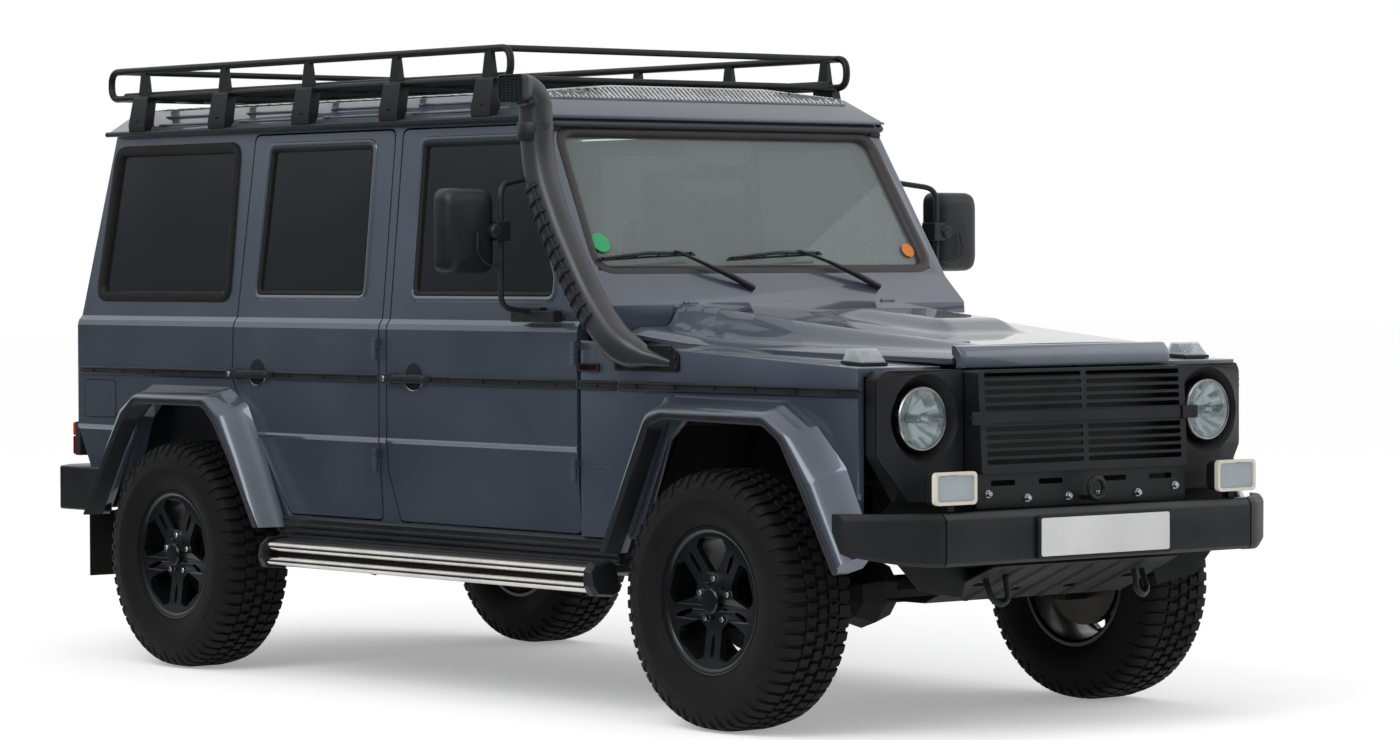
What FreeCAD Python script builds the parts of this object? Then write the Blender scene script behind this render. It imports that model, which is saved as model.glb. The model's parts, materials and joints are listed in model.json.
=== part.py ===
import FreeCAD, Part
import math
import os
import re
import Sketcher
from FreeCAD import Placement, Rotation, Vector

# Five-door off-road wagon on a ladder frame, with two rigid axles, a roof rack, a snorkel and a
# spare wheel on the rear door. Millimetres, +X forward, +Y to the vehicle's left, +Z up. The origin
# is on the ground under the middle of the vehicle. Stations along X are measured from the front
# axle, which stands axle_x ahead of the origin, and negative ones lie behind it.

DIMENSIONS = {
    # Wheels
    "axle_x": 1556,
    "wheelbase": 2850,
    "track": 1475,
    "tyre_radius": 385,
    "tyre_width": 265,
    "tread_width": 214,
    "shoulder_drop": 9,
    "carcass_wall": 14,
    "bead_radius": 203.5,
    "rim_width": 210,
    "rim_flange": 218,
    "rim_wall": 9,
    "spoke_inset": 12,
    "spoke_plate": 26,
    "hub_rise": 3,
    "lug_count": 20,
    "lug_height": 11,
    "lug_reach": 103,
    "lug_turn": 5.6,
    "lug_slope": 1.0,
    "shoulder_inset": 10,
    "hub_radius": 74,
    "hub_cap_radius": 34,
    "hub_cap_height": 20,
    "disc_radius": 152,
    "disc_inset": 62,
    "disc_thickness": 24,
    # Axles and springs
    "kingpin_inset": 137.5,
    "ball_radius": 46,
    "ball_gap": 6,
    "kingpin_radius": 16,
    "axle_tube_radius": 42,
    "diff_radius": 112,
    "diff_length": 210,
    "front_diff_y": 250,
    "spring_y": 465,
    "spring_radius": 56,
    "damper_radius": 25,
    "damper_lead": 105,
    # Frame and drive
    "rail_y": 360,
    "rail_width": 80,
    "rail_height": 120,
    "rail_z": 492,
    "member_depth": 70,
    "tower_z": 700,
    "engine_front": 330,
    "engine_length": 800,
    "engine_height": 500,
    "radiator_thickness": 60,
    "gearbox_length": 760,
    "gearbox_width": 240,
    "gearbox_height": 280,
    "shaft_radius": 30,
    "tank_length": 490,
    "tank_height": 190,
    "silencer_radius": 85,
    "exhaust_radius": 28,
    "exhaust_z": 601,
    "tail_pipe_lead": 250,
    "transfer_z": 630,
    "radiator_front": 560,
    "radiator_top": 1010,
    "mount_radius": 32,
    # Body levels
    "floor_z": 640,
    "floor_sheet": 18,
    "sill_z": 480,
    "door_base_z": 546,
    "crease_z": 803,
    "belt_z": 1169,
    "pane_base_z": 1269,
    "pane_top_z": 1758,
    "door_top_z": 1801,
    "gutter_z": 1821,
    "roof_z": 1932,
    # Body half widths
    "side_y": 768,
    "shoulder_y": 752,
    "cant_y": 694,
    "wall": 46,
    "floor_y": 711,
    "shut_gap": 6,
    # Body stations
    "door_front": -716,
    "post_front": -1704,
    "post_rear": -1752,
    "door_rear_lead": 258,
    "rear_overhang": 717,
    "screen_base": -715,
    "screen_base_z": 1349,
    "screen_base_y": 686,
    "screen_top": -969,
    "screen_top_z": 1783,
    "screen_top_y": 642,
    "glass": 6,
    "firewall": -505,
    "wing_front": 566,
    "wing_top_front": 1072,
    "wing_top_rear": 1138,
    "wing_sheet": 26,
    # Hood
    "hood_front": 600,
    "hood_nose": 636,
    "hood_rear": -606,
    "dome_front_z": 1130,
    "dome_rear_z": 1245,
    "hood_sheet": 24,
    "hood_skirt": 18,
    "hood_gap": 8,
    "hood_rear_y": 655,
    "hood_rear_z": 1162,
    "hood_swell": -400,
    "hood_swell_y": 545,
    "hood_swell_z": 1128,
    "hood_middle": 0,
    "hood_middle_y": 490,
    "hood_middle_z": 1111,
    "hood_front_y": 435,
    "hood_front_z": 1097,
    "hood_lip_y": 416,
    "hood_step": 14,
    "hood_slope": 26,
    "dome_middle_z": 1181,
    "dome_rear_y": 470,
    "dome_swell_y": 435,
    "dome_middle_y": 396,
    "dome_front_y": 345,
    "hood_axis_lift": 3,
    "hood_hinge_y": 380,
    "hood_hinge_split": 40,
    "hood_hinge_length": 56,
    "hood_hinge_radius": 6,
    "hood_hinge_pin": 3,
    "hood_hinge_foot": 10,
    # Front
    "lamp_y": 581,
    "lamp_z": 925,
    "lamp_radius": 90,
    "lamp_cone": 128,
    "lamp_dome": 14,
    "nose_chamfer": 26,
    "nose_corner": 96,
    "nose_corner_z": 820,
    "nose_face": 636,
    "nose_outer": 742,
    "nose_base_z": 690,
    "nose_top_z": 1060,
    "grille_face": 706,
    "grille_y": 424,
    "grille_base_z": 765,
    "grille_top_z": 1061,
    "grille_lean": 16,
    "grille_sheet": 8,
    "grille_side": 24,
    "bumper_face": 775,
    "bumper_y": 620,
    "bumper_end_y": 860,
    "bumper_end": 588,
    "bumper_knee": 722,
    "bumper_knee_y": 722,
    "bumper_wing": 640,
    "bumper_wing_y": 818,
    "bumper_sheet": 30,
    "bumper_base_z": 510,
    "bumper_top_z": 662,
    "bumper_depth": 135,
    "bumper_rake": 56,
    "bumper_chamfer": 12,
    # Rear
    "rear_bumper_reach": 155,
    "rear_bumper_wrap": 222,
    "rear_door_y": 640,
    "rear_door_base_z": 690,
    "spare_z": 1062,
    "spare_gap": 55,
    # Flares
    "flare_y": 862,
    "flare_inset": 14,
    "flare_band": 30,
    "flare_root": 62,
    "flare_lip": 6,
    "flare_edge": 4,
    "flare_hollow_y": 806,
    # Steps
    "step_front": -500,
    "step_rear_lead": 575,
    "step_y": 880,
    "step_inner_y": 770,
    "step_top_z": 462,
    "step_base_z": 372,
    # Rack
    "rack_front": -1130,
    "rack_rear_lead": 127,
    "rack_y": 700,
    "rack_clearance": 18,
    "rack_rise": 95,
    "rack_tube": 12,
    "rack_bend": 41,
    "rack_slat_tube": 9,
    "rack_post": 40,
    "rack_post_depth": 18,
    "foot_neck": 56,
    "foot_step": 22,
    # Bores and fits
    "spindle_radius": 24,
    "spindle_gap": 0.05,
    "fit_gap": 0.3,
    "knuckle_gap": 8,
    "knuckle_plate": 16,
    "kingpin_core": 20,
    "seat_z": 440,
    "rear_tower_z": 600,
    "tower_sheet": 14,
    "window_half": 66,
    "window_outer": 178,
    "window_inner": 90,
    "window_foot": 14,
    "slot_half": 8,
    "slot_outer": 168,
    "slot_inner": 112,
    "member_width": 60,
    "firewall_gap": 620,
    "member_middle": 1430,
    "member_aft": 1800,
    "member_rear": 2330,
    "transfer_length": 190,
    "shaft_z": 455,
    "exhaust_y": 200,
    "silencer_start": 1400,
    "silencer_length": 560,
    "sill_y": 748,
    "shoulder_rise": 22,
    "post_foot_z": 1205,
    "post_head": -1036,
    "tail_lean": 149,
    "pane_front": -866,
    "pane_head": -1072,
    "door_frame": 112,
    "pane_depth": 16,
    "hinge_lead": 9,
    "hinge_y": 787,
    "hinge_radius": 9,
    "hinge_height": 74,
    "hinge_split": 46,
    "hinge_pin": 4,
    "hinge_leaf": 60,
    "hinge_plate": 4,
    "hinge_slit": 1,
    "hinge_low_z": 706,
    "hinge_high_z": 1062,
    "arch_top_z": 898,
    "arch_bend_z": 836,
    "front_arch_x": 45,
    "front_arch_top": 240,
    "front_arch_bend": 315,
    "front_arch_low": 510,
    "rear_arch_top": 214,
    "rear_arch_bend": 283,
    "rear_arch_low": 514,
    "rear_door_top_z": 1790,
    "rear_pane_y": 470,
    "rear_hinge_low_z": 820,
    "rear_hinge_high_z": 1060,
    "hinge_reach": 14,
    "rear_hinge_height": 90,
    "rear_hinge_split": 58,
    "rear_bumper_y": 800,
    "rear_bumper_base_z": 508,
    "rear_bumper_top_z": 662,
    "scuttle_front": -612,
    "scuttle_base_z": 1145,
    "seal_reach": 5.6,
    "hood_cowl_z": 1243,
    "roof_front": -975,
    "roof_shoulder_y": 640,
    "roof_wall": 20,
    "gutter_y": 716,
    "gutter_lip": 14,
    "bulkhead_z": 1085,
    "dash_y": 690,
    "tunnel_end": 1280,
    "tunnel_y": 170,
    "tunnel_z": 880,
    "wheel_box_half": 425,
    "wheel_box_y": 572,
    "wheel_box_z": 905,
    "wing_rear": -698,
    "lamp_back": 580,
    "grille_depth": 86,
    "grille_post": 9,
    "grille_pitch": 23.5,
    "grille_slot": 14.5,
    "grille_rows": 5,
    "grille_low_z": 790,
    "grille_high_z": 944,
    "grille_band_low": 909,
    "grille_band_high": 939,
    "grille_band_rise": 9,
    "grille_clip": 34,
    "skid_y": 400,
    "skid_bend": 437,
    "skid_rear": 250,
    "skid_z": 382,
    "flare_foot_z": 500,
    "flap_lead": 117,
    "flap_z": 280,
    "step_tube": 20,
    "foot_front": -1238,
    "foot_rear_lead": 217,
    "foot_count": 5,
    "foot_width": 118,
    "foot_y": 716,
    "slat_count": 5,
    "snorkel_y": 802,
    "snorkel_radius": 50,
    "mirror_x": -915,
    "mirror_arm_y": 905,
    "seat_front": -1080,
    "seat_rear": -1960,
}

# Places that follow from the sizes above, each as a sum of them
DERIVED = {
    "kingpin_y": {"track": 0.5, "kingpin_inset": -1},
    "tail": {"wheelbase": -1, "rear_overhang": -1},
    "tail_top": {"tail": 1, "tail_lean": 1},
    "rear_bumper_face": {"tail": 1, "rear_bumper_reach": -1},
    "rear_bumper_end": {"tail": 1, "rear_bumper_wrap": 1},
    "flap_x": {"tail": 1, "flap_lead": 1},
    "step_rear": {"wheelbase": -1, "step_rear_lead": 1},
    "rack_rear": {"tail": 1, "rack_rear_lead": 1},
    "rack_base_z": {"roof_z": 1, "rack_clearance": 1},
    "rack_top_z": {"rack_base_z": 1, "rack_rise": 1},
    "foot_rear": {"rack_rear": 1, "foot_rear_lead": 1},
}

DOC = FreeCAD.newDocument("offroad_wagon")
SHEET = DOC.addObject("Spreadsheet::Sheet", "dims")
SUBPARTS = []
ROTATIONS = {
    "XY": Rotation(),
    "XZ": Rotation(Vector(1, 0, 0), 90),
    "YZ": Rotation(Vector(1, 1, 1), 120),
}
NORMALS = {"XY": Vector(0, 0, 1), "XZ": Vector(0, 1, 0), "YZ": Vector(1, 0, 0)}
AXES = {"x": Vector(1, 0, 0), "y": Vector(0, 1, 0), "z": Vector(0, 0, 1)}
STATION_AXIS = {"XY": "z", "XZ": "y", "YZ": "x"}


def fill_sheet():
    """Write every driving dimension into the sheet under its own name."""
    for row, (alias, value) in enumerate(DIMENSIONS.items(), 1):
        SHEET.set("A%d" % row, alias)
        SHEET.set("B%d" % row, str(value))
        SHEET.setAlias("B%d" % row, alias)
    DOC.recompute()


def size(alias):
    """Read one driving dimension back from the sheet, or work out one that follows from others."""
    if alias in DERIVED:
        return sum(factor * size(name) for name, factor in DERIVED[alias].items())
    return float(SHEET.get(alias))


def linked(text):
    """Turn the names in a formula into references to the sheet."""
    def reference(match):
        word = match.group()
        if word in DERIVED:
            terms = ["%s*%s" % (factor, linked(name)) for name, factor in DERIVED[word].items()]
            return "(%s)" % " + ".join(terms)
        return "dims." + word if word in DIMENSIONS else word
    return re.sub(r"[a-z][a-z_]+", reference, str(text))


def bind(item, prop, text):
    item.setExpression(prop, linked(text))


def place(item, x="0", y="0", z="0"):
    """Tie an object's position to the sheet, with X measured from the front axle."""
    bind(item, ".Placement.Base.x", "axle_x + (%s)" % x)
    bind(item, ".Placement.Base.y", y)
    bind(item, ".Placement.Base.z", z)


def draw(sketch, points):
    """Draw a closed outline whose corners are each tied to the sheet."""
    count = len(points)
    first = [Vector(10 * corner, corner * corner, 0) for corner in range(count)]
    sides = [Part.LineSegment(first[i], first[(i + 1) % count]) for i in range(count)]
    sketch.addGeometry(sides, False)
    rules = [Sketcher.Constraint("Coincident", i, 2, (i + 1) % count, 1) for i in range(count)]
    for corner in range(count):
        rules.append(Sketcher.Constraint("DistanceX", -1, 1, corner, 1, first[corner].x))
        rules.append(Sketcher.Constraint("DistanceY", -1, 1, corner, 1, first[corner].y))
    sketch.addConstraint(rules)
    for corner, (across, up) in enumerate(points):
        bind(sketch, "Constraints[%d]" % (count + 2 * corner), across)
        bind(sketch, "Constraints[%d]" % (count + 2 * corner + 1), up)


def outline(name, plane, points, station="0"):
    """A closed outline in one of the main planes, at a station along its normal."""
    sketch = DOC.addObject("Sketcher::SketchObject", name)
    draw(sketch, points)
    sketch.Placement = Placement(Vector(), ROTATIONS[plane])
    place(sketch, **{STATION_AXIS[plane]: station})
    return sketch


def prism(name, plane, points, start, end):
    """An outline extruded from one station to a further one."""
    solid = DOC.addObject("Part::Extrusion", name)
    solid.Base = outline(name + "_outline", plane, points, start)
    solid.DirMode = "Custom"
    solid.Dir = NORMALS[plane]
    solid.Solid = True
    bind(solid, "LengthFwd", "(%s) - (%s)" % (end, start))
    return solid


def box(name, x, y, z):
    """A block between two stations on each axis."""
    solid = DOC.addObject("Part::Box", name)
    for prop, (start, end) in zip(("Length", "Width", "Height"), (x, y, z)):
        bind(solid, prop, "(%s) - (%s)" % (end, start))
    place(solid, x[0], y[0], z[0])
    return solid


def cylinder(name, axis, base, radius, length):
    """A round bar that leaves its base point along one of the axes."""
    solid = DOC.addObject("Part::Cylinder", name)
    solid.Placement = Placement(Vector(), Rotation(AXES["z"], AXES[axis]))
    bind(solid, "Radius", radius)
    bind(solid, "Height", length)
    place(solid, *base)
    return solid


def bar(name, axis, base, radius, length, sides=8):
    """A many-sided bar that leaves its base point along one of the axes."""
    solid = DOC.addObject("Part::Prism", name)
    solid.Polygon = sides
    solid.Placement = Placement(Vector(), Rotation(AXES["z"], AXES[axis]))
    bind(solid, "Circumradius", radius)
    bind(solid, "Height", length)
    place(solid, *base)
    return solid


def fuse(name, *parts):
    solid = DOC.addObject("Part::MultiFuse", name)
    solid.Shapes = list(parts)
    solid.Refine = True
    return solid


def common(name, *parts):
    solid = DOC.addObject("Part::MultiCommon", name)
    solid.Shapes = list(parts)
    return solid


def cut(name, base, *tools):
    """Take each tool away from the base in turn."""
    result = base
    for number, tool in enumerate(tools):
        last = number == len(tools) - 1
        step = DOC.addObject("Part::Cut", name if last else "%s_step%d" % (name, number))
        step.Base = result
        step.Tool = tool
        result = step
    return result


def group(name, *parts):
    """Separate solids that make one node."""
    result = DOC.addObject("Part::Compound", name)
    result.Links = list(parts)
    return result


def mirrored(name, source):
    """The same piece on the vehicle's other side."""
    result = DOC.addObject("Part::Mirroring", name)
    result.Source = source
    result.Normal = AXES["y"]
    return result


def pair(name, source):
    return group(name, source, mirrored(name + "_mirrored", source))


def shaped(name, shape):
    """A piece whose form is made directly from the sheet's sizes."""
    item = DOC.addObject("Part::Feature", name)
    item.Shape = shape
    item.Placement = Placement(Vector(size("axle_x"), 0, 0), Rotation())
    return item


def regular(centre, across, up, radius, sides):
    """Corners of a regular outline round a centre, in the plane of two directions."""
    turns = [2 * math.pi * corner / sides for corner in range(sides)]
    return [centre + across * (radius * math.cos(turn)) + up * (radius * math.sin(turn)) for turn in turns]


def flat_faces(points):
    """One flat face for an outline, or two where its four corners don't share a plane."""
    if len(points) == 4:
        edge = points[1] - points[0]
        normal = edge.cross(points[2] - points[0])
        if abs(normal.dot(points[3] - points[0])) > 1e-4 * max(normal.Length, 1):
            halves = (points[:3], [points[0], points[2], points[3]])
            return [Part.Face(Part.makePolygon(half + half[:1])) for half in halves]
    return [Part.Face(Part.makePolygon(points + points[:1]))]


def faceted_shape(rings, closed=False):
    """A solid with flat faces between neighbouring rings of corners, capped or joined at its ends."""
    pairs = list(zip(rings, rings[1:]))
    faces = []
    if closed:
        pairs.append((rings[-1], rings[0]))
    else:
        faces += flat_faces(rings[0]) + flat_faces(rings[-1])
    for near, far in pairs:
        for corner in range(len(near)):
            following = (corner + 1) % len(near)
            faces += flat_faces([near[corner], near[following], far[following], far[corner]])
    shell = Part.makeShell(faces)
    shell.sewShape()
    solid = Part.Solid(shell)
    if solid.Volume < 0:
        solid.reverse()
    return solid


def turned_shape(centre, along, profile, sides, closed=False):
    """A many-sided solid of turning: (distance, radius) rings round a line through the centre."""
    across = AXES["z"] if abs(along.z) < 0.5 else AXES["x"]
    across = (across - along * across.dot(along)).normalize()
    up = along.cross(across)
    rings = [regular(centre + along * reach, across, up, radius, sides) for reach, radius in profile]
    return faceted_shape(rings, closed)


def tube_shape(points, radius, bend, sides=8, steps=2, closed=False):
    """A many-sided tube along straight runs whose bends are mitred in short steps."""
    path = []
    count = len(points)
    for number, corner in enumerate(points):
        if not closed and number in (0, count - 1):
            path.append(corner)
            continue
        incoming = (corner - points[number - 1]).normalize()
        outgoing = (points[(number + 1) % count] - corner).normalize()
        turn = incoming.getAngle(outgoing)
        reach = bend * math.tan(turn / 2)
        enter = corner - incoming * reach
        leave = corner + outgoing * reach
        path.append(enter)
        for step in range(1, steps):
            share = step / steps
            first = enter + (corner - enter) * share
            second = corner + (leave - corner) * share
            path.append(first + (second - first) * share)
        path.append(leave)
    count = len(path)
    runs = [(path[(number + 1) % count] - path[number]).normalize() for number in range(count if closed else count - 1)]
    across = AXES["z"] if abs(runs[0].z) < 0.7 else AXES["x"]
    across = (across - runs[0] * across.dot(runs[0])).normalize()
    ring = regular((path[0] + path[1]) * 0.5, across, runs[0].cross(across), radius, sides)
    rings = []
    for number in range(count):
        ahead = runs[number % len(runs)] if closed or number < count - 1 else runs[-1]
        behind = runs[number - 1] if closed or number else runs[0]
        run = behind if number else ahead
        plane = (ahead + behind).normalize()
        ring = [corner + run * (plane.dot(path[number] - corner) / plane.dot(run)) for corner in ring]
        rings.append(ring)
    return faceted_shape(rings, closed)


def rod_shape(start, end, radius, sides=8):
    along = end - start
    length = along.Length
    return turned_shape(start, along.normalize(), [(0, radius), (length, radius)], sides)


def subpart(label, item):
    """Register a finished piece under the name of its node."""
    item.Label = label
    SUBPARTS.append(item)
    return item


def new_body(name):
    return DOC.addObject("PartDesign::Body", name)


def body_sketch(body, name, role, points):
    """A sketch of a body on one of the body's own origin planes."""
    plane = next(item for item in body.Origin.OriginFeatures if item.Role == role)
    sketch = body.newObject("Sketcher::SketchObject", name)
    sketch.AttachmentSupport = [(plane, "")]
    sketch.MapMode = "FlatFace"
    draw(sketch, points)
    return sketch


def body_axis(body, role):
    return next(item for item in body.Origin.OriginFeatures if item.Role == role)


# Wheels

WHEEL_SIDES = 20


def wheel_rings(profile, closed=False):
    """A many-sided solid round the wheel's axis from its (across, radius) profile."""
    return turned_shape(Vector(), AXES["y"], profile, WHEEL_SIDES, closed)


def tread_shape():
    """Ring of lugs parted by cross grooves, with its inner edge inside the carcass."""
    count = int(size("lug_count"))
    half = math.radians(size("lug_turn"))
    slope = math.radians(size("lug_slope"))
    top = size("tyre_radius") / math.cos(half)
    low = size("tyre_radius") - size("lug_height")
    reach = size("lug_reach")
    corners = []
    for number in range(count):
        middle = 2 * math.pi * number / count + math.pi / 2
        for turn, radius in ((-half - slope, low), (-half, top), (half, top), (half + slope, low)):
            corners.append(Vector(radius * math.cos(middle + turn), -reach, radius * math.sin(middle + turn)))
    inner = regular(Vector(0, -reach, 0), AXES["z"], AXES["x"], low - 2 * size("lug_height"), WHEEL_SIDES)
    wires = [Part.makePolygon(points + points[:1]) for points in (corners, inner)]
    return Part.Face(wires).extrude(Vector(0, 2 * reach, 0))


def tyre_shape():
    """A tyre round the Y axis: carcass with its two beads, and the tread's lugs."""
    edge = size("rim_width") / 2
    bead = size("bead_radius")
    flange = size("rim_flange")
    wide = size("tyre_width") / 2
    tread = size("tread_width") / 2
    radius = size("tyre_radius")
    shoulder = radius - size("shoulder_drop")
    half = [
        (edge - size("shoulder_drop"), bead),
        (edge - size("shoulder_drop"), flange + size("fit_gap")),
        (edge + 3, flange + 6),
        (wide, (radius + flange) / 2 - 10),
        (tread + 14, shoulder - 2 * size("shoulder_inset")),
        (tread - 2, shoulder - size("shoulder_inset") / 4),
    ]
    carcass = wheel_rings(half + [(-across, up) for across, up in reversed(half)], True)
    return carcass.fuse(tread_shape()).removeSplitter()


def rim_shape(carries_disc):
    """A wheel round the Y axis: barrel, plate with double spokes, hub, and the brake disc if it has one."""
    edge = size("rim_width") / 2
    seat = size("bead_radius") - size("fit_gap")
    wall = size("bead_radius") - size("rim_wall")
    face = edge - size("spoke_inset")
    back = face - size("spoke_plate")
    barrel = wheel_rings([(edge, wall), (edge, size("rim_flange")), (edge - size("shoulder_drop"), seat),
                          (-edge, seat), (-edge, wall)], True)
    plate = wheel_rings([(back, wall + 4), (face, wall + 4)])
    bend = size("window_outer") - 30
    window = [
        (-size("window_half"), bend),
        (26 - size("window_half"), size("window_outer")),
        (size("window_half") - 26, size("window_outer")),
        (size("window_half"), bend),
        (size("window_foot"), size("window_inner")),
        (-size("window_foot"), size("window_inner")),
    ]
    middle = (size("slot_outer") + size("slot_inner")) / 2
    slot = [(0, -size("slot_outer")), (size("slot_half"), -middle), (0, -size("slot_inner")),
            (-size("slot_half"), -middle)]
    holes = []
    for number in range(5):
        turn = Rotation(AXES["y"], 72 * number)
        for points in (window, slot):
            corners = [turn.multVec(Vector(along, back - 1, up)) for along, up in points]
            holes.append(Part.Face(Part.makePolygon(corners + corners[:1])).extrude(Vector(0, face - back + 2, 0)))
    hub_start = size("disc_thickness") - size("disc_inset") - 1 if carries_disc else back
    hub = turned_shape(Vector(), AXES["y"], [(hub_start, size("hub_radius")), (face + size("hub_rise"), size("hub_radius"))], 10)
    cap = turned_shape(Vector(), AXES["y"], [(face, size("hub_cap_radius")),
                                             (face + size("hub_cap_height"), size("hub_cap_radius"))], 8)
    solid = barrel.fuse([plate.cut(holes), hub, cap])
    if carries_disc:
        inset = size("disc_inset")
        disc = turned_shape(Vector(), AXES["y"], [(-inset, size("disc_radius")),
                                                  (size("disc_thickness") - inset, size("disc_radius"))], 12)
        bore = Part.makeCylinder(size("spindle_radius") + size("spindle_gap"), inset + 1, Vector(0, -inset - 1, 0), AXES["y"])
        solid = solid.fuse(disc).cut(bore)
    return solid.removeSplitter()


def wheel_part(label, shape, turn, x, y, z):
    """One wheel part made from a shared shape, turned and placed where it runs."""
    item = DOC.addObject("Part::Feature", label)
    item.Shape = shape
    item.Placement = Placement(Vector(), turn)
    place(item, x, y, z)
    subpart(label, item)


def wheels():
    """Four road wheels and the spare, which faces rearwards on the rear door."""
    rubber = tyre_shape()
    road_rim = rim_shape(True)
    ends = {"front": "0", "rear": "-wheelbase"}
    sides = {"left": ("track/2", Rotation()), "right": ("-track/2", Rotation(AXES["z"], 180))}
    for end, station in ends.items():
        for side, (across, turn) in sides.items():
            name = "%s_%s" % (end, side)
            wheel_part("tyre_" + name, rubber, turn, station, across, "tyre_radius")
            wheel_part("rim_" + name, road_rim, turn, station, across, "tyre_radius")
    rearwards = Rotation(AXES["z"], 90)
    spare = "tail - spare_gap - tyre_width/2"
    wheel_part("spare_tyre", rubber, rearwards, spare, "0", "spare_z")
    wheel_part("spare_rim", rim_shape(False), rearwards, spare, "0", "spare_z")


# Axles, frame and drive

def knuckle():
    """Right-hand knuckle: two arms over the axle's ball, kingpins, and the wheel's spindle."""
    face = "track/2 - disc_inset - knuckle_gap"
    low = "tyre_radius - ball_radius - ball_gap"
    high = "tyre_radius + ball_radius + ball_gap"
    half = "ball_radius*0.7"
    plate = box("knuckle_plate", ("-%s" % half, half), ("-(%s)" % face, "-(%s) + knuckle_plate" % face),
                ("%s - knuckle_plate" % low, "%s + knuckle_plate" % high))
    top = box("knuckle_top", ("-%s" % half, half), ("-(%s)" % face, "-kingpin_y + ball_radius*0.6"),
              (high, "%s + knuckle_plate" % high))
    base = box("knuckle_base", ("-%s" % half, half), ("-(%s)" % face, "-kingpin_y + ball_radius*0.6"),
               ("%s - knuckle_plate" % low, low))
    pins = [
        bar("kingpin_top", "z", ("0", "-kingpin_y", "tyre_radius + kingpin_core"),
            "kingpin_radius", "ball_radius + ball_gap + 1 - kingpin_core"),
        bar("kingpin_base", "z", ("0", "-kingpin_y", "%s - 1" % low),
            "kingpin_radius", "ball_radius + ball_gap + 1 - kingpin_core"),
    ]
    spindle = bar("knuckle_spindle", "y", ("0", "-track/2 + spindle_gap", "tyre_radius"),
                  "spindle_radius", "disc_inset + knuckle_gap + knuckle_plate/2", 10)
    return fuse("knuckle_solid", plate, top, base, spindle, *pins)


def drum_shape(centre, radius, sides):
    """A rounded housing or ball, as rings of corners along the axle."""
    profile = [(-0.94, 0.36), (-0.62, 0.8), (0, 1), (0.62, 0.8), (0.94, 0.36)]
    return turned_shape(centre, AXES["y"], [(radius * reach, radius * width) for reach, width in profile], sides)


def diff_housing(name, station, across):
    drum = shaped(name, drum_shape(Vector(station, across, size("tyre_radius")), size("diff_radius"), 10))
    nose = bar(name + "_nose", "x", (str(station), str(across), "tyre_radius"), "diff_radius*0.5", "diff_length*0.75")
    return [drum, nose]


def spring_seats(name, station, lead):
    """Bracket on each side of an axle that carries the spring and the damper."""
    start, end = ("-spring_radius", "damper_lead + damper_radius")
    if lead < 0:
        start, end = ("-damper_lead - damper_radius", "spring_radius")
    seat = box(name, ("%s + %s" % (station, start), "%s + %s" % (station, end)),
               ("-spring_y - spring_radius", "-spring_y + spring_radius"),
               ("seat_z - 22", "seat_z"))
    return [seat, mirrored(name + "_mirrored", seat)]


def axles():
    """Two rigid axles; the front one ends in balls bored for the kingpins."""
    tube = bar("front_tube", "y", ("0", "-kingpin_y", "tyre_radius"), "axle_tube_radius", "2*kingpin_y")
    level = size("tyre_radius")
    ends = [shaped("front_ball" + side, drum_shape(Vector(0, sign * size("kingpin_y"), level), size("ball_radius"), 8))
            for side, sign in (("_right", -1), ("_left", 1))]
    housing = diff_housing("front_diff", 0, -size("front_diff_y"))
    housing[1].Placement = Placement(Vector(), Rotation(AXES["z"], Vector(-1, 0, 0)))
    place(housing[1], "0", "-front_diff_y", "tyre_radius")
    beam = fuse("front_beam", tube, *ends, *housing, *spring_seats("front_seat", "0", 1))
    bores = []
    for side in ("-", ""):
        bores.append(cylinder("kingpin_bore" + ("_right" if side else "_left"), "z",
                              ("0", side + "kingpin_y", "tyre_radius - ball_radius - 5"),
                              "kingpin_radius + spindle_gap", "2*ball_radius + 10"))
    subpart("front_axle", cut("front_axle_solid", beam, *bores))

    flange = "track/2 - disc_inset - knuckle_gap"
    tube = bar("rear_tube", "y", ("-wheelbase", "-(%s)" % flange, "tyre_radius"), "axle_tube_radius",
               "2*(%s)" % flange)
    spindle = bar("rear_spindle", "y", ("-wheelbase", "-track/2 + spindle_gap", "tyre_radius"),
                  "spindle_radius", "track - 2*spindle_gap", 10)
    housing = diff_housing("rear_diff", -size("wheelbase"), 0)
    subpart("rear_axle", fuse("rear_axle_solid", tube, spindle, *housing,
                              *spring_seats("rear_seat", "-wheelbase", -1)))

    right = knuckle()
    subpart("knuckle_right", right)
    subpart("knuckle_left", mirrored("knuckle_left_solid", right))


def springs():
    """A coil spring and a damper on each end of both axles."""
    parts = []
    for end, station, top, lead in (("front", "0", "tower_z", "damper_lead"),
                                    ("rear", "-wheelbase", "rear_tower_z", "-damper_lead")):
        spring = bar(end + "_spring", "z", (station, "-spring_y", "seat_z"), "spring_radius", "%s - seat_z" % top)
        damper = bar(end + "_damper", "z", ("%s + %s" % (station, lead), "-spring_y", "seat_z"),
                     "damper_radius", "%s - seat_z" % top, 6)
        parts += [spring, damper]
    sides = parts + [mirrored(item.Name + "_mirrored", item) for item in parts]
    subpart("springs_dampers", group("springs_group", *sides))


RAIL_FRONT = "bumper_face - bumper_depth - fit_gap"
RAIL_TAIL = "tail - 2 + fit_gap"


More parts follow.
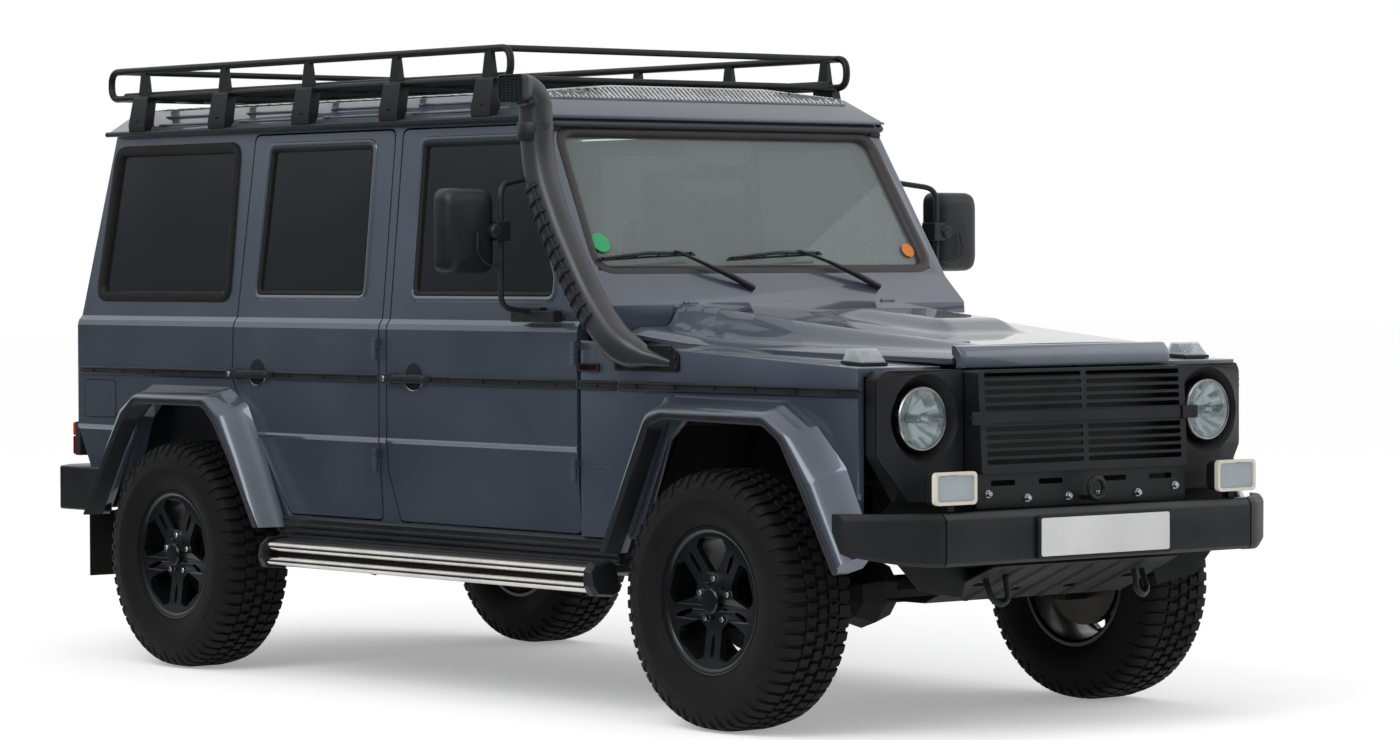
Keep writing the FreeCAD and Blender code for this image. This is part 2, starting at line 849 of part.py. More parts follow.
def frame():
    """Two box rails, their cross members and the towers over the springs."""
    inner = "rail_y - rail_width/2"
    outer = "rail_y + rail_width/2"
    top = "rail_z + rail_height"
    rail = box("rail", (RAIL_TAIL, RAIL_FRONT), ("-(%s)" % outer, "-(%s)" % inner), ("rail_z", top))
    parts = [rail, mirrored("rail_mirrored", rail)]
    stations = (RAIL_FRONT, "-firewall_gap", "-member_middle", "-member_aft", "-member_rear",
                "%s + member_width" % RAIL_TAIL)
    for number, station in enumerate(stations):
        parts.append(box("member%d" % number, ("%s - member_width" % station, station),
                         ("-(%s) - 1" % inner, "%s + 1" % inner), ("rail_z", "rail_z + member_depth")))
    for end, station, level, lead in (("front", "0", "tower_z", 1), ("rear", "-wheelbase", "rear_tower_z", -1)):
        ahead = "damper_lead + damper_radius" if lead > 0 else "spring_radius"
        behind = "spring_radius" if lead > 0 else "damper_lead + damper_radius"
        run = ("%s - (%s)" % (station, behind), "%s + %s" % (station, ahead))
        cap = box(end + "_tower_cap", run, ("-spring_y - spring_radius - 2", "-(%s) + 1" % outer),
                  (level, "%s + tower_sheet" % level))
        parts += [cap, mirrored(end + "_tower_cap_mirrored", cap)]
        if lead > 0:
            wall = box("tower_wall", run, ("-(%s) - 4" % outer, "-(%s)" % inner),
                       ("%s - 1" % top, "%s + tower_sheet" % level))
            parts += [wall, mirrored("tower_wall_mirrored", wall)]
    for number, station in enumerate(("-firewall_gap", "-member_middle", "-member_aft", "-wheelbase - wheel_box_half")):
        mount = bar("body_mount%d" % number, "z", (station, "-rail_y", "%s - 1" % top), "mount_radius",
                    "floor_z - (%s) + 1" % top, 6)
        parts += [mount, mirrored("body_mount%d_mirrored" % number, mount)]
    subpart("ladder_frame", fuse("frame_solid", *parts))


def drive():
    """Engine block, radiator, gearbox with its transfer case, shafts, tank and exhaust."""
    inner = "rail_y - rail_width/2"
    bed = "rail_z + member_depth"
    back = "engine_front - engine_length"
    subpart("engine_block", box("engine", (back, "engine_front"), ("-(%s)" % inner, inner),
                                (bed, "%s + engine_height" % bed)))
    subpart("radiator", box("radiator_core", ("radiator_front - radiator_thickness", "radiator_front"),
                            ("-(%s)" % inner, inner), ("rail_z + rail_height", "radiator_top")))
    end = "%s - gearbox_length" % back
    case = box("gearbox", (end, back), ("-gearbox_width/2", "gearbox_width/2"),
               (bed, "%s + gearbox_height" % bed))
    transfer = box("transfer", ("%s - transfer_length" % end, end),
                   ("-front_diff_y - 2*shaft_radius", "gearbox_width/2 - 20"),
                   ("shaft_z - 2*shaft_radius", "transfer_z"))
    reach = size("engine_front") - size("engine_length") - size("gearbox_length")
    high = size("shaft_z")
    low = size("tyre_radius")
    across = -size("front_diff_y")
    radius = size("shaft_radius")
    nose = 0.75 * size("diff_length")
    slack = 2.3
    fore = rod_shape(Vector(reach - 1, across, high), Vector(-nose - slack, across, low), radius)
    aft = rod_shape(Vector(reach - size("transfer_length") + 1, 0, high),
                    Vector(-size("wheelbase") + nose + slack, 0, low), radius)
    shafts = [shaped("front_shaft", fore), shaped("rear_shaft", aft)]
    subpart("driveline", fuse("driveline_solid", case, transfer, *shafts))
    subpart("fuel_tank", box("tank", ("%s + member_width + 2" % RAIL_TAIL,
                                   "%s + member_width + tank_length" % RAIL_TAIL),
                          ("-(%s)" % inner, inner),
                          ("rail_z + rail_height - tank_height", "rail_z + rail_height")))
    pipe_z = size("rail_z") - size("silencer_radius") - size("fit_gap")
    pipe_y = size("exhaust_y")
    start = size("engine_front") - size("engine_length")
    muffler = -size("silencer_start")
    rear = muffler - size("silencer_length")
    front_pipe = tube_shape([
        Vector(start - size("fit_gap"), pipe_y, size("exhaust_z")),
        Vector(start - 270, pipe_y, size("exhaust_z")),
        Vector(start - 490, pipe_y, pipe_z),
        Vector(muffler - 1, pipe_y, pipe_z),
    ], size("exhaust_radius"), 60, 6)
    tail_pipe = tube_shape([
        Vector(rear + 1, pipe_y, pipe_z),
        Vector(rear - size("tail_pipe_lead"), pipe_y, pipe_z),
        Vector(rear - size("tail_pipe_lead"), size("step_inner_y") - 30, pipe_z),
    ], size("exhaust_radius"), 80, 6)
    muffler_shape = rod_shape(Vector(rear, pipe_y, pipe_z), Vector(muffler, pipe_y, pipe_z),
                              size("silencer_radius"), 10)
    subpart("exhaust", shaped("exhaust_solid", muffler_shape.fuse([front_pipe, tail_pipe])))


# Body shell

def shell_section(depth_outer, depth_inner, low, high):
    """Right-hand slice of the body side between two depths below its outer face."""
    def line(depth):
        return [
            ("-(sill_y - (%s))" % depth, low),
            ("-(side_y - (%s))" % depth, "crease_z"),
            ("-(side_y - (%s))" % depth, "belt_z"),
            ("-(shoulder_y - (%s))" % depth, "belt_z + shoulder_rise"),
            ("-(cant_y - (%s))" % depth, high),
        ]
    return line(depth_outer) + list(reversed(line(depth_inner)))


def front_door_outline(grow):
    return [
        ("door_front + %s" % grow, "door_base_z - %s" % grow),
        ("door_front + %s" % grow, "post_foot_z"),
        ("post_head + %s" % grow, "door_top_z + %s" % grow),
        ("post_front - %s" % grow, "door_top_z + %s" % grow),
        ("post_front - %s" % grow, "crease_z - 100"),
        ("post_front + 54 - %s" % grow, "door_base_z - %s" % grow),
    ]


def rear_door_outline(grow):
    edge = "door_rear_lead - wheelbase"
    return [
        ("post_rear + %s" % grow, "door_base_z - %s" % grow),
        ("post_rear + %s" % grow, "door_top_z + %s" % grow),
        ("%s + 44 - %s" % (edge, grow), "door_top_z + %s" % grow),
        ("%s - %s" % (edge, grow), "crease_z + 186"),
        ("%s + 130 - %s" % (edge, grow), "crease_z"),
        ("%s + 322 - %s" % (edge, grow), "door_base_z - %s" % grow),
    ]


def front_pane_outline(shrink):
    return [
        ("pane_front - %s" % shrink, "pane_base_z + %s" % shrink),
        ("pane_front - %s" % shrink, "pane_base_z + 60"),
        ("pane_head - %s" % shrink, "pane_top_z - %s" % shrink),
        ("post_front + door_frame + %s" % shrink, "pane_top_z - %s" % shrink),
        ("post_front + door_frame + %s" % shrink, "pane_base_z + %s" % shrink),
    ]


def rear_pane_outline(shrink):
    edge = "door_rear_lead - wheelbase + door_frame"
    return [
        ("post_rear - door_frame - %s" % shrink, "pane_base_z + %s" % shrink),
        ("post_rear - door_frame - %s" % shrink, "pane_top_z - %s" % shrink),
        ("%s + 30 + %s" % (edge, shrink), "pane_top_z - %s" % shrink),
        ("%s + %s" % (edge, shrink), "pane_base_z + %s" % shrink),
    ]


def quarter_pane_outline(shrink):
    return [
        ("door_rear_lead - wheelbase - 66 - %s" % shrink, "pane_base_z + %s" % shrink),
        ("door_rear_lead - wheelbase - 66 - %s" % shrink, "pane_top_z - %s" % shrink),
        ("tail + 178 + %s" % shrink, "pane_top_z - %s" % shrink),
        ("tail + 120 + %s" % shrink, "pane_base_z + %s" % shrink),
    ]


def side_slab(name, depth_outer, depth_inner, low, high):
    return prism(name, "YZ", shell_section(depth_outer, depth_inner, low, high), "tail", "firewall")


def side_hole(name, points):
    return prism(name, "XZ", points, "-side_y - 60", "-side_y + 180")


def glass_slab(name, points):
    """A pane that lies in the leaning upper side, cut to a window's outline."""
    def line(depth):
        return [
            ("-(shoulder_y - (%s))" % depth, "belt_z + shoulder_rise"),
            ("-(cant_y - (%s))" % depth, "door_top_z"),
        ]
    points_across = line("pane_depth") + list(reversed(line("pane_depth + glass")))
    slab = prism(name + "_slab", "YZ", points_across, "tail", "firewall")
    return common(name, slab, side_hole(name + "_shape", points))


HINGE_LINES = {"front": "door_front + hinge_lead", "rear": "post_rear + hinge_lead"}


def post_hinges():
    """The body's halves of the side doors' hinges, each with its pin."""
    parts = []
    for end, axis_x in HINGE_LINES.items():
        for number, level in enumerate(("hinge_low_z", "hinge_high_z")):
            name = "%s_post_hinge%d" % (end, number)
            low = "%s + hinge_split + hinge_slit" % level
            high = "%s + hinge_height" % level
            parts.append(bar(name, "z", (axis_x, "-hinge_y", low), "hinge_radius",
                             "hinge_height - hinge_split - hinge_slit"))
            parts.append(bar(name + "_pin", "z", (axis_x, "-hinge_y", level), "hinge_pin", "hinge_height"))
            parts.append(box(name + "_link", ("%s - 2" % axis_x, "%s + hinge_radius - 1" % axis_x),
                             ("-hinge_y", "-sill_y"), (low, high)))
    return parts


def doors():
    """Four side doors, each as thick as the wall, with their panes and mirrors."""
    kinds = (("front", front_door_outline, front_pane_outline), ("rear", rear_door_outline, rear_pane_outline))
    for end, door_points, pane_points in kinds:
        slab = side_slab(end + "_door_slab", "0", "wall", "door_base_z - 60", "door_top_z + 0")
        blank = common(end + "_door_blank", slab, side_hole(end + "_door_shape", door_points("0")))
        hole = side_hole(end + "_door_window", pane_points("0"))
        panel = cut(end + "_door_panel", blank, hole)
        pane = glass_slab(end + "_door_pane", pane_points("fit_gap"))
        knuckles = []
        bores = []
        axis_x = HINGE_LINES[end]
        for number, level in enumerate(("hinge_low_z", "hinge_high_z")):
            name = "%s_hinge%d" % (end, number)
            barrel = bar(name, "z", (axis_x, "-hinge_y", level), "hinge_radius", "hinge_split")
            link = box(name + "_link", ("%s - hinge_leaf" % axis_x, axis_x),
                       ("-hinge_y - hinge_plate", "-hinge_y + hinge_plate"), (level, "%s + hinge_split" % level))
            foot = box(name + "_foot", ("%s - hinge_leaf" % axis_x, "%s - hinge_lead - 1" % axis_x),
                       ("-hinge_y", "-sill_y"), (level, "%s + hinge_split" % level))
            knuckles += [barrel, link, foot]
            bores.append(cylinder(name + "_bore", "z", (axis_x, "-hinge_y", "%s - 1" % level),
                                  "hinge_pin + spindle_gap", "hinge_split + 2"))
        solid = cut(end + "_door_solid", fuse(end + "_door_hung", panel, *knuckles), *bores)
        subpart("door_%s_right" % end, solid)
        subpart("door_%s_left" % end, mirrored(end + "_door_left_solid", solid))
        subpart("glass_%s_right" % end, pane)
        subpart("glass_%s_left" % end, mirrored(end + "_glass_left_solid", pane))


def arch_outline(centre, half_top, half_bend, half_low, grow, foot):
    """The straight-sided wheel opening: flat top, two bends and slanting legs."""
    return [
        ("%s - %s - %s" % (centre, half_low, grow), foot),
        ("%s - %s - %s" % (centre, half_bend, grow), "arch_bend_z + %s" % grow),
        ("%s - %s - %s*0.5" % (centre, half_top, grow), "arch_top_z + %s" % grow),
        ("%s + %s + %s*0.5" % (centre, half_top, grow), "arch_top_z + %s" % grow),
        ("%s + %s + %s" % (centre, half_bend, grow), "arch_bend_z + %s" % grow),
        ("%s + %s + %s" % (centre, half_low, grow), foot),
    ]


FRONT_ARCH = ("front_arch_x", "front_arch_top", "front_arch_bend", "front_arch_low")
REAR_ARCH = ("-wheelbase", "rear_arch_top", "rear_arch_bend", "rear_arch_low")


def body_sides():
    """Side frames: sill, posts, rear quarter and the strip over the doors, with windows cut."""
    slab = side_slab("side_slab", "0", "wall", "sill_z", "gutter_z")
    edge = prism("side_edge", "XZ", [
        ("firewall - 1", "sill_z"),
        ("firewall - 1", "wing_top_rear - wing_sheet - 14"),
        ("scuttle_front", "wing_top_rear - wing_sheet - 14"),
        ("scuttle_front", "post_foot_z"),
        ("door_front + shut_gap", "post_foot_z"),
        ("door_front + shut_gap - 30", "post_foot_z"),
        ("post_head + shut_gap - 2", "door_top_z"),
        ("post_head + shut_gap", "gutter_z"),
        ("tail_top", "gutter_z"),
        ("tail", "belt_z"),
        ("tail", "crease_z"),
        ("tail + 67", "rear_bumper_top_z"),
        ("rear_bumper_end + 30", "rear_bumper_top_z"),
        ("rear_bumper_end + 30", "sill_z"),
    ], "-side_y - 10", "-side_y + 160")
    blank = common("side_blank", slab, edge)
    openings = [
        side_hole("front_doorway", front_door_outline("shut_gap")),
        side_hole("rear_doorway", rear_door_outline("shut_gap")),
        side_hole("quarter_window", quarter_pane_outline("0")),
        side_hole("rear_arch", arch_outline(*REAR_ARCH, "10", "sill_z - 50")),
        box("wing_seat", ("wing_rear - shut_gap", "firewall + 10"),
            ("-side_y - 10", "-side_y + wing_sheet + fit_gap"), ("sill_z + 59", "wing_top_rear + 1")),
    ]
    side = fuse("side_solid", cut("side_cut", blank, *openings), *post_hinges())
    subpart("body_side_right", side)
    subpart("body_side_left", mirrored("side_left_solid", side))


def rear_face(depth, start, end):
    """Rear wall line: upright below the belt and leaning forward above it."""
    return [
        ("tail + %s" % depth, start),
        ("tail + %s" % depth, "belt_z"),
        ("tail_top + %s" % depth, end),
    ]


def rear_slab(name, front, back, low, high, half):
    points = rear_face(front, low, high) + list(reversed(rear_face(back, low, high)))
    return prism(name, "XZ", points, "-(%s)" % half, half)


def tail_hinges():
    """Rear door hinges: the door's barrels and leaves, their bores, and the frame's halves with pins."""
    door = []
    bores = []
    frame_side = []
    axis = ("tail - hinge_reach", "-rear_door_y - hinge_lead")
    for number, level in enumerate(("rear_hinge_low_z", "rear_hinge_high_z")):
        name = "tail_hinge%d" % number
        top = "%s + rear_hinge_split" % level
        door.append(bar(name, "z", axis + (level,), "hinge_radius", "rear_hinge_split"))
        door.append(box(name + "_link", ("tail - hinge_reach - hinge_plate", "tail - hinge_reach + hinge_plate"),
                        ("-rear_door_y - hinge_lead", "-rear_door_y + hinge_leaf"), (level, top)))
        door.append(box(name + "_foot", ("tail - hinge_reach", "tail + 1"), ("-rear_door_y + 1", "-rear_door_y + hinge_leaf"),
                        (level, top)))
        bores.append(cylinder(name + "_bore", "z", axis + ("%s - 1" % level,), "hinge_pin + spindle_gap",
                              "rear_hinge_split + 2"))
        frame_side.append(bar(name + "_barrel", "z", axis + ("%s + hinge_slit" % top,), "hinge_radius",
                              "rear_hinge_height - rear_hinge_split - hinge_slit"))
        frame_side.append(bar(name + "_pin", "z", axis + (level,), "hinge_pin", "rear_hinge_height"))
        frame_side.append(box(name + "_strap", ("tail - hinge_reach", "tail + 1"),
                              ("-rear_door_y - hinge_lead - 8", "-rear_door_y - hinge_lead + 2"),
                              ("%s + hinge_slit" % top, "%s + rear_hinge_height" % level)))
    return door, bores, frame_side


def rear_end():
    """Frame round the tailgate, the side-hinged rear door, its pane and the spare's carrier."""
    ring = rear_slab("rear_ring", "0", "wall", "rear_bumper_top_z", "gutter_z", "side_y")
    skin = prism("rear_skin", "YZ", [
        ("-(sill_y - wall)", "rear_bumper_top_z - 5"),
        ("-(side_y - wall)", "crease_z"),
        ("-(side_y - wall)", "belt_z"),
        ("-(shoulder_y - wall)", "belt_z + shoulder_rise"),
        ("-(cant_y - wall)", "gutter_z"),
        ("cant_y - wall", "gutter_z"),
        ("shoulder_y - wall", "belt_z + shoulder_rise"),
        ("side_y - wall", "belt_z"),
        ("side_y - wall", "crease_z"),
        ("sill_y - wall", "rear_bumper_top_z - 5"),
    ], "tail - 10", "tail_top + 100")
    way = box("rear_way", ("tail - 100", "tail_top + 200"),
              ("-rear_door_y - shut_gap", "rear_door_y + shut_gap"),
              ("rear_door_base_z - shut_gap", "rear_door_top_z + shut_gap"))
    hinges, bores, carried = tail_hinges()
    subpart("rear_frame", fuse("rear_frame_solid", cut("rear_frame_cut", common("rear_ring_trimmed", ring, skin), way),
                               *carried))

    panel = rear_slab("rear_panel", "0", "wall", "rear_door_base_z", "gutter_z", "rear_door_y")
    trim = box("rear_panel_top", ("tail - 100", "tail_top + 200"), ("-side_y", "side_y"),
               ("rear_door_top_z", "gutter_z + 50"))
    hole = box("rear_window", ("tail - 100", "tail_top + 200"), ("-rear_pane_y", "rear_pane_y"),
               ("pane_base_z + 30", "pane_top_z - 30"))
    mount = "tail - spare_gap - tyre_width/2 - (rim_width/2 - spoke_inset - spoke_plate)"
    boss = bar("spare_boss", "x", (mount, "0", "spare_z"), "hub_radius", "tail + 1 - (%s)" % mount, 12)
    hung = fuse("rear_door_hung", cut("rear_panel_cut", panel, trim, hole), boss, *hinges)
    door = cut("rear_door_solid", hung, *bores)
    subpart("rear_door", door)
    pane = rear_slab("rear_pane", "pane_depth", "pane_depth + glass", "rear_door_base_z", "gutter_z", "rear_pane_y - fit_gap")
    window = box("rear_pane_shape", ("tail - 100", "tail_top + 200"), ("-side_y", "side_y"),
                 ("pane_base_z + 30 + fit_gap", "pane_top_z - 30 - fit_gap"))
    subpart("rear_door_glass", common("rear_pane_solid", pane, window))


def screen_line(depth):
    return [("screen_base - %s" % depth, "screen_base_z"), ("screen_top - %s" % depth, "screen_top_z")]


def windscreen(carried):
    """Scuttle, screen posts and header in one frame, and the fixed panes of the body."""
    block = prism("screen_block", "XZ", [
        ("scuttle_front", "scuttle_base_z"),
        ("scuttle_front", "hood_cowl_z"),
        ("screen_base + 22", "screen_base_z - 24"),
        ("screen_top - 18", "gutter_z"),
        ("post_head + shut_gap + fit_gap", "gutter_z"),
        ("door_front + shut_gap + fit_gap", "post_foot_z"),
        ("door_front + shut_gap + fit_gap", "scuttle_base_z"),
    ], "-side_y", "side_y")
    slope = "(post_foot_z - belt_z - shoulder_rise)/(gutter_z - belt_z - shoulder_rise)"
    foot_y = "shoulder_y - (shoulder_y - cant_y)*%s" % slope
    inner_y = "shoulder_y - wall - 4"
    skin = prism("screen_skin", "YZ", [
        ("-(%s)" % inner_y, "scuttle_base_z"),
        ("-(%s)" % inner_y, "post_foot_z"),
        ("-(%s)" % foot_y, "post_foot_z"),
        ("-cant_y", "gutter_z"),
        ("cant_y", "gutter_z"),
        (foot_y, "post_foot_z"),
        (inner_y, "post_foot_z"),
        (inner_y, "scuttle_base_z"),
    ], "post_head - 10", "firewall")
    window = prism("screen_window", "YZ", [
        ("-screen_base_y", "screen_base_z"),
        ("screen_base_y", "screen_base_z"),
        ("screen_top_y", "screen_top_z"),
        ("-screen_top_y", "screen_top_z"),
    ], "post_head - 100", "firewall")
    seal = box("hood_seal", ("scuttle_front - 1", "scuttle_front + seal_reach"), ("-dome_rear_y", "dome_rear_y"),
               ("hood_cowl_z - 26", "hood_cowl_z - 4"))
    hollow = cut("screen_frame_open", common("screen_frame_blank", block, skin), window)
    subpart("windscreen_frame", fuse("screen_frame_solid", hollow, seal, *carried))
    slab = prism("screen_pane", "XZ", screen_line("pane_depth") + list(reversed(screen_line("pane_depth + glass"))),
                 "-side_y", "side_y")
    shape = prism("screen_pane_shape", "YZ", [
        ("fit_gap - screen_base_y", "screen_base_z + fit_gap"),
        ("screen_base_y - fit_gap", "screen_base_z + fit_gap"),
        ("screen_top_y - fit_gap", "screen_top_z - fit_gap"),
        ("fit_gap - screen_top_y", "screen_top_z - fit_gap"),
    ], "post_head - 100", "firewall")
    screen = common("screen_glass", slab, shape)
    quarter = glass_slab("quarter_glass", quarter_pane_outline("fit_gap"))
    subpart("fixed_glass", group("fixed_glass_group", screen, quarter, mirrored("quarter_glass_left", quarter)))


def roof_solid(name, inset):
    """Roof volume: a crowned cross-section trimmed by the sloping front and rear ends."""
    across = [
        ("-(gutter_y - %s)" % inset, "gutter_z"),
        ("-(gutter_y - %s)" % inset, "gutter_z + 12"),
        ("-(roof_shoulder_y - %s)" % inset, "roof_z - 28 - %s" % inset),
        ("-roof_shoulder_y*0.5", "roof_z - 5 - %s" % inset),
        ("roof_shoulder_y*0.5", "roof_z - 5 - %s" % inset),
        ("roof_shoulder_y - %s" % inset, "roof_z - 28 - %s" % inset),
        ("gutter_y - %s" % inset, "gutter_z + 12"),
        ("gutter_y - %s" % inset, "gutter_z"),
    ]
    along = [
        ("roof_front - %s" % inset, "gutter_z"),
        ("roof_front - %s" % inset, "gutter_z + 12"),
        ("roof_front - 150 - %s" % inset, "roof_z + 10"),
        ("tail_top + 90 + %s" % inset, "roof_z + 10"),
        ("tail_top - 20 + %s" % inset, "gutter_z + 12"),
        ("tail_top - 20 + %s" % inset, "gutter_z"),
    ]
    return common(name, prism(name + "_across", "YZ", across, "tail", "firewall"),
                  prism(name + "_along", "XZ", along, "-side_y", "side_y"))


def roof():
    """Ribbed roof skin with a drip rail along each side, which carries the rack's feet."""
    shell = cut("roof_shell", roof_solid("roof_outer", "0"), roof_solid("roof_inner", "roof_wall"))
    lip = box("drip_rail", ("tail_top + 23", "roof_front"), ("-gutter_y - gutter_lip", "-gutter_y + 1"),
              ("gutter_z + 2", "gutter_z + 10"))
    subpart("roof_panel", fuse("roof_solid_shape", shell, lip, mirrored("drip_rail_left", lip)))


def floor():
    """Floor with its tunnel, the bulkhead ahead of the feet and the boxes over the rear wheels."""
    half = "floor_y"
    sheet = ("floor_z", "floor_z + floor_sheet")
    plate = box("floor_plate", ("tail + wall + 1", "firewall - floor_sheet"), ("-(%s)" % half, half), sheet)
    wall = box("bulkhead", ("firewall - floor_sheet", "firewall - 1"), ("-(%s)" % half, half),
               ("floor_z", "bulkhead_z"))
    hump = box("tunnel", ("-tunnel_end", "firewall - floor_sheet/2"), ("-tunnel_y", "tunnel_y"), ("floor_z", "tunnel_z"))
    hollow = box("tunnel_hollow", ("-tunnel_end + floor_sheet", "firewall + 1"),
                 ("-tunnel_y + floor_sheet", "tunnel_y - floor_sheet"), ("floor_z - 1", "tunnel_z - floor_sheet"))
    boxes = []
    hollows = []
    for side in ("right", "left"):
        near, far = ("-(%s)" % half, "-wheel_box_y") if side == "right" else ("wheel_box_y", half)
        boxes.append(box("wheel_box_" + side, ("-wheelbase - wheel_box_half", "-wheelbase + wheel_box_half"),
                         (near, far), ("floor_z", "wheel_box_z")))
        cut_near = near if side == "left" else "%s - 1" % near
        cut_far = far if side == "right" else "%s + 1" % far
        if side == "right":
            cut_far = "-wheel_box_y - floor_sheet"
        else:
            cut_near = "wheel_box_y + floor_sheet"
        hollows.append(box("wheel_hollow_" + side,
                           ("-wheelbase - wheel_box_half + floor_sheet", "-wheelbase + wheel_box_half - floor_sheet"),
                           (cut_near, cut_far), ("floor_z - 1", "wheel_box_z - floor_sheet")))
    subpart("floor_pan", cut("floor_solid", fuse("floor_fused", plate, wall, hump, *boxes), hollow, *hollows))


# Front of the body

def hood_rings(inset):
    """Sections of the bonnet, each with a skirt, a low shoulder and the raised middle between ridges."""
    run = (size("hood_swell") - size("hood_middle")) / (size("hood_rear") - size("hood_middle"))
    swell_z = size("dome_middle_z") + (size("dome_rear_z") - size("dome_middle_z")) * run
    crowns = {"rear": size("dome_rear_z"), "swell": swell_z, "middle": size("dome_middle_z"), "front": size("dome_front_z")}
    rings = []
    for place_name, crown in crowns.items():
        station = size("hood_" + place_name)
        half = size("hood_%s_y" % place_name) - inset
        edge = size("hood_%s_z" % place_name) - inset
        ridge = size("dome_%s_y" % place_name)
        right = [
            (-half, edge - size("hood_skirt") + inset / 2),
            (-half, edge),
            (-ridge - size("hood_slope"), edge + size("hood_step")),
            (-ridge, crown - inset),
        ]
        left = [(-across, up) for across, up in reversed(right)]
        rings.append([Vector(station, across, up) for across, up in right + left])
    return rings


def hood_hinges():
    """Bonnet hinges: the bonnet's barrels, bores and notches, and the scuttle's halves with pins."""
    line = "dome_rear_z + hood_axis_lift"
    near = "hood_hinge_y + hood_hinge_split + hinge_slit"
    far = "hood_hinge_y + hood_hinge_length"
    barrel = bar("hood_barrel", "y", ("hood_rear", "hood_hinge_y", line), "hood_hinge_radius", "hood_hinge_split", 10)
    bore = cylinder("hood_bore", "y", ("hood_rear", "hood_hinge_y - 1", line),
                    "hood_hinge_pin + spindle_gap", "hood_hinge_split + 2")
    notch = box("hood_notch", ("hood_rear - 1", "hood_rear + hood_hinge_radius + hinge_slit"),
                ("%s - hinge_slit/2" % near, "%s + hinge_slit" % far),
                ("%s - 2*hood_hinge_radius" % line, "%s + 2*hood_hinge_radius" % line))
    post = bar("hood_post", "y", ("hood_rear", near, line), "hood_hinge_radius", "%s - (%s)" % (far, near), 10)
    pin = bar("hood_pin", "y", ("hood_rear", "hood_hinge_y", line), "hood_hinge_pin", "hood_hinge_length", 6)
    link = box("hood_link", ("hood_rear - hood_hinge_foot", "hood_rear - fit_gap"), (near, far),
               ("%s - hood_hinge_foot" % line, line))
    sides = [[item, mirrored(item.Name + "_right", item)] for item in (barrel, bore, notch, post, pin, link)]
    return sides[0], sides[1] + sides[2], sides[3] + sides[4] + sides[5]


def hood(barrels, bores):
    """Bonnet skin with its raised middle, the turned-down nose and its halves of the hinges."""
    outer = shaped("hood_outer", faceted_shape(hood_rings(0)))
    inner = shaped("hood_inner", faceted_shape(hood_rings(size("hood_sheet"))))
    nose = prism("hood_nose_plate", "XZ", [
        ("hood_front - 1", "dome_front_z"),
        ("hood_nose", "hood_front_z"),
        ("hood_nose", "grille_top_z + 4"),
        ("hood_nose - hood_sheet", "grille_top_z + 4"),
        ("hood_nose - hood_sheet", "hood_front_z - hood_sheet"),
        ("hood_front - 1", "hood_front_z - hood_sheet"),
    ], "-hood_lip_y", "hood_lip_y")
    hung = fuse("hood_hung", cut("hood_skin", outer, inner), nose, *barrels)
    subpart("hood", cut("hood_solid", hung, *bores))


def wing():
    """Right front wing: upright side with the wheel opening and the shelf beside the bonnet."""
    side = prism("wing_side", "XZ", [
        ("wing_rear", "sill_z + 60"),
        ("wing_rear", "wing_top_rear"),
        ("wing_front", "wing_top_front"),
        ("wing_front", "bumper_top_z - 100"),
        ("wing_front - 90", "bumper_top_z - 100"),
        ("firewall", "sill_z + 60"),
    ], "-side_y", "-side_y + wing_sheet")
    shelf = prism("wing_shelf", "XZ", [
        ("wing_rear", "wing_top_rear"),
        ("wing_front", "wing_top_front"),
        ("wing_front", "wing_top_front - wing_sheet"),
        ("wing_rear", "wing_top_rear - wing_sheet"),
    ], "-side_y", "-hood_front_y")
    plan = prism("wing_plan", "XY", [
        ("scuttle_front + 1", "-side_y"),
        ("scuttle_front + 1", "-(hood_rear_y + 2*hood_gap)"),
        ("hood_rear + 20", "-(hood_rear_y + 1.5*hood_gap)"),
        ("hood_swell + 10", "-(hood_swell_y + 1.5*hood_gap)"),
        ("hood_middle", "-(hood_middle_y + hood_gap)"),
        ("hood_front", "-(hood_front_y + hood_gap)"),
        ("hood_front", "-side_y"),
    ], "belt_z - 400", "belt_z + 100")
    arch = prism("wing_arch", "XZ", arch_outline(*FRONT_ARCH, "10", "sill_z - 50"),
                 "-side_y - 10", "-side_y + 60")
    return cut("wing_solid", fuse("wing_fused", side, common("wing_shelf_trimmed", shelf, plan)), arch)


LAMP_SIDES = 14


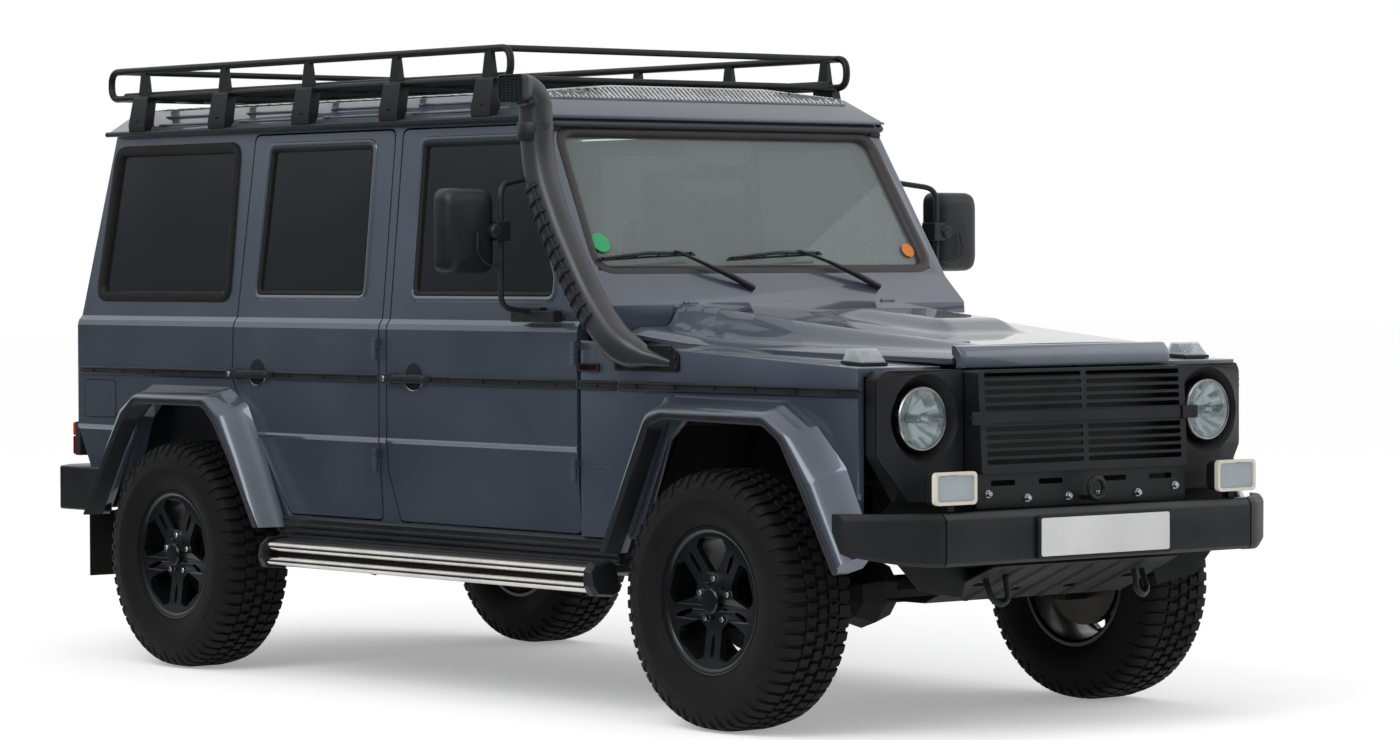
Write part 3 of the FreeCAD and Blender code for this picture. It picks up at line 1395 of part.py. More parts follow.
def nose():
    """Lamp surrounds on either side of the grille's opening, each with a cone round its headlamp."""
    panel = prism("nose_block", "XY", [
        ("wing_front + fit_gap", "-nose_outer"),
        ("wing_front + fit_gap", "nose_outer"),
        ("nose_face - nose_chamfer", "nose_outer"),
        ("nose_face", "nose_outer - nose_chamfer"),
        ("nose_face", "-nose_outer + nose_chamfer"),
        ("nose_face - nose_chamfer", "-nose_outer"),
    ], "nose_base_z", "nose_top_z")
    side = [
        ("nose_outer", "nose_corner_z"),
        ("nose_outer", "nose_top_z - nose_chamfer"),
        ("nose_outer - nose_chamfer", "nose_top_z"),
    ]
    foot = ("nose_outer - nose_corner", "nose_base_z")
    right = [foot] + side
    left = [("-(%s)" % across, up) for across, up in reversed(right)]
    face = prism("nose_face_outline", "YZ", right + left, "wing_front", "nose_face + 1")
    way = box("grille_way", ("wing_front - 10", "nose_face + 10"),
              ("-grille_y - fit_gap", "grille_y + fit_gap"), ("grille_base_z - fit_gap", "nose_top_z + 10"))
    pockets = []
    for name, sign in (("right", -1), ("left", 1)):
        start = size("lamp_back") - size("nose_chamfer")
        depth = size("nose_face") - start
        pocket = size("lamp_radius") + size("fit_gap")
        cone = [(0, pocket), (depth - size("nose_chamfer"), pocket), (depth + 1, size("lamp_cone"))]
        centre = Vector(start, sign * size("lamp_y"), size("lamp_z"))
        pockets.append(shaped("lamp_pocket_" + name, turned_shape(centre, AXES["x"], cone, LAMP_SIDES)))
    subpart("nose_panel", cut("nose_solid", common("nose_trimmed", panel, face), way, *pockets))


def grille():
    """Pressed frame, hollow behind, with two groups of slots parted by a proud band and an upright."""
    frame_block = prism("grille_block", "XZ", [
        ("grille_face - grille_depth", "grille_base_z"),
        ("grille_face", "grille_base_z"),
        ("grille_face - grille_lean", "grille_top_z"),
        ("grille_face - grille_depth", "grille_top_z"),
    ], "-grille_y", "grille_y")
    hollow = prism("grille_hollow", "XZ", [
        ("grille_face - grille_depth - 1", "grille_base_z + grille_sheet"),
        ("grille_face - grille_sheet", "grille_base_z + grille_sheet"),
        ("grille_face - grille_lean - grille_sheet", "grille_top_z - grille_sheet"),
        ("grille_face - grille_depth - 1", "grille_top_z - grille_sheet"),
    ], "grille_sheet - grille_y", "grille_y - grille_sheet")
    slots = []
    for part, foot in (("low", "grille_low_z"), ("high", "grille_high_z")):
        for row in range(int(size("grille_rows"))):
            level = "%s + %d*grille_pitch" % (foot, row)
            for side, (near, far) in {"left": ("grille_post", "grille_y - grille_side"),
                                      "right": ("grille_side - grille_y", "-grille_post")}.items():
                slots.append(box("grille_slot_%s_%s%d" % (part, side, row),
                                 ("grille_face - grille_lean - 2*grille_sheet", "grille_face + 1"),
                                 (near, far), (level, "%s + grille_slot" % level)))
    band = box("grille_band", ("grille_face - 2*grille_sheet", "grille_face + grille_band_rise - grille_lean/2"),
               ("-grille_y", "grille_y"), ("grille_band_low", "grille_band_high"))
    clips = []
    for side, (near, far) in {"left": ("grille_y - grille_clip/2", "grille_y + grille_clip"),
                              "right": ("-grille_y - grille_clip", "grille_clip/2 - grille_y")}.items():
        clips.append(box("grille_clip_" + side, ("nose_face + fit_gap", "grille_face + grille_band_rise"),
                         (near, far), ("grille_band_low - 4", "grille_band_high + 4")))
    bars = cut("grille_bars", cut("grille_frame", frame_block, hollow), fuse("grille_slots", *slots))
    subpart("grille", fuse("grille_solid", bars, band, *clips))


def front_bumper():
    """Pressed beam with a chamfered top edge and swept ends cut off aslant beside the flares."""
    right = [
        ("bumper_face", "-bumper_y"),
        ("bumper_knee", "-bumper_knee_y"),
        ("bumper_wing", "-bumper_wing_y"),
        ("bumper_end", "-bumper_end_y"),
        ("bumper_end", "bumper_sheet - bumper_end_y"),
        ("bumper_wing - bumper_sheet", "bumper_sheet - bumper_wing_y"),
        ("bumper_face - bumper_depth", "bumper_sheet - bumper_knee_y"),
    ]
    left = [(along, "-(%s)" % across) for along, across in reversed(right)]
    beam = prism("front_bumper_beam", "XY", right + left, "bumper_base_z", "bumper_top_z")
    rake = prism("bumper_rake_cut", "XZ", [
        ("bumper_end - 1", "bumper_base_z - 1"),
        ("bumper_end + bumper_rake", "bumper_base_z - 1"),
        ("bumper_end - 1", "bumper_top_z"),
    ], "-bumper_end_y - 1", "bumper_end_y + 1")
    edge = prism("bumper_edge_cut", "XZ", [
        ("bumper_face - bumper_chamfer", "bumper_top_z + 1"),
        ("bumper_face + 1", "bumper_top_z - bumper_chamfer"),
        ("bumper_face + 1", "bumper_top_z + 1"),
    ], "-bumper_end_y", "bumper_end_y")
    subpart("front_bumper", cut("front_bumper_solid", beam, rake, edge))


def skid_plate():
    """Guard under the nose, folded back below the axle and held by two straps from the rails."""
    plate = prism("skid_profile", "XZ", [
        ("bumper_face - 60", "bumper_base_z - fit_gap"),
        ("bumper_face - 60", "bumper_base_z - 10"),
        ("skid_bend", "skid_z"),
        ("skid_rear", "skid_z"),
        ("skid_rear", "skid_z + 5"),
        ("skid_bend - 1", "skid_z + 5"),
        ("bumper_face - 110", "bumper_base_z - 25"),
        ("bumper_face - 110", "bumper_base_z - fit_gap"),
    ], "-skid_y", "skid_y")
    strap = box("skid_strap", ("skid_rear", "skid_rear + 40"), ("-rail_y - 25", "-rail_y + 25"),
                ("skid_z + 4", "rail_z - fit_gap"))
    subpart("skid_plate", fuse("skid_solid", plate, strap, mirrored("skid_strap_left", strap)))


def rear_bumper():
    plan = [
        ("rear_bumper_face", "-rear_bumper_y + 90"),
        ("rear_bumper_face + 80", "-rear_bumper_y"),
        ("rear_bumper_end", "-rear_bumper_y"),
        ("rear_bumper_end", "-rear_bumper_y + 30"),
        ("tail - 2", "-floor_y - 6"),
        ("tail - 2", "floor_y + 6"),
        ("rear_bumper_end", "rear_bumper_y - 30"),
        ("rear_bumper_end", "rear_bumper_y"),
        ("rear_bumper_face + 80", "rear_bumper_y"),
        ("rear_bumper_face", "rear_bumper_y - 90"),
    ]
    subpart("rear_bumper", prism("rear_bumper_beam", "XY", plan, "rear_bumper_base_z", "rear_bumper_top_z - fit_gap"))


def flare_rings(arch, front):
    """Sections of a right-hand flare along its arch: a flat band with a lip, and a hollow slope."""
    middle, half_top, half_bend, half_low = [size(name) if name in DIMENSIONS else -size("wheelbase") for name in arch]
    top = size("arch_top_z")
    bend = size("arch_bend_z")
    foot = size("flare_foot_z")
    slope = (bend - foot) / (half_low - half_bend)
    low = foot + 0.55 * (bend - foot)
    shape = [(half_low, foot, 1, 0), (half_bend + (bend - low) / slope, low, 1, 0.35), (half_bend, bend, 1, 0.7),
             (half_top, top, 0.4, 1)]
    stations = [(-1, station) for station in shape] + [(1, station) for station in reversed(shape)]
    section = [
        (0, size("flare_y") - size("flare_inset")),
        (size("flare_edge"), size("flare_y")),
        (size("flare_band"), size("flare_y")),
        (size("flare_band") + size("flare_edge") * 2, size("flare_y") - size("flare_lip")),
        (size("flare_band") + 0.35 * (size("flare_root") - size("flare_band")) + size("flare_lip"), size("flare_hollow_y")),
        (size("flare_root") + size("flare_lip"), size("side_y") + size("fit_gap") + 2),
        (size("flare_root") + size("flare_lip"), size("side_y") + size("fit_gap")),
        (0, size("side_y") + size("fit_gap")),
    ]
    rings = []
    for way, (reach, level, out, up) in stations:
        ring = []
        for grow, depth in section:
            spread = grow * (1.6 if front and way > 0 and up < 1 else 1) if grow > size("flare_band") else grow
            ring.append(Vector(middle + way * (reach + spread * out), -depth, level + grow * up))
        rings.append(ring)
    return rings


def arch_trim():
    """Angular flares round the four wheel openings, and the flaps behind the rear wheels."""
    parts = []
    for end, arch in (("front", FRONT_ARCH), ("rear", REAR_ARCH)):
        whole = shaped(end + "_flare_whole", faceted_shape(flare_rings(arch, end == "front")))
        if end == "front":
            trim = prism("front_flare_trim", "XZ", [
                ("bumper_end + bumper_rake - fit_gap*2", "flare_foot_z - 20"),
                ("bumper_end - fit_gap*2 - 1", "bumper_top_z + fit_gap"),
                ("bumper_end + 400", "bumper_top_z + fit_gap"),
                ("bumper_end + 400", "flare_foot_z - 20"),
            ], "-side_y - 200", "-side_y + 20")
        else:
            trim = box("rear_flare_trim", ("rear_bumper_end - 200", "rear_bumper_end + fit_gap"),
                       ("-side_y - 200", "-side_y + 20"), ("flare_foot_z - 10", "rear_bumper_top_z"))
        flare = cut(end + "_flare", whole, trim)
        parts += [flare, mirrored(end + "_flare_left", flare)]
    subpart("arch_flares", group("flare_group", *parts))
    flap = box("mud_flap", ("flap_x - 8", "flap_x"), ("-rear_bumper_y + 6", "-rear_bumper_y + 226"),
               ("flap_z", "rear_bumper_base_z - fit_gap"))
    subpart("mud_flaps", pair("flap_pair", flap))


def side_steps():
    """Board with a rounded face, two long tubes and angled end caps, on brackets from the frame."""
    board = box("step_board", ("step_rear + 40", "step_front - 40"), ("-step_y + 34", "-step_inner_y"),
                ("step_base_z + 10", "step_top_z"))
    caps = []
    for number, (start, end) in enumerate((("step_rear", "step_rear + 40"), ("step_front - 40", "step_front"))):
        caps.append(box("step_cap%d" % number, (start, end), ("-step_y - 6", "-step_inner_y"), ("step_base_z", "step_top_z + 8")))
    tubes = [bar("step_tube%d" % number, "x", ("step_rear + 39", "-step_y + step_tube", level), "step_tube",
                 "step_front - step_rear - 78")
             for number, level in enumerate(("step_top_z - step_tube - 2", "step_base_z + step_tube + 6"))]
    arms = []
    for number, station in enumerate(("step_rear + 150", "(step_rear + step_front)/2", "step_front - 250")):
        run = (station, "%s + 60" % station)
        arms.append(box("step_arm%d" % number, run, ("-step_inner_y - 1", "-rail_y + 20"),
                        ("step_top_z - 40", "sill_z - 1")))
        arms.append(box("step_shoe%d" % number, run, ("-rail_y - 20", "-rail_y + 20"),
                        ("sill_z - 2", "rail_z - fit_gap")))
    subpart("side_steps", pair("step_pair", fuse("step_solid", board, *caps, *tubes, *arms)))


# Fittings

def rack_foot(station, side):
    """Foot that stands on the drip rail and tapers up to the rack's lower rail."""
    half = size("foot_width") / 2
    neck = size("foot_neck") / 2
    depth = size("rack_post_depth") / 2 + 1
    base = size("gutter_z") + 10 + size("fit_gap")
    low = size("gutter_y") + size("fit_gap")
    levels = (
        (base, half, low, low + size("gutter_lip")),
        (base + size("foot_step"), half, low - 2, low + size("gutter_lip")),
        (size("rack_base_z") - 4, neck, size("rack_y") - depth, size("rack_y") + depth),
    )
    rings = []
    for level, reach, near, far in levels:
        corners = [(-reach, near), (reach, near), (reach, far), (-reach, far)]
        rings.append([Vector(station + along, side * across, level) for along, across in corners])
    return faceted_shape(rings)


def roof_rack():
    """Two looped side rails on tapered posts and gutter feet, joined by cross bars and slats."""
    radius = size("rack_tube")
    half = size("rack_y")
    front = size("rack_front")
    rear = size("rack_rear")
    high = size("rack_top_z")
    low = size("rack_base_z")
    inset = size("rack_bend") + radius / 2
    parts = []
    for side in (-1, 1):
        corners = [Vector(front, side * half, low), Vector(front, side * half, high),
                   Vector(rear, side * half, high), Vector(rear, side * half, low)]
        parts.append(tube_shape(corners, radius, size("rack_bend"), 6, 3, True))
    pitch = (size("foot_front") - size("foot_rear")) / (size("foot_count") - 1)
    stations = [size("foot_rear") + number * pitch for number in range(int(size("foot_count")))]
    bars = [(station, low) for station in stations]
    bars += [(front - inset, high), (rear + inset, high), (rear + inset, low)]
    for station, level in bars:
        parts.append(rod_shape(Vector(station, -half, level), Vector(station, half, level), radius, 4))
    for station in stations:
        for side in (-1, 1):
            reach = size("rack_post") / 2
            depth = size("rack_post_depth") / 2
            rings = []
            for level, width in ((low - radius, reach), (high, reach * 0.7)):
                rings.append([Vector(station + along * width, side * half + across * depth, level)
                              for along, across in ((-1, -1), (1, -1), (1, 1), (-1, 1))])
            parts += [rack_foot(station, side), faceted_shape(rings)]
    for number in range(1, int(size("slat_count")) + 1):
        across = -half + 2 * half * number / (size("slat_count") + 1)
        parts.append(rod_shape(Vector(rear + inset, across, low), Vector(front - inset, across, low),
                               size("rack_slat_tube"), 4))
    subpart("roof_rack", shaped("rack_solid", parts[0].fuse(parts[1:]).removeSplitter()))


def snorkel():
    """Air intake: base plate on the wing, a pipe along the screen post and a ram head."""
    across = -size("snorkel_y")
    radius = size("snorkel_radius")
    points = [
        Vector(-330, across, 1086),
        Vector(-470, across, 1118),
        Vector(-600, across, 1236),
        Vector(-765, across, 1472),
        Vector(-862, across, 1660),
        Vector(-873, across, 1910),
    ]
    pipe = tube_shape(points, radius, 120)
    head = rod_shape(Vector(-873, across, 1895), Vector(-1010, across, 1895), radius)
    head = head.fuse(Part.makeBox(70, 110, 96, Vector(-1068, across - 55, 1852)))
    foot = Part.makeBox(300, -across - size("side_y"), 76, Vector(-522, across, 1048))
    collar = rod_shape(Vector(-873, across, 1748), Vector(-873, across, 1802), radius + 4)
    stay = Part.makeBox(20, 54, 24, Vector(-950, -760.4, 1688)).fuse(
        Part.makeBox(80, 12, 24, Vector(-950, -764, 1688)))
    beside_wing = Part.makeBox(700, 100, 400, Vector(-640, -size("side_y") - size("fit_gap"), 745))
    solid = pipe.fuse([head, foot, collar, stay]).cut(beside_wing)
    subpart("snorkel", shaped("snorkel_solid", solid))


def mirrors():
    """Tall mirrors on cranked tube arms from the front doors."""
    x = size("mirror_x")
    out = -size("mirror_arm_y")
    skin = -size("side_y")
    arm = tube_shape([
        Vector(x - 70, -715, 1640),
        Vector(x, out, 1610),
        Vector(x, out, 1240),
        Vector(x, skin - 12, 1225),
    ], 9, 40, 6)
    block = Part.makeBox(180, 40, 38, Vector(x - 110, -size("shoulder_y") - 40.3, size("belt_z") + size("shoulder_rise") + 1))
    shell = Part.makeBox(70, 200, 264, Vector(x - 85, out - 205, 1338))
    clamp = Part.makeBox(60, 50, 60, Vector(x - 45, out - 25, 1440))
    solid = shaped("mirror_solid", arm.fuse([block, shell, clamp]))
    subpart("mirror_right", solid)
    subpart("mirror_left", mirrored("mirror_left_solid", solid))


def lamps():
    """Headlamps in their pockets, indicators on the wings, extra lamps and rear lamps."""
    reach = size("nose_face") - size("lamp_back")
    radius = size("lamp_radius")
    dome = [(0, radius * 0.7), (reach * 0.5, radius), (reach - 4, radius), (reach + size("lamp_dome"), radius * 0.4)]
    centre = Vector(size("lamp_back"), -size("lamp_y"), size("lamp_z"))
    head = shaped("headlamp_bowl", turned_shape(centre, AXES["x"], dome, LAMP_SIDES))
    subpart("headlamps", pair("headlamp_pair", head))
    fall = "(wing_top_rear - wing_top_front)/(wing_front - wing_rear)"
    turn = prism("indicator", "XZ", [
        ("wing_front - 136", "wing_top_front + 136*%s + fit_gap" % fall),
        ("wing_front - 118", "wing_top_front + 52"),
        ("wing_front - 88", "wing_top_front + 52"),
        ("wing_front - 50", "wing_top_front + 50*%s + fit_gap" % fall),
    ], "-708", "-608")
    extra = box("extra_lamp", ("bumper_face - 90", "bumper_face - 20"), ("-652", "-490"),
                ("bumper_top_z + fit_gap", "bumper_top_z + 116"))
    rear = box("rear_lamp", ("tail - 54", "tail - fit_gap"), ("-side_y + 8", "-side_y + 100"), ("700", "815"))
    lamps_list = []
    for item in (turn, extra, rear):
        lamps_list += [item, mirrored(item.Name + "_left", item)]
    subpart("marker_lamps", group("lamp_group", *lamps_list))


def cabin():
    """Seats as plain cushions, the dashboard and the steering wheel on its column."""
    def seat(name, front, low, high):
        top = "floor_z + floor_sheet"
        return prism(name, "XZ", [
            (front, top),
            (front, "%s + 300" % top),
            ("%s - 470" % front, "%s + 280" % top),
            ("%s - 560" % front, "%s + 900" % top),
            ("%s - 660" % front, "%s + 890" % top),
            ("%s - 590" % front, top),
        ], low, high)
    driver = seat("driver_seat", "seat_front", "190", "670")
    passenger = seat("passenger_seat", "seat_front", "-670", "-190")
    bench = seat("rear_bench", "seat_rear", "-560", "560")
    subpart("seats", group("seat_group", driver, passenger, bench))
    block = prism("dash_block", "XZ", [
        ("firewall - floor_sheet - 1", "880"),
        ("firewall - floor_sheet - 1", "bulkhead_z + 5"),
        ("scuttle_front - 2", "bulkhead_z + 5"),
        ("scuttle_front - 2", "scuttle_base_z - fit_gap"),
        ("door_front", "scuttle_base_z - fit_gap"),
        ("door_front", "post_foot_z + 10"),
        ("firewall - 250", "post_foot_z + 18"),
        ("firewall - 330", "1130"),
        ("firewall - 300", "930"),
    ], "-dash_y", "dash_y")
    hub = Vector(size("firewall") - 470, 370, 1120)
    tilt = Vector(-0.9, 0, 0.44)
    tilt.normalize()
    level = AXES["y"]
    rings = []
    for step in range(16):
        turn = 2 * math.pi * step / 16
        out = level * math.cos(turn) + tilt.cross(level) * math.sin(turn)
        rings.append(regular(hub + out * 185, out, tilt, 14, 4))
    ring = faceted_shape(rings, True)
    column = rod_shape(hub + tilt * 5, hub - tilt * 170, 30)
    spokes = [rod_shape(hub, hub + Vector(0, side * 185, 0), 10, 4) for side in (-1, 1)]
    subpart("steering_wheel", shaped("steering_solid", ring.fuse([column] + spokes)))
    hole = shaped("column_hole", rod_shape(hub, hub - tilt * 180, 30 + size("fit_gap")))
    subpart("dashboard", cut("dash_solid", block, hole))


def check_and_write():
    """Stop on any failed object, then write one file for each sub-part."""
    DOC.recompute()
    for item in DOC.Objects:
        if "Invalid" in item.State or "Error" in item.State:
            raise RuntimeError("%s: %s" % (item.Name, item.State))
    for item in SUBPARTS:
        if item.Shape.isNull() or not item.Shape.isValid() or not item.Shape.Solids:
            raise RuntimeError("bad shape: " + item.Label)
    os.makedirs("parts", exist_ok=True)
    for item in SUBPARTS:
        item.Shape.exportStep("parts/%s.step" % item.Label)


def main():
    fill_sheet()
    wheels()
    axles()
    springs()
    frame()
    drive()
    floor()
    body_sides()
    rear_end()
    barrels, bores, carried = hood_hinges()
    windscreen(carried)
    roof()
    doors()
    hood(barrels, bores)
    right_wing = wing()
    subpart("wing_right", right_wing)
    subpart("wing_left", mirrored("wing_left_solid", right_wing))
    nose()
    grille()
    front_bumper()
    skid_plate()
    rear_bumper()
    arch_trim()
    side_steps()
    roof_rack()
    snorkel()
    mirrors()
    lamps()
    cabin()
    check_and_write()


main()
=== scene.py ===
import json
from math import copysign, cos, exp, hypot, pi, radians, sin, sqrt, tan

import bmesh
import bpy
from mathutils import Matrix, Vector

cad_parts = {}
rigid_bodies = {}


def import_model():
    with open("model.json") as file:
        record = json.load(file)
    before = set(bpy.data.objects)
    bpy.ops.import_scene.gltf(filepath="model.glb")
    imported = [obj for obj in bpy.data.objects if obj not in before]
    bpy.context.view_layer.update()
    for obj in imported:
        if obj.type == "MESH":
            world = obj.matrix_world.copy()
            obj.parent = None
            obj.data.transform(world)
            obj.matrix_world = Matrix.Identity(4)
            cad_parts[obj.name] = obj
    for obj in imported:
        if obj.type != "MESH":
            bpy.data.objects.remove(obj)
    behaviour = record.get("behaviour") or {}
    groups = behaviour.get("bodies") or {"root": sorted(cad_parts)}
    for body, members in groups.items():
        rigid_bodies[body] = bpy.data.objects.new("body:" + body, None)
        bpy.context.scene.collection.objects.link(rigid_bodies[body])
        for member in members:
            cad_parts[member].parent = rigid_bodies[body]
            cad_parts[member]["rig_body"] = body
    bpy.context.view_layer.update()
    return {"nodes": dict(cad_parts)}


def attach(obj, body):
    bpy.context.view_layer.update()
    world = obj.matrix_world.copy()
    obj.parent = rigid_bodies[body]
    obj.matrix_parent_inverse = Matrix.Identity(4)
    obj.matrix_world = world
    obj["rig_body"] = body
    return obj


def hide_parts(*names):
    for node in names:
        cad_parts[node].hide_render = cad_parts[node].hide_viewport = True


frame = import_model()


# Chassis
# The ladder frame, axles, gearbox and tank are pressed, welded and cast steel under a brushed coat
# of black wax. They carry the springs and the body, and show only as dark shapes below it.

def linear(colour):
    """The shader's linear colour for an sRGB hex value."""
    values = [int(colour[place:place + 2], 16) / 255 for place in (1, 3, 5)]
    return [v / 12.92 if v < 0.04045 else ((v + 0.055) / 1.055) ** 2.4 for v in values] + [1]


def add(tree, kind, settings=None, links=None):
    """One node with its settings, its colour stops and the sockets that feed it."""
    node = tree.nodes.new(kind)
    for name, value in (settings or {}).items():
        if name == "stops":
            for number, (place, colour) in enumerate(value):
                stops = node.color_ramp.elements
                stop = stops[number] if number < 2 else stops.new(place)
                stop.position = place
                stop.color = linear(colour)
        elif isinstance(name, int) or name in node.inputs:
            node.inputs[name].default_value = value
        else:
            setattr(node, name, value)
    for name, source in (links or {}).items():
        tree.links.new(source, node.inputs[name])
    return node


def started(name):
    """An empty material, its node tree and the object's own coordinates."""
    made = bpy.data.materials.new(name)
    made.use_nodes = True
    tree = made.node_tree
    tree.nodes.clear()
    return made, tree, add(tree, "ShaderNodeTexCoord").outputs["Object"]


def surface(name, colours, rough, grain, relief, **settings):
    """A finish whose tone, roughness and relief follow a grain of a real size in millimetres."""
    made, tree, place = started(name)
    fine = add(tree, "ShaderNodeTexNoise", {"Scale": 1000 / grain, "Detail": 2}, {"Vector": place})
    broad = add(tree, "ShaderNodeTexNoise", {"Scale": 5, "Detail": 3}, {"Vector": place})
    tone = add(tree, "ShaderNodeMath", {"operation": "MULTIPLY_ADD", 1: 0.4},
               {0: fine.outputs["Fac"], 2: broad.outputs["Fac"]})
    ramp = add(tree, "ShaderNodeValToRGB", {"stops": [(0.5, colours[0]), (0.9, colours[1])]},
               {"Fac": tone.outputs[0]})
    gloss = add(tree, "ShaderNodeMapRange",
                {"From Min": 0.3, "From Max": 0.7, "To Min": rough[0], "To Max": rough[1]},
                {"Value": broad.outputs["Fac"]})
    bump = add(tree, "ShaderNodeBump", {"Strength": 1.0, "Distance": relief / 1000},
               {"Height": fine.outputs["Fac"]})
    shader = add(tree, "ShaderNodeBsdfPrincipled",
                 {key.replace("_", " "): value for key, value in settings.items()},
                 {"Base Color": ramp.outputs["Color"], "Roughness": gloss.outputs["Result"],
                  "Normal": bump.outputs["Normal"]})
    add(tree, "ShaderNodeOutputMaterial", links={"Surface": shader.outputs["BSDF"]})
    return made


def dress(material, *names):
    """Give CAD nodes a finish."""
    for name in names:
        mesh = frame["nodes"][name].data
        mesh.materials.clear()
        mesh.materials.append(material)


# Chassis steel under wax: nearly black, with a dull sheen that changes where the brush ran.
waxed_steel = surface("waxed_chassis_steel", ("#0a0b0b", "#141516"), (0.5, 0.75), 6, 0.3,
                      Specular_IOR_Level=0.25)
# Cast iron: a sandy grey-brown skin of about 1 mm grain, drawn at 4 mm so that it shows.
cast_iron = surface("cast_iron_block", ("#2b2a28", "#3c3a36"), (0.6, 0.85), 4, 0.4, Metallic=0.6)
# Radiator core: finned aluminium painted black, dull.
finned_core = surface("painted_radiator_core", ("#101112", "#232425"), (0.5, 0.7), 3, 0.5)
# Aluminised steel pipe: pale grey that heat has tinted brown in patches.
pipe_steel = surface("aluminised_exhaust_steel", ("#4a4540", "#7b7874"), (0.35, 0.6), 8, 0.1, Metallic=1.0)
dress(waxed_steel, "ladder_frame", "front_axle", "rear_axle", "knuckle_left", "knuckle_right", "driveline",
      "fuel_tank")
dress(cast_iron, "engine_block")
dress(finned_core, "radiator")
dress(pipe_steel, "exhaust")


# Coil springs and dampers
# Each corner has a wound spring of painted steel wire between the axle and the frame, and a
# telescopic damper beside it: a plated rod in a painted tube under a pressed cover.
axle_x = 1556
wheelbase = 2850
spring_y = 465
spring_seat = 440


def linked(name, data):
    """An object for a mesh, a lamp or the camera, put into the scene."""
    made = bpy.data.objects.new(name, data)
    bpy.context.scene.collection.objects.link(made)
    return made


def bevelled(made, edge, smooth, steps=2):
    """Round an object's sharp edges by a width in millimetres."""
    soft = made.modifiers.new("edges", "BEVEL")
    soft.width = edge / 1000
    soft.segments = steps
    soft.limit_method = "ANGLE"
    soft.angle_limit = radians(smooth)
    soft.harden_normals = True


def piece(name, form, material, body="chassis", smooth=38, edge=0, steps=2):
    """A mesh in millimetres from the front axle's middle, riding on a body, with softened edges."""
    points, faces = form
    mesh = bpy.data.meshes.new(name)
    mesh.from_pydata([((x + axle_x) / 1000, y / 1000, z / 1000) for x, y, z in points], [], faces)
    work = bmesh.new()
    work.from_mesh(mesh)
    bmesh.ops.remove_doubles(work, verts=work.verts, dist=1e-5)
    bmesh.ops.recalc_face_normals(work, faces=work.faces)
    work.to_mesh(mesh)
    work.free()
    mesh.shade_smooth()
    mesh.set_sharp_from_angle(angle=radians(smooth))
    mesh.materials.append(material)
    made = linked(name, mesh)
    if edge:
        bevelled(made, edge, smooth, steps)
    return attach(made, body)


def lofted(rings, closed=False, capped=True):
    """Faces between rings of like count; closed joins the last ring to the first."""
    count = len(rings[0])
    points = [tuple(point) for ring in rings for point in ring]
    faces = []
    for number in range(len(rings) if closed else len(rings) - 1):
        here = number * count
        there = (number + 1) % len(rings) * count
        for corner in range(count):
            following = (corner + 1) % count
            faces.append((here + corner, here + following, there + following, there + corner))
    if capped and not closed:
        faces.append(tuple(range(count)))
        faces.append(tuple(range(len(points) - count, len(points))))
    return points, faces


def joined(*forms):
    """Several forms as one."""
    points, faces = [], []
    for more, sides in forms:
        start = len(points)
        points += more
        faces += [tuple(start + corner for corner in side) for side in sides]
    return points, faces


def placed(form, place):
    """A form with each of its points moved by a rule."""
    points, faces = form
    return [tuple(place(*point)) for point in points], faces


def mirrored(form):
    """A form's mirror image on the vehicle's other side."""
    return placed(form, lambda x, y, z: (x, -y, z))


def both(form):
    """A form together with its mirror image."""
    return joined(form, mirrored(form))


def turned(profile, centre, axis, steps=48, closed=False):
    """A profile of (along, radius) points turned about an axis through the centre."""
    rings = []
    for along, radius in profile:
        ring = []
        for step in range(steps):
            turn = 2 * pi * step / steps
            across, up = radius * cos(turn), radius * sin(turn)
            offset = {"x": (along, across, up), "y": (across, along, up), "z": (across, up, along)}[axis]
            ring.append([c + o for c, o in zip(centre, offset)])
        rings.append(ring)
    return lofted(rings, closed)


def swept(path, radius, sides=10, loop=False):
    """A round bar along a path; the radius may be one number or one for each point."""
    path = [Vector(point) for point in path]
    rings = []
    normal = None
    for number, point in enumerate(path):
        ahead = path[(number + 1) % len(path)] if loop or number < len(path) - 1 else point
        behind = path[number - 1] if loop or number else point
        along = (ahead - behind).normalized()
        normal = along.orthogonal() if normal is None else normal
        normal = (normal - along * normal.dot(along)).normalized()
        across = along.cross(normal)
        size = radius[number] if isinstance(radius, list) else radius
        turns = [2 * pi * side / sides for side in range(sides)]
        rings.append([point + (normal * cos(t) + across * sin(t)) * size for t in turns])
    return lofted(rings, loop)


def coil(x, y, top):
    """Spring wire wound in turns, flattened at both ends."""
    wire, radius, turns, per_turn, flat = 13, 48, 6, 16, 0.6
    path = []
    for step in range(turns * per_turn + 1):
        share = step / (turns * per_turn)
        climb = min(max((share * turns - flat) / (turns - 2 * flat), 0), 1)
        turn = 2 * pi * turns * share
        path.append((x + radius * cos(turn), y + radius * sin(turn),
                     spring_seat + 7 + (top - spring_seat - 14) * climb))
    return swept(path, wire / 2, 8)


def damper(x, y, top):
    """Eye, tube, rod and dust cover, turned about the upright axis."""
    profile = [(spring_seat, 0.5), (spring_seat, 16), (spring_seat + 14, 18), (spring_seat + 14, 24),
               (spring_seat + 90, 24), (spring_seat + 90, 8), (top - 70, 8), (top - 70, 25), (top - 10, 25),
               (top - 4, 14), (top, 14), (top, 0.5)]
    return turned(profile, (x, y, 0), "z", 24)


springs = []
dampers = []
for station, top, lead in ((0, 700, 105), (-wheelbase, 600, -105)):
    springs.append(coil(station, -spring_y, top))
    dampers.append(damper(station + lead, -spring_y, top))
# Spring steel, powder coated black: even satin with stone marks.
spring_paint = surface("powder_coated_spring_steel", ("#121314", "#202223"), (0.35, 0.5), 5, 0.15)
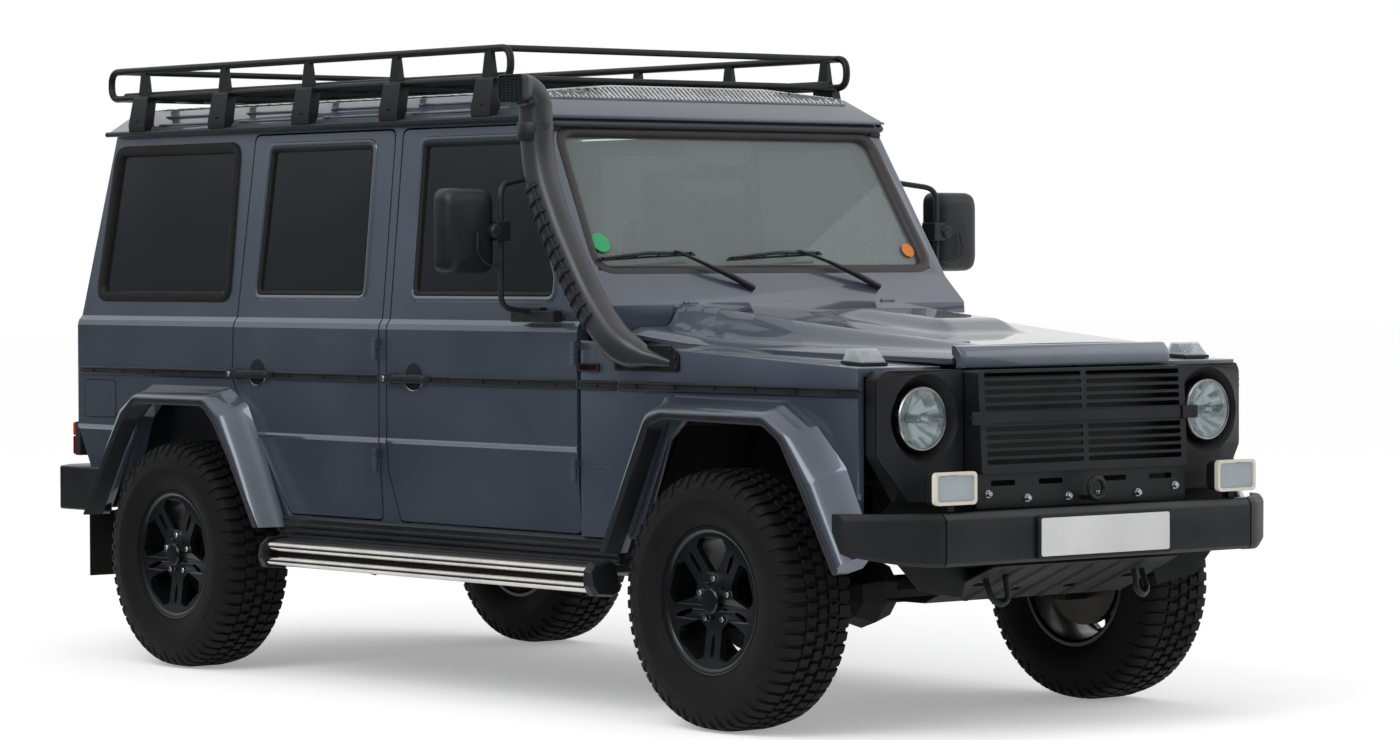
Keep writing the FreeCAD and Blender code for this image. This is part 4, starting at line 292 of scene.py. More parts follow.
# Damper tube: stoved grey enamel over steel.
damper_paint = surface("stoved_damper_enamel", ("#2c3338", "#3b444a"), (0.3, 0.45), 6, 0.1)
spring_set = piece("coil_springs", both(joined(*springs)), spring_paint)
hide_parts("springs_dampers")
piece("dampers", both(joined(*dampers)), damper_paint)


# Tyres
# All-terrain radials of black rubber: a sidewall with rings left by the mould, zigzag blocks in
# five rows and shoulder lugs that reach down the side, long and short in turn.
tyre_radius = 385
track = 1475
pitches = 58
carcass = [(93, 204), (100, 205), (101, 219), (108, 222), (112, 231), (119, 240), (124, 250), (128, 262),
           (131, 276), (132.5, 292), (132.2, 306), (130.5, 309), (130, 322), (127, 334), (125.5, 336),
           (122, 347), (116, 357), (110, 364), (102, 368), (60, 373.5), (0, 374.5)]


def tread_radius(across):
    """Radius over the blocks: level for 53 mm from the middle, then 9 mm lower at the shoulder."""
    return tyre_radius - 9 * max(abs(across) - 53, 0) / 54


def tread_block(outline, turn, side=1):
    """One block standing 10 mm on the tread, with its edges eased."""
    rings = []
    for drop, spread in ((11.5, 1.06), (1.2, 1.0), (0, 0.93)):
        centre_across = sum(across for across, _ in outline) / len(outline)
        centre_along = sum(along for _, along in outline) / len(outline)
        ring = []
        for across, along in outline:
            across = centre_across + (across - centre_across) * spread
            along = centre_along + (along - centre_along) * spread
            radius = tread_radius(across) - drop
            angle = turn + along / tyre_radius
            ring.append((radius * sin(angle), side * across, radius * cos(angle)))
        rings.append(ring)
    return lofted(rings)


def shoulder_lug(turn, side, long):
    """A lug that runs over the shoulder and down the sidewall."""
    stations = [(65, 371, 65, 382.6, -15, 13), (88, 369, 88, 379, -16, 14), (106, 364, 107, 374.5, -15, 14),
                (112, 358, 116.5, 367.5, -13, 12), (119, 347, 123.5, 354, -11, 9)]
    if long:
        stations.append((126, 331, 130.6, 336, -8, 5))
    rings = []
    for base_y, base_r, top_y, top_r, near, far in stations:
        ring = []
        for across, radius, along in ((base_y, base_r, near - 1), (top_y, top_r, near + 1),
                                      (top_y, top_r, far - 1), (base_y, base_r, far + 1)):
            angle = turn + along / tyre_radius
            ring.append((radius * sin(angle), side * across, radius * cos(angle)))
        rings.append(ring)
    return lofted(rings)


def tyre_form():
    """A tyre standing at the origin with its axis along Y."""
    half = [(-across, radius) for across, radius in carcass]
    inner = [(-60, 350), (60, 350)]
    forms = [turned(half + carcass[-2::-1] + inner[::-1], (0, 0, 0), "y", 96, closed=True)]
    middle = [(-16, -12), (0, -16), (15, -12), (12, -1), (16, 11), (0, 16), (-15, 12), (-12, 1)]
    second = [(23, -15), (40, -11), (56, -16), (60, -2), (55, 14), (40, 10), (24, 15), (27, 0)]
    step = 2 * pi / pitches
    for number in range(pitches):
        forms.append(tread_block(middle, number * step))
        for side, lead in ((1, 0.5), (-1, 0.35)):
            forms.append(tread_block(second, (number + lead) * step, side))
            forms.append(shoulder_lug((number + lead / 2) * step, side, number % 2 == 0))
    return joined(*forms)


spare_place = (-3754.5, 0, 1062)


def wheel_places():
    """Where each wheel stands, how it is turned, and the body that it rides on."""
    places = []
    for end, station in (("front", 0), ("rear", -wheelbase)):
        for side, across, turn in (("left", track / 2, 0), ("right", -track / 2, pi)):
            name = f"{end}_{side}"
            places.append((name, (station, across, tyre_radius), turn, "wheel_" + name))
    places.append(("spare", spare_place, pi / 2, "tailgate"))
    return places


def repeated(label, form, material, smooth=38, edge=0):
    """One mesh used for all five wheels."""
    first = None
    made = []
    for name, place, turn, body in wheel_places():
        if first is None:
            item = first = piece(f"{label}_{name}", placed(form, lambda x, y, z: (x - axle_x, y, z)),
                                 material, body, smooth, edge)
        else:
            item = linked(f"{label}_{name}", first.data)
            if edge:
                bevelled(item, edge, smooth)
        item.parent = None
        x, y, z = place
        item.matrix_world = (Matrix.Translation(((x + axle_x) / 1000, y / 1000, z / 1000))
                             @ Matrix.Rotation(turn, 4, "Z"))
        made.append((name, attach(item, body)))
    return made


# Tyre rubber: carbon black, matt with a faint bloom, and a skin as fine as leather.
tyre_rubber = surface("moulded_tyre_rubber", ("#080808", "#131313"), (0.62, 0.85), 4, 0.25,
                      Specular_IOR_Level=0.2)
for name, item in repeated("tyre", tyre_form(), tyre_rubber, 30):
    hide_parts("spare_tyre" if name == "spare" else "tyre_" + name)


# Wheels
# Cast aluminium wheels with five double spokes, painted satin black. A plain cap closes the hub,
# and five bright ball-seat bolts hold each wheel on a ring of 130 mm.
bolt_ring = 65


def softened(points, bend, steps=5, loop=False):
    """A path or outline with its corners rounded."""
    points = [Vector(point) for point in points]
    path = []
    for number, corner in enumerate(points):
        if not loop and number in (0, len(points) - 1):
            path.append(corner)
            continue
        before = points[number - 1] - corner
        after = points[(number + 1) % len(points)] - corner
        angle = before.angle(after)
        radius = bend[number] if isinstance(bend, (list, tuple)) else bend
        reach = min(radius / tan(angle / 2), before.length * 0.48, after.length * 0.48)
        start = corner + before.normalized() * reach
        end = corner + after.normalized() * reach
        if angle > 3.1 or radius <= 0:
            path.append(corner)
            continue
        for step in range(steps + 1):
            share = step / steps
            path.append(start.lerp(corner, share).lerp(corner.lerp(end, share), share))
    return path


def outline(points, bend, steps=5):
    """A closed flat outline with rounded corners."""
    return [(p.x, p.y) for p in softened([(u, v, 0) for u, v in points], bend, steps, True)]


def oblong(u, v, bend, steps=5):
    """The outline of a rectangle with rounded corners, from its two ends on each axis."""
    return outline([(u[0], v[0]), (u[1], v[0]), (u[1], v[1]), (u[0], v[1])], bend, steps)


def circle(u, v, radius, steps=24):
    """Points evenly round a circle."""
    return [(u + radius * cos(2 * pi * s / steps), v + radius * sin(2 * pi * s / steps))
            for s in range(steps)]


def plate(outlines, thick, levels=(), columns=()):
    """A flat sheet with holes, as (across, up, out) points, with extra lines where it will bend."""
    curve = bpy.data.curves.new("pattern", "CURVE")
    curve.dimensions = "2D"
    curve.fill_mode = "BOTH"
    curve.extrude = thick / 2
    for points in outlines:
        spline = curve.splines.new("POLY")
        spline.points.add(len(points) - 1)
        for point, (u, v) in zip(spline.points, points):
            point.co = (u, v, 0, 1)
        spline.use_cyclic_u = True
    holder = bpy.data.objects.new("pattern", curve)
    mesh = bpy.data.meshes.new_from_object(holder)
    work = bmesh.new()
    work.from_mesh(mesh)
    bmesh.ops.remove_doubles(work, verts=work.verts, dist=0.001)
    for axis, places in ((Vector((0, 1, 0)), levels), (Vector((1, 0, 0)), columns)):
        for place in places:
            bmesh.ops.bisect_plane(work, geom=work.verts[:] + work.edges[:] + work.faces[:],
                                   plane_co=axis * place, plane_no=axis)
    work.verts.index_update()
    form = [tuple(v.co) for v in work.verts], [tuple(v.index for v in f.verts) for f in work.faces]
    work.free()
    bpy.data.objects.remove(holder)
    bpy.data.curves.remove(curve)
    bpy.data.meshes.remove(mesh)
    return form


def eased(share):
    """A share held between 0 and 1 that starts and ends softly."""
    share = min(max(share, 0.0), 1.0)
    return share * share * (3 - 2 * share)


def wheel_face():
    """The spoked face: five wide windows, a slot in each pair of spokes, holes for the bolts."""
    window = outline([(-70, 156), (-48, 184), (48, 184), (70, 156), (20, 86), (-20, 86)],
                     [18, 14, 14, 18, 12, 12])
    slot = outline([(-6, -108), (0, -98), (6, -108), (9, -150), (0, -176), (-9, -150)], 7)
    holes = []
    for number in range(5):
        turn = Matrix.Rotation(2 * pi * number / 5, 2)
        for points in (window, slot, circle(0, bolt_ring, 13, 16), circle(24, 46, 5, 10)):
            holes.append([tuple(turn @ Vector(point)) for point in points])
    face_radius, hub_radius, hub_out, dish_rise = 198, 60, 74, 14
    sheet = plate([circle(0, 0, face_radius, 80)] + holes, 22)

    def dish(u, v, w):
        share = (hypot(u, v) - hub_radius) / (face_radius - hub_radius)
        return u, hub_out + dish_rise * eased(share) + w, v
    return placed(sheet, dish)


barrel = turned([(104, 207), (105, 212), (104, 218), (98, 218), (95, 204), (-95, 204), (-98, 218),
                 (-105, 218), (-105, 207), (-96, 197), (20, 182), (60, 190), (97, 198)],
                (0, 0, 0), "y", 80, True)
cap = turned([(80, 1), (80, 38), (104, 37), (108, 33), (109, 20), (108, 1)], (0, 0, 0), "y", 40)
# Black alloy paint: clear-coated, so the spokes take long soft lights along their edges.
wheel_paint = surface("clear_coated_alloy_paint", ("#08090a", "#0f1011"), (0.3, 0.38), 3, 0.02,
                      Specular_IOR_Level=0.3, Coat_Weight=0.35, Coat_Roughness=0.15)
for name, item in repeated("wheel_spokes", wheel_face(), wheel_paint, 40, 3.5):
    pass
for name, item in repeated("wheel_rim", joined(barrel, cap), wheel_paint, 30):
    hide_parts("spare_rim" if name == "spare" else "rim_" + name)


def bolt(number):
    """One of the five bolts: its seat and its six-sided head."""
    turn = 2 * pi * number / 5 + pi / 2
    centre = (bolt_ring * cos(turn), 0, bolt_ring * sin(turn))
    return joined(turned([(66, 1), (66, 12), (80, 12), (81, 9.5)], centre, "y", 16),
                  turned([(80, 1), (80, 9.8), (93, 9.8), (95, 8.4), (95, 1)], centre, "y", 6))


# Zinc-plated bolt steel: bright, slightly rough.
zinc_plate = surface("zinc_plated_bolt_steel", ("#a9abad", "#d3d5d6"), (0.22, 0.35), 3, 0.05, Metallic=1.0)
for name, item in repeated("wheel_bolts", joined(*[bolt(number) for number in range(5)]), zinc_plate, 30):
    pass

# Brake discs: cast iron with a ground ring, dull grey with fine circles, on the four road wheels.
disc_iron = surface("ground_brake_iron", ("#3a3735", "#5c5957"), (0.35, 0.5), 5, 0.1, Metallic=1.0)
disc = turned([(-62, 26), (-62, 152), (-55, 152), (-55, 96), (-45, 96), (-45, 152), (-38, 152), (-38, 84),
               (44, 84), (44, 26)], (0, 0, 0), "y", 48, True)
for name, (x, y, z), turn, body in wheel_places()[:4]:
    way = 1 if y > 0 else -1
    form = placed(disc, lambda a, b, c: (x + a, y + way * b, z + c))
    piece("brake_disc_" + name, form, disc_iron, body, 30)


# Painted body
# The body is pressed steel in slate metallic under clear lacquer: flat panels with a sharp crease
# below the strip, a folded belt and deep black gaps round doors with open hinges.
side_y = 768
section = [(400, 745), (480, 748), (794, 767.2), (803, 771.5), (811, side_y), (1160, side_y),
           (1178, 763.5), (1193, 752), (1830, 691.4)]
side_levels = [794, 803, 811, 1160, 1178, 1193]
wall = 46


def side_depth(z):
    """Half width of the body's outer face at a height."""
    for (low, near), (high, far) in zip(section, section[1:]):
        if z <= high:
            return near + (far - near) * (z - low) / (high - low)
    return section[-1][1]


def side_panel(outlines, thick=wall, proud=0):
    """A panel of the right-hand side, bent to the body's section."""
    sheet = plate(outlines, thick, side_levels)
    return placed(sheet, lambda u, v, w: (u, -(side_depth(v) + proud) + thick / 2 - w, v))


def grown(points, amount):
    """A convex outline with each side moved outwards."""
    centre = Vector((sum(u for u, _ in points), sum(v for _, v in points))) / len(points)
    lines = []
    for start, end in zip(points, points[1:] + points[:1]):
        along = (Vector(end) - Vector(start)).normalized()
        out = Vector((along.y, -along.x))
        if out.dot((Vector(start) + Vector(end)) / 2 - centre) < 0:
            out = -out
        lines.append((Vector(start) + out * amount, along))
    result = []
    for number in range(len(points)):
        (here, one), (there, two) = lines[number - 1], lines[number]
        share = (there - here).cross(two) / one.cross(two)
        result.append(tuple(here + one * share))
    return result


front_door = [(-716, 546), (-716, 1205), (-1036, 1801), (-1704, 1801), (-1704, 703), (-1650, 546)]
rear_door = [(-1752, 546), (-1752, 1801), (-2548, 1801), (-2592, 989), (-2462, 803), (-2270, 546)]
front_pane = [(-866, 1269), (-866, 1329), (-1072, 1758), (-1592, 1758), (-1592, 1269)]
rear_pane = [(-1864, 1269), (-1864, 1758), (-2450, 1758), (-2480, 1269)]
quarter_pane = [(-2658, 1269), (-2658, 1758), (-3389, 1758), (-3447, 1269)]
rear_arch = [(-3374, 430), (-3346, 480), (-3143, 846), (-3069, 908), (-2631, 908), (-2557, 846),
             (-2354, 480), (-2326, 430)]
# Each door's end, outline and bends, its pane's outline and bends, and the middle of its scoop.
doors = (("front", front_door, [24, 10, 28, 28, 10, 24], front_pane, [26, 40, 34, 26, 26], -1557),
         ("rear", rear_door, [24, 28, 28, 60, 20, 24], rear_pane, [26] * 4, -2443))
scoop_z = 1008

# Metallic lacquer: aluminium flake of about 0.05 mm in a slate base, drawn at 2 mm as a faint
# sparkle, under a coat of clear that ripples as sprayed lacquer does, about 4 mm from crest to crest.
paint, tree, place = started("slate_metallic_lacquer")
flake = add(tree, "ShaderNodeTexVoronoi", {"Scale": 500}, {"Vector": place})
cloud = add(tree, "ShaderNodeTexNoise", {"Scale": 3, "Detail": 2}, {"Vector": place})
tone = add(tree, "ShaderNodeMath", {"operation": "MULTIPLY_ADD", 1: 0.25},
           {0: flake.outputs["Distance"], 2: cloud.outputs["Fac"]})
slate = add(tree, "ShaderNodeValToRGB", {"stops": [(0.35, "#414a57"), (0.85, "#4e5764")]},
            {"Fac": tone.outputs[0]})
peel = add(tree, "ShaderNodeTexNoise", {"Scale": 250, "Detail": 1}, {"Vector": place})
ripple = add(tree, "ShaderNodeBump", {"Strength": 0.25, "Distance": 0.00004},
             {"Height": peel.outputs["Fac"]})
gloss = add(tree, "ShaderNodeMapRange", {"To Min": 0.34, "To Max": 0.42}, {"Value": cloud.outputs["Fac"]})
shader = add(tree, "ShaderNodeBsdfPrincipled",
             {"Metallic": 0.55, "Coat Weight": 1.0, "Coat Roughness": 0.03},
             {"Base Color": slate.outputs["Color"], "Roughness": gloss.outputs["Result"],
              "Coat Normal": ripple.outputs["Normal"]})
add(tree, "ShaderNodeOutputMaterial", links={"Surface": shader.outputs["BSDF"]})


def softened_copy(node, material, edge):
    """A CAD panel with its sharp edges rounded as a pressing's are, standing for the panel."""
    source = frame["nodes"][node]
    work = bmesh.new()
    work.from_mesh(source.data)
    bmesh.ops.remove_doubles(work, verts=work.verts, dist=2e-5)
    bmesh.ops.dissolve_limit(work, angle_limit=radians(0.6), verts=work.verts, edges=work.edges)
    sharp = [e for e in work.edges if len(e.link_faces) == 2 and e.calc_face_angle(0) > radians(28)]
    bmesh.ops.bevel(work, geom=sharp, offset=edge / 1000, offset_type="OFFSET", segments=2, profile=0.6,
                    affect="EDGES", clamp_overlap=False)
    bmesh.ops.recalc_face_normals(work, faces=work.faces)
    mesh = bpy.data.meshes.new(node + "_skin")
    work.to_mesh(mesh)
    work.free()
    mesh.shade_smooth()
    mesh.set_sharp_from_angle(angle=radians(38))
    mesh.materials.append(material)
    made = linked(node + "_skin", mesh)
    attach(made, source["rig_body"])
    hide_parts(node)
    return made


flip = {"right": lambda form: form, "left": mirrored}
opened = grown(front_door, 6)
side_outline = outline([(-506, 480), (-506, 540), opened[5], opened[4], opened[3], (-1030, 1807),
                        (-1030, 1821), (-3418, 1821), (-3567, 1169), (-3567, 803), (-3500, 662),
                        (-3315, 662), (-3315, 536)]
                       + rear_arch[2:6] + [(-2354, 480)],
                       [0, 0, 10, 30, 30, 0, 0, 8, 8, 0, 0, 0, 0, 40, 40, 40, 40, 0])
openings = [outline(grown(rear_door, 6), [26, 30, 30, 60, 20, 26]), outline(quarter_pane, 30)]
for side, turn_over in flip.items():
    frame_side = piece("side_frame_" + side, turn_over(side_panel([side_outline] + openings)), paint,
                       smooth=10, edge=3)
    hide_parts("body_side_" + side)

# Scoops behind the handles, recessed into the door: near-black and matt, as painted shade in the recess.
scoop_shade_finish = surface("scoop_painted_shade", ("#0b0c0e", "#15171a"), (0.4, 0.55), 3, 0.05)
for end, door, door_bend, pane, pane_bend, scoop_x in doors:
    door_sheet = side_panel([outline(door, door_bend), outline(pane, pane_bend),
                             circle(scoop_x, scoop_z, 46, 32)])
    bowl = turned([(0, 46.5), (12, 45), (22, 36), (27, 18), (28, 1)], (scoop_x, -side_y, scoop_z), "y", 32)
    for side, turn_over in flip.items():
        body = f"{end}_door_{side}"
        skin = piece(f"{end}_door_skin_{side}", turn_over(door_sheet), paint, body, 10, 3)
        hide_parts(f"door_{end}_{side}")
        piece(f"{end}_door_scoop_{side}", turn_over(bowl), scoop_shade_finish, body)

for node in ("rear_door", "rear_frame", "windscreen_frame", "roof_panel", "wing_left", "wing_right"):
    softened_copy(node, paint, 3)
dress(surface("painted_floor_steel", ("#22272c", "#31373d"), (0.4, 0.6), 8, 0.2), "floor_pan")


# Bonnet
# One pressing with a broad dome that swells out of lower shoulders, a low boss on the dome, a
# turned-down nose over the grille and a skirt along its sides. Two barrels at its rear edge turn.
bonnet_stations = (-606, -400, 0, 600)
half_widths = (655, 545, 490, 435)
shoulder_heights = (1162, 1128, 1111, 1097)
crown_heights = (1245, 1223, 1181, 1130)
ridge_halves = (470, 435, 396, 345)


def between(x, values):
    """A size of the bonnet at a station, drawn smoothly through its four sections."""
    ends = [(max(number - 1, 0), min(number + 1, 3)) for number in range(4)]
    tilt = [(values[b] - values[a]) / (bonnet_stations[b] - bonnet_stations[a]) for a, b in ends]
    number = sum(x >= station for station in bonnet_stations[1:3])
    span = bonnet_stations[number + 1] - bonnet_stations[number]
    t = (x - bonnet_stations[number]) / span
    return ((2 * t ** 3 - 3 * t * t + 1) * values[number] + (t ** 3 - 2 * t * t + t) * span * tilt[number]
            + (3 * t * t - 2 * t ** 3) * values[number + 1] + (t ** 3 - t * t) * span * tilt[number + 1])


def bonnet_z(x, y):
    """Height of the bonnet's skin: shoulder, soft flank of the dome, its crown and the boss."""
    half, edge = between(x, half_widths), between(x, shoulder_heights)
    crown, ridge = between(x, crown_heights), between(x, ridge_halves)
    shoulder = edge + 14 * eased((half - abs(y)) / 50)
    boss = 36 * eased((185 - abs(y)) / 75) * eased((300 - x) / 90) * eased((x + 380) / 280)
    flank = eased((ridge + 34 - abs(y)) / 62)
    return shoulder + (crown - shoulder) * flank + 3 * (1 - (y / half) ** 2) + boss


bonnet_rings = []
for station in range(41):
    x = -606 + 1206 * station / 40
    half, edge = between(x, half_widths), between(x, shoulder_heights)
    across = [half * (number / 44 - 1) for number in range(89)]
    outer = [(x, -half, edge - 18), (x, -half, edge - 4)] + [(x, y, bonnet_z(x, y)) for y in across[1:-1]]
    outer += [(x, half, edge - 4), (x, half, edge - 18)]
    under = [(half - 4) * (1 - number / 22) for number in range(45)]
    bonnet_rings.append(outer + [(x, y, bonnet_z(x, y) - 22) for y in under])
nose_profile = [(588, 1131), (602, 1131), (614, 1128), (630, 1110), (636, 1097), (636, 1068), (633, 1065),
                (612, 1065), (612, 1088), (588, 1106)]
nose_ends = ((-424, -7), (-416, -1), (-404, 0), (404, 0), (416, -1), (424, -7))
bonnet_nose = lofted([[(x + back * (x > 600), y, z) for x, z in nose_profile] for y, back in nose_ends])
bonnet_barrels = [turned([(y, 1), (y, 6), (y + 40, 6), (y + 40, 1)], (-606, 0, 1248), "y", 16)
                  for y in (380, -420)]
bonnet_form = joined(lofted(bonnet_rings), bonnet_nose, *bonnet_barrels)
bonnet = piece("bonnet_skin", bonnet_form, paint, "bonnet", 32, 1.5)
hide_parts("hood")


# Door hinges
# Each side door hangs on two open hinges in the shut line, painted with the body: short barrels on a
# leaf that lies on the door, and two more above them on a post of the body.
hinge_y = 787
hinge_lows = (706, 1062)


def hinge_form(x, low, height, parts):
    """Barrels one above another on a pin, with narrow gaps between them."""
    forms = []
    for number in range(parts):
        start = low + height * number / parts + 0.6
        end = low + height * (number + 1) / parts - 0.6
        forms.append(turned([(start, 1), (start, 8), (start + 1, 9), (end - 1, 9), (end, 8), (end, 1)],
                            (x, -hinge_y, 0), "z", 16))
    forms.append(turned([(low - 2, 1), (low - 2, 4), (low + height + 2, 4), (low + height + 2, 1)],
                        (x, -hinge_y, 0), "z", 12))
    return joined(*forms)


def block(x, y, z):
    """A plain block between two stations on each axis."""
    return lofted([[(x[0], y[0], level), (x[1], y[0], level), (x[1], y[1], level), (x[0], y[1], level)]
                   for level in z])


for end, x in (("front", -707), ("rear", -1743)):
    leaves = [block((x - 60, x - 4), (-side_depth(low + 22) - 1, -762), (low + 2, low + 43))
              for low in hinge_lows]
    barrels = [hinge_form(x, low, 44, 3) for low in hinge_lows]
    posts = [joined(hinge_form(x, low + 46, 24, 2),
                    block((x - 2, x + 8), (-hinge_y, -760), (low + 47, low + 69))) for low in hinge_lows]
    for side, turn_over in flip.items():
        piece(f"{end}_hinges_{side}", turn_over(joined(*leaves, *barrels)), paint,
                      f"{end}_door_{side}", 30, 1)
        piece(f"{end}_hinge_posts_{side}", turn_over(joined(*posts)), paint, "chassis", 30)


# Windows
# Toughened glass, tinted grey-green at the sides and nearly clear in front, in gaskets of black
# extruded rubber. The quarter window's gasket is wide and lies on the panel.
def glass(name, colour, rough, milk=0.0):
    """Glass or clear plastic: a tint, a faint film of dust, and a milky share where it is fluted."""
    made, tree, place = started(name)
    dust = add(tree, "ShaderNodeTexNoise", {"Scale": 12, "Detail": 4}, {"Vector": place})
    film = add(tree, "ShaderNodeMapRange", {"To Min": 0.0, "To Max": rough}, {"Value": dust.outputs["Fac"]})
    tint = add(tree, "ShaderNodeValToRGB", {"stops": [(0.2, colour[0]), (0.8, colour[1])]},
               {"Fac": dust.outputs["Fac"]})
    clear = add(tree, "ShaderNodeBsdfTransparent", links={"Color": tint.outputs["Color"]})
    shine = add(tree, "ShaderNodeBsdfGlossy", links={"Roughness": film.outputs["Result"]})
    edge = add(tree, "ShaderNodeFresnel", {"IOR": 1.5})
    side = add(tree, "ShaderNodeNewGeometry")
    outer = add(tree, "ShaderNodeMath", {"operation": "SUBTRACT", 0: 1.0}, {1: side.outputs["Backfacing"]})
    share = add(tree, "ShaderNodeMath", {"operation": "MULTIPLY"},
                {0: edge.outputs["Fac"], 1: outer.outputs[0]})
    shader = add(tree, "ShaderNodeMixShader",
                 links={0: share.outputs[0], 1: clear.outputs["BSDF"], 2: shine.outputs["BSDF"]})
    cloud = add(tree, "ShaderNodeBsdfDiffuse", {"Color": linear("#d6dfe4")})
    shader = add(tree, "ShaderNodeMixShader", {0: milk},
                 {1: shader.outputs["Shader"], 2: cloud.outputs["BSDF"]})
    add(tree, "ShaderNodeOutputMaterial", links={"Surface": shader.outputs["Shader"]})
    return made


# Side glass: a privacy tint so deep that the cabin behind it shows only as dim shapes.
side_glass = glass("tinted_side_glass", ("#59645f", "#65706b"), 0.03, 0.012)
# Windscreen: laminated, a light green tint under a thin haze that greys the cabin.
screen_glass = glass("laminated_screen_glass", ("#e2ebea", "#e8f0ef"), 0.02, 0.13)
# Extruded rubber: black with a dull skin.
seal_rubber = surface("extruded_seal_rubber", ("#0a0a0b", "#131314"), (0.5, 0.7), 3, 0.1,
                      Specular_IOR_Level=0.3)
# Windscreen rubber: older and browner than the rest.
screen_rubber = surface("aged_screen_rubber", ("#1d1a19", "#332d2b"), (0.45, 0.65), 3, 0.1)


def gasket(points, bend, steps, place):
    """A ring of rubber round an opening: (grow, out) stations carried round its outline."""
    rings = []
    for grow, out in steps:
        line = outline(grown(points, grow), [max(b + grow, 3) for b in bend], 6)
        rings.append([place(u, v, out) for u, v in line])
    return lofted(rings, closed=True)


def on_side(u, v, out):
    """A point on the right-hand side, from its station and height, standing out of the panel."""
    return u, -(side_depth(v) + out), v


def pane_form(points, bend, depth, thick, place):
    """A pane of glass set behind the surface that the place rule follows."""
    line = outline(points, bend, 6)
    return lofted([[place(u, v, -depth) for u, v in line], [place(u, v, -depth - thick) for u, v in line]])


lip = [(1.5, 1.5), (-5, 2.5), (-13, -4), (-15, -16), (-1, -16)]
for end, _, _, pane, bend, _ in doors:
    pane_shape = pane_form(grown(pane, -3), bend, 11, 5, on_side)
    seal_shape = gasket(pane, bend, lip, on_side)
    for side, turn_over in flip.items():
        body = f"{end}_door_{side}"
        window = piece(f"{end}_pane_{side}", turn_over(pane_shape), side_glass, body)
        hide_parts(f"glass_{end}_{side}")
        piece(f"{end}_window_seal_{side}", turn_over(seal_shape), seal_rubber, body)

wide = [(26, 0.5), (24, 6), (10, 9), (-4, 7), (-10, 0), (-12, -16), (0, -18), (0, 0.5)]
quarter = both(gasket(quarter_pane, [34] * 4, wide, on_side))
piece("quarter_window_seals", quarter, seal_rubber)
panes = both(pane_form(grown(quarter_pane, -3), [30] * 4, 9, 5, on_side))
quarter_panes = piece("quarter_panes", panes, side_glass)

screen_low, screen_high = Vector((-715, 0, 1349)), Vector((-969, 0, 1783))
screen_up = (screen_high - screen_low).normalized()
screen_out = Vector((screen_up.z, 0, -screen_up.x))
screen_length = (screen_high - screen_low).length
screen = [(-686, 0), (686, 0), (642, screen_length), (-642, screen_length)]


def on_screen(u, v, out):
    """A point on the windscreen, from across it and up it, standing out of the glass."""
    point = screen_low + screen_up * v + screen_out * out
    return point.x, u, point.z


screen_lip = [(20, 1), (18, 7), (5, 11), (-8, 8), (-15, 0), (-17, -17), (0, -18), (0, 1)]
screen_bend = [60, 60, 70, 70]
piece("screen_gasket", gasket(screen, screen_bend, screen_lip, on_screen), screen_rubber)
screen_pane = piece("windscreen", pane_form(grown(screen, -3), screen_bend, 12, 6, on_screen), screen_glass)
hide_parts("fixed_glass")


def tail_x(z):
    """Rear face of the body at a height."""
    return -3567 if z < 1169 else -3567 + 149 * (z - 1169) / 652


def on_tail(u, v, out):
    """A point on the body's rear face, from across it and its height, standing out of it."""
    return tail_x(v) - out, u, v


rear_window = [(-470, 1299), (470, 1299), (470, 1728), (-470, 1728)]
rear_pane_piece = piece("rear_pane", pane_form(grown(rear_window, -3), [40] * 4, 11, 5, on_tail),
                        side_glass, "tailgate")
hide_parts("rear_door_glass")
tail_lip = [(16, 0.5), (15, 5), (4, 8), (-8, 5), (-12, -4), (-13, -16), (0, -17), (0, 0.5)]
rear_seal = gasket(rear_window, [40] * 4, tail_lip, on_tail)
piece("rear_window_seal", rear_seal, seal_rubber, "tailgate")


# Side fittings
# Along each side runs a black extruded strip with two ridges and a sunken middle that holds small
# screws. The doors have black pull handles, the sills ribbed plastic mouldings, and small lamps,
# plates, the fuel flap and painted beads lie on the panels.
strip_section = [(0, 986), (8, 987), (12, 990), (12, 994), (7, 997), (7, 1006), (12, 1009), (12, 1013),
                 (8, 1016), (0, 1017)]
strip_z = 1001.5


def strip(start, end):
    """One length of the strip; its ends are rounded caps."""
    stations = ((start, 0.4), (start - 3, 0.8), (start - 10, 1), (end + 10, 1), (end + 3, 0.8), (end, 0.4))
    return lofted([[(x, -(side_y - 2 + out * share), strip_z + (z - strip_z) * (0.7 + 0.3 * share))
                    for out, z in strip_section] for x, share in stations])


def strip_screws(start, end, pitch=180):
    """Domed screws along the sunken middle."""
    count = max(int((start - end) / pitch), 1)
    gap = (start - end) / count
    heads = []
    for number in range(count):
        centre = (start - gap * (number + 0.5), -side_y, strip_z)
        heads.append(turned([(-9, 1), (-9, 3.5), (-7, 5), (-4, 5.5), (-4, 1)], centre, "y", 10))
    return joined(*heads)


# Pressed steel, stoved satin black.
satin_steel = surface("stoved_satin_black_steel", ("#0f1012", "#17181a"), (0.34, 0.46), 3, 0.05,
                      Specular_IOR_Level=0.3)
# Extruded and moulded trim: black plastic with a dull sheen.
trim_plastic = surface("extruded_trim_plastic", ("#15171a", "#202327"), (0.4, 0.52), 3, 0.05,
                       Specular_IOR_Level=0.35)
runs = {"chassis": [(584, -512), (-520, -704), (-2608, -3553)], "front_door": [(-722, -1462)],
        "rear_door": [(-1758, -2346)]}
for side, turn_over in flip.items():
    for where, lengths in runs.items():
        body = where if where == "chassis" else f"{where}_{side}"
        label = f"{where}_{side}"
        strips = joined(*[strip(*ends) for ends in lengths])
        heads = joined(*[strip_screws(*ends) for ends in lengths])
        piece("rub_strip_" + label, turn_over(strips), trim_plastic, body, 30)
        piece("strip_screws_" + label, turn_over(heads), satin_steel, body, 30)


handle_z = 1004


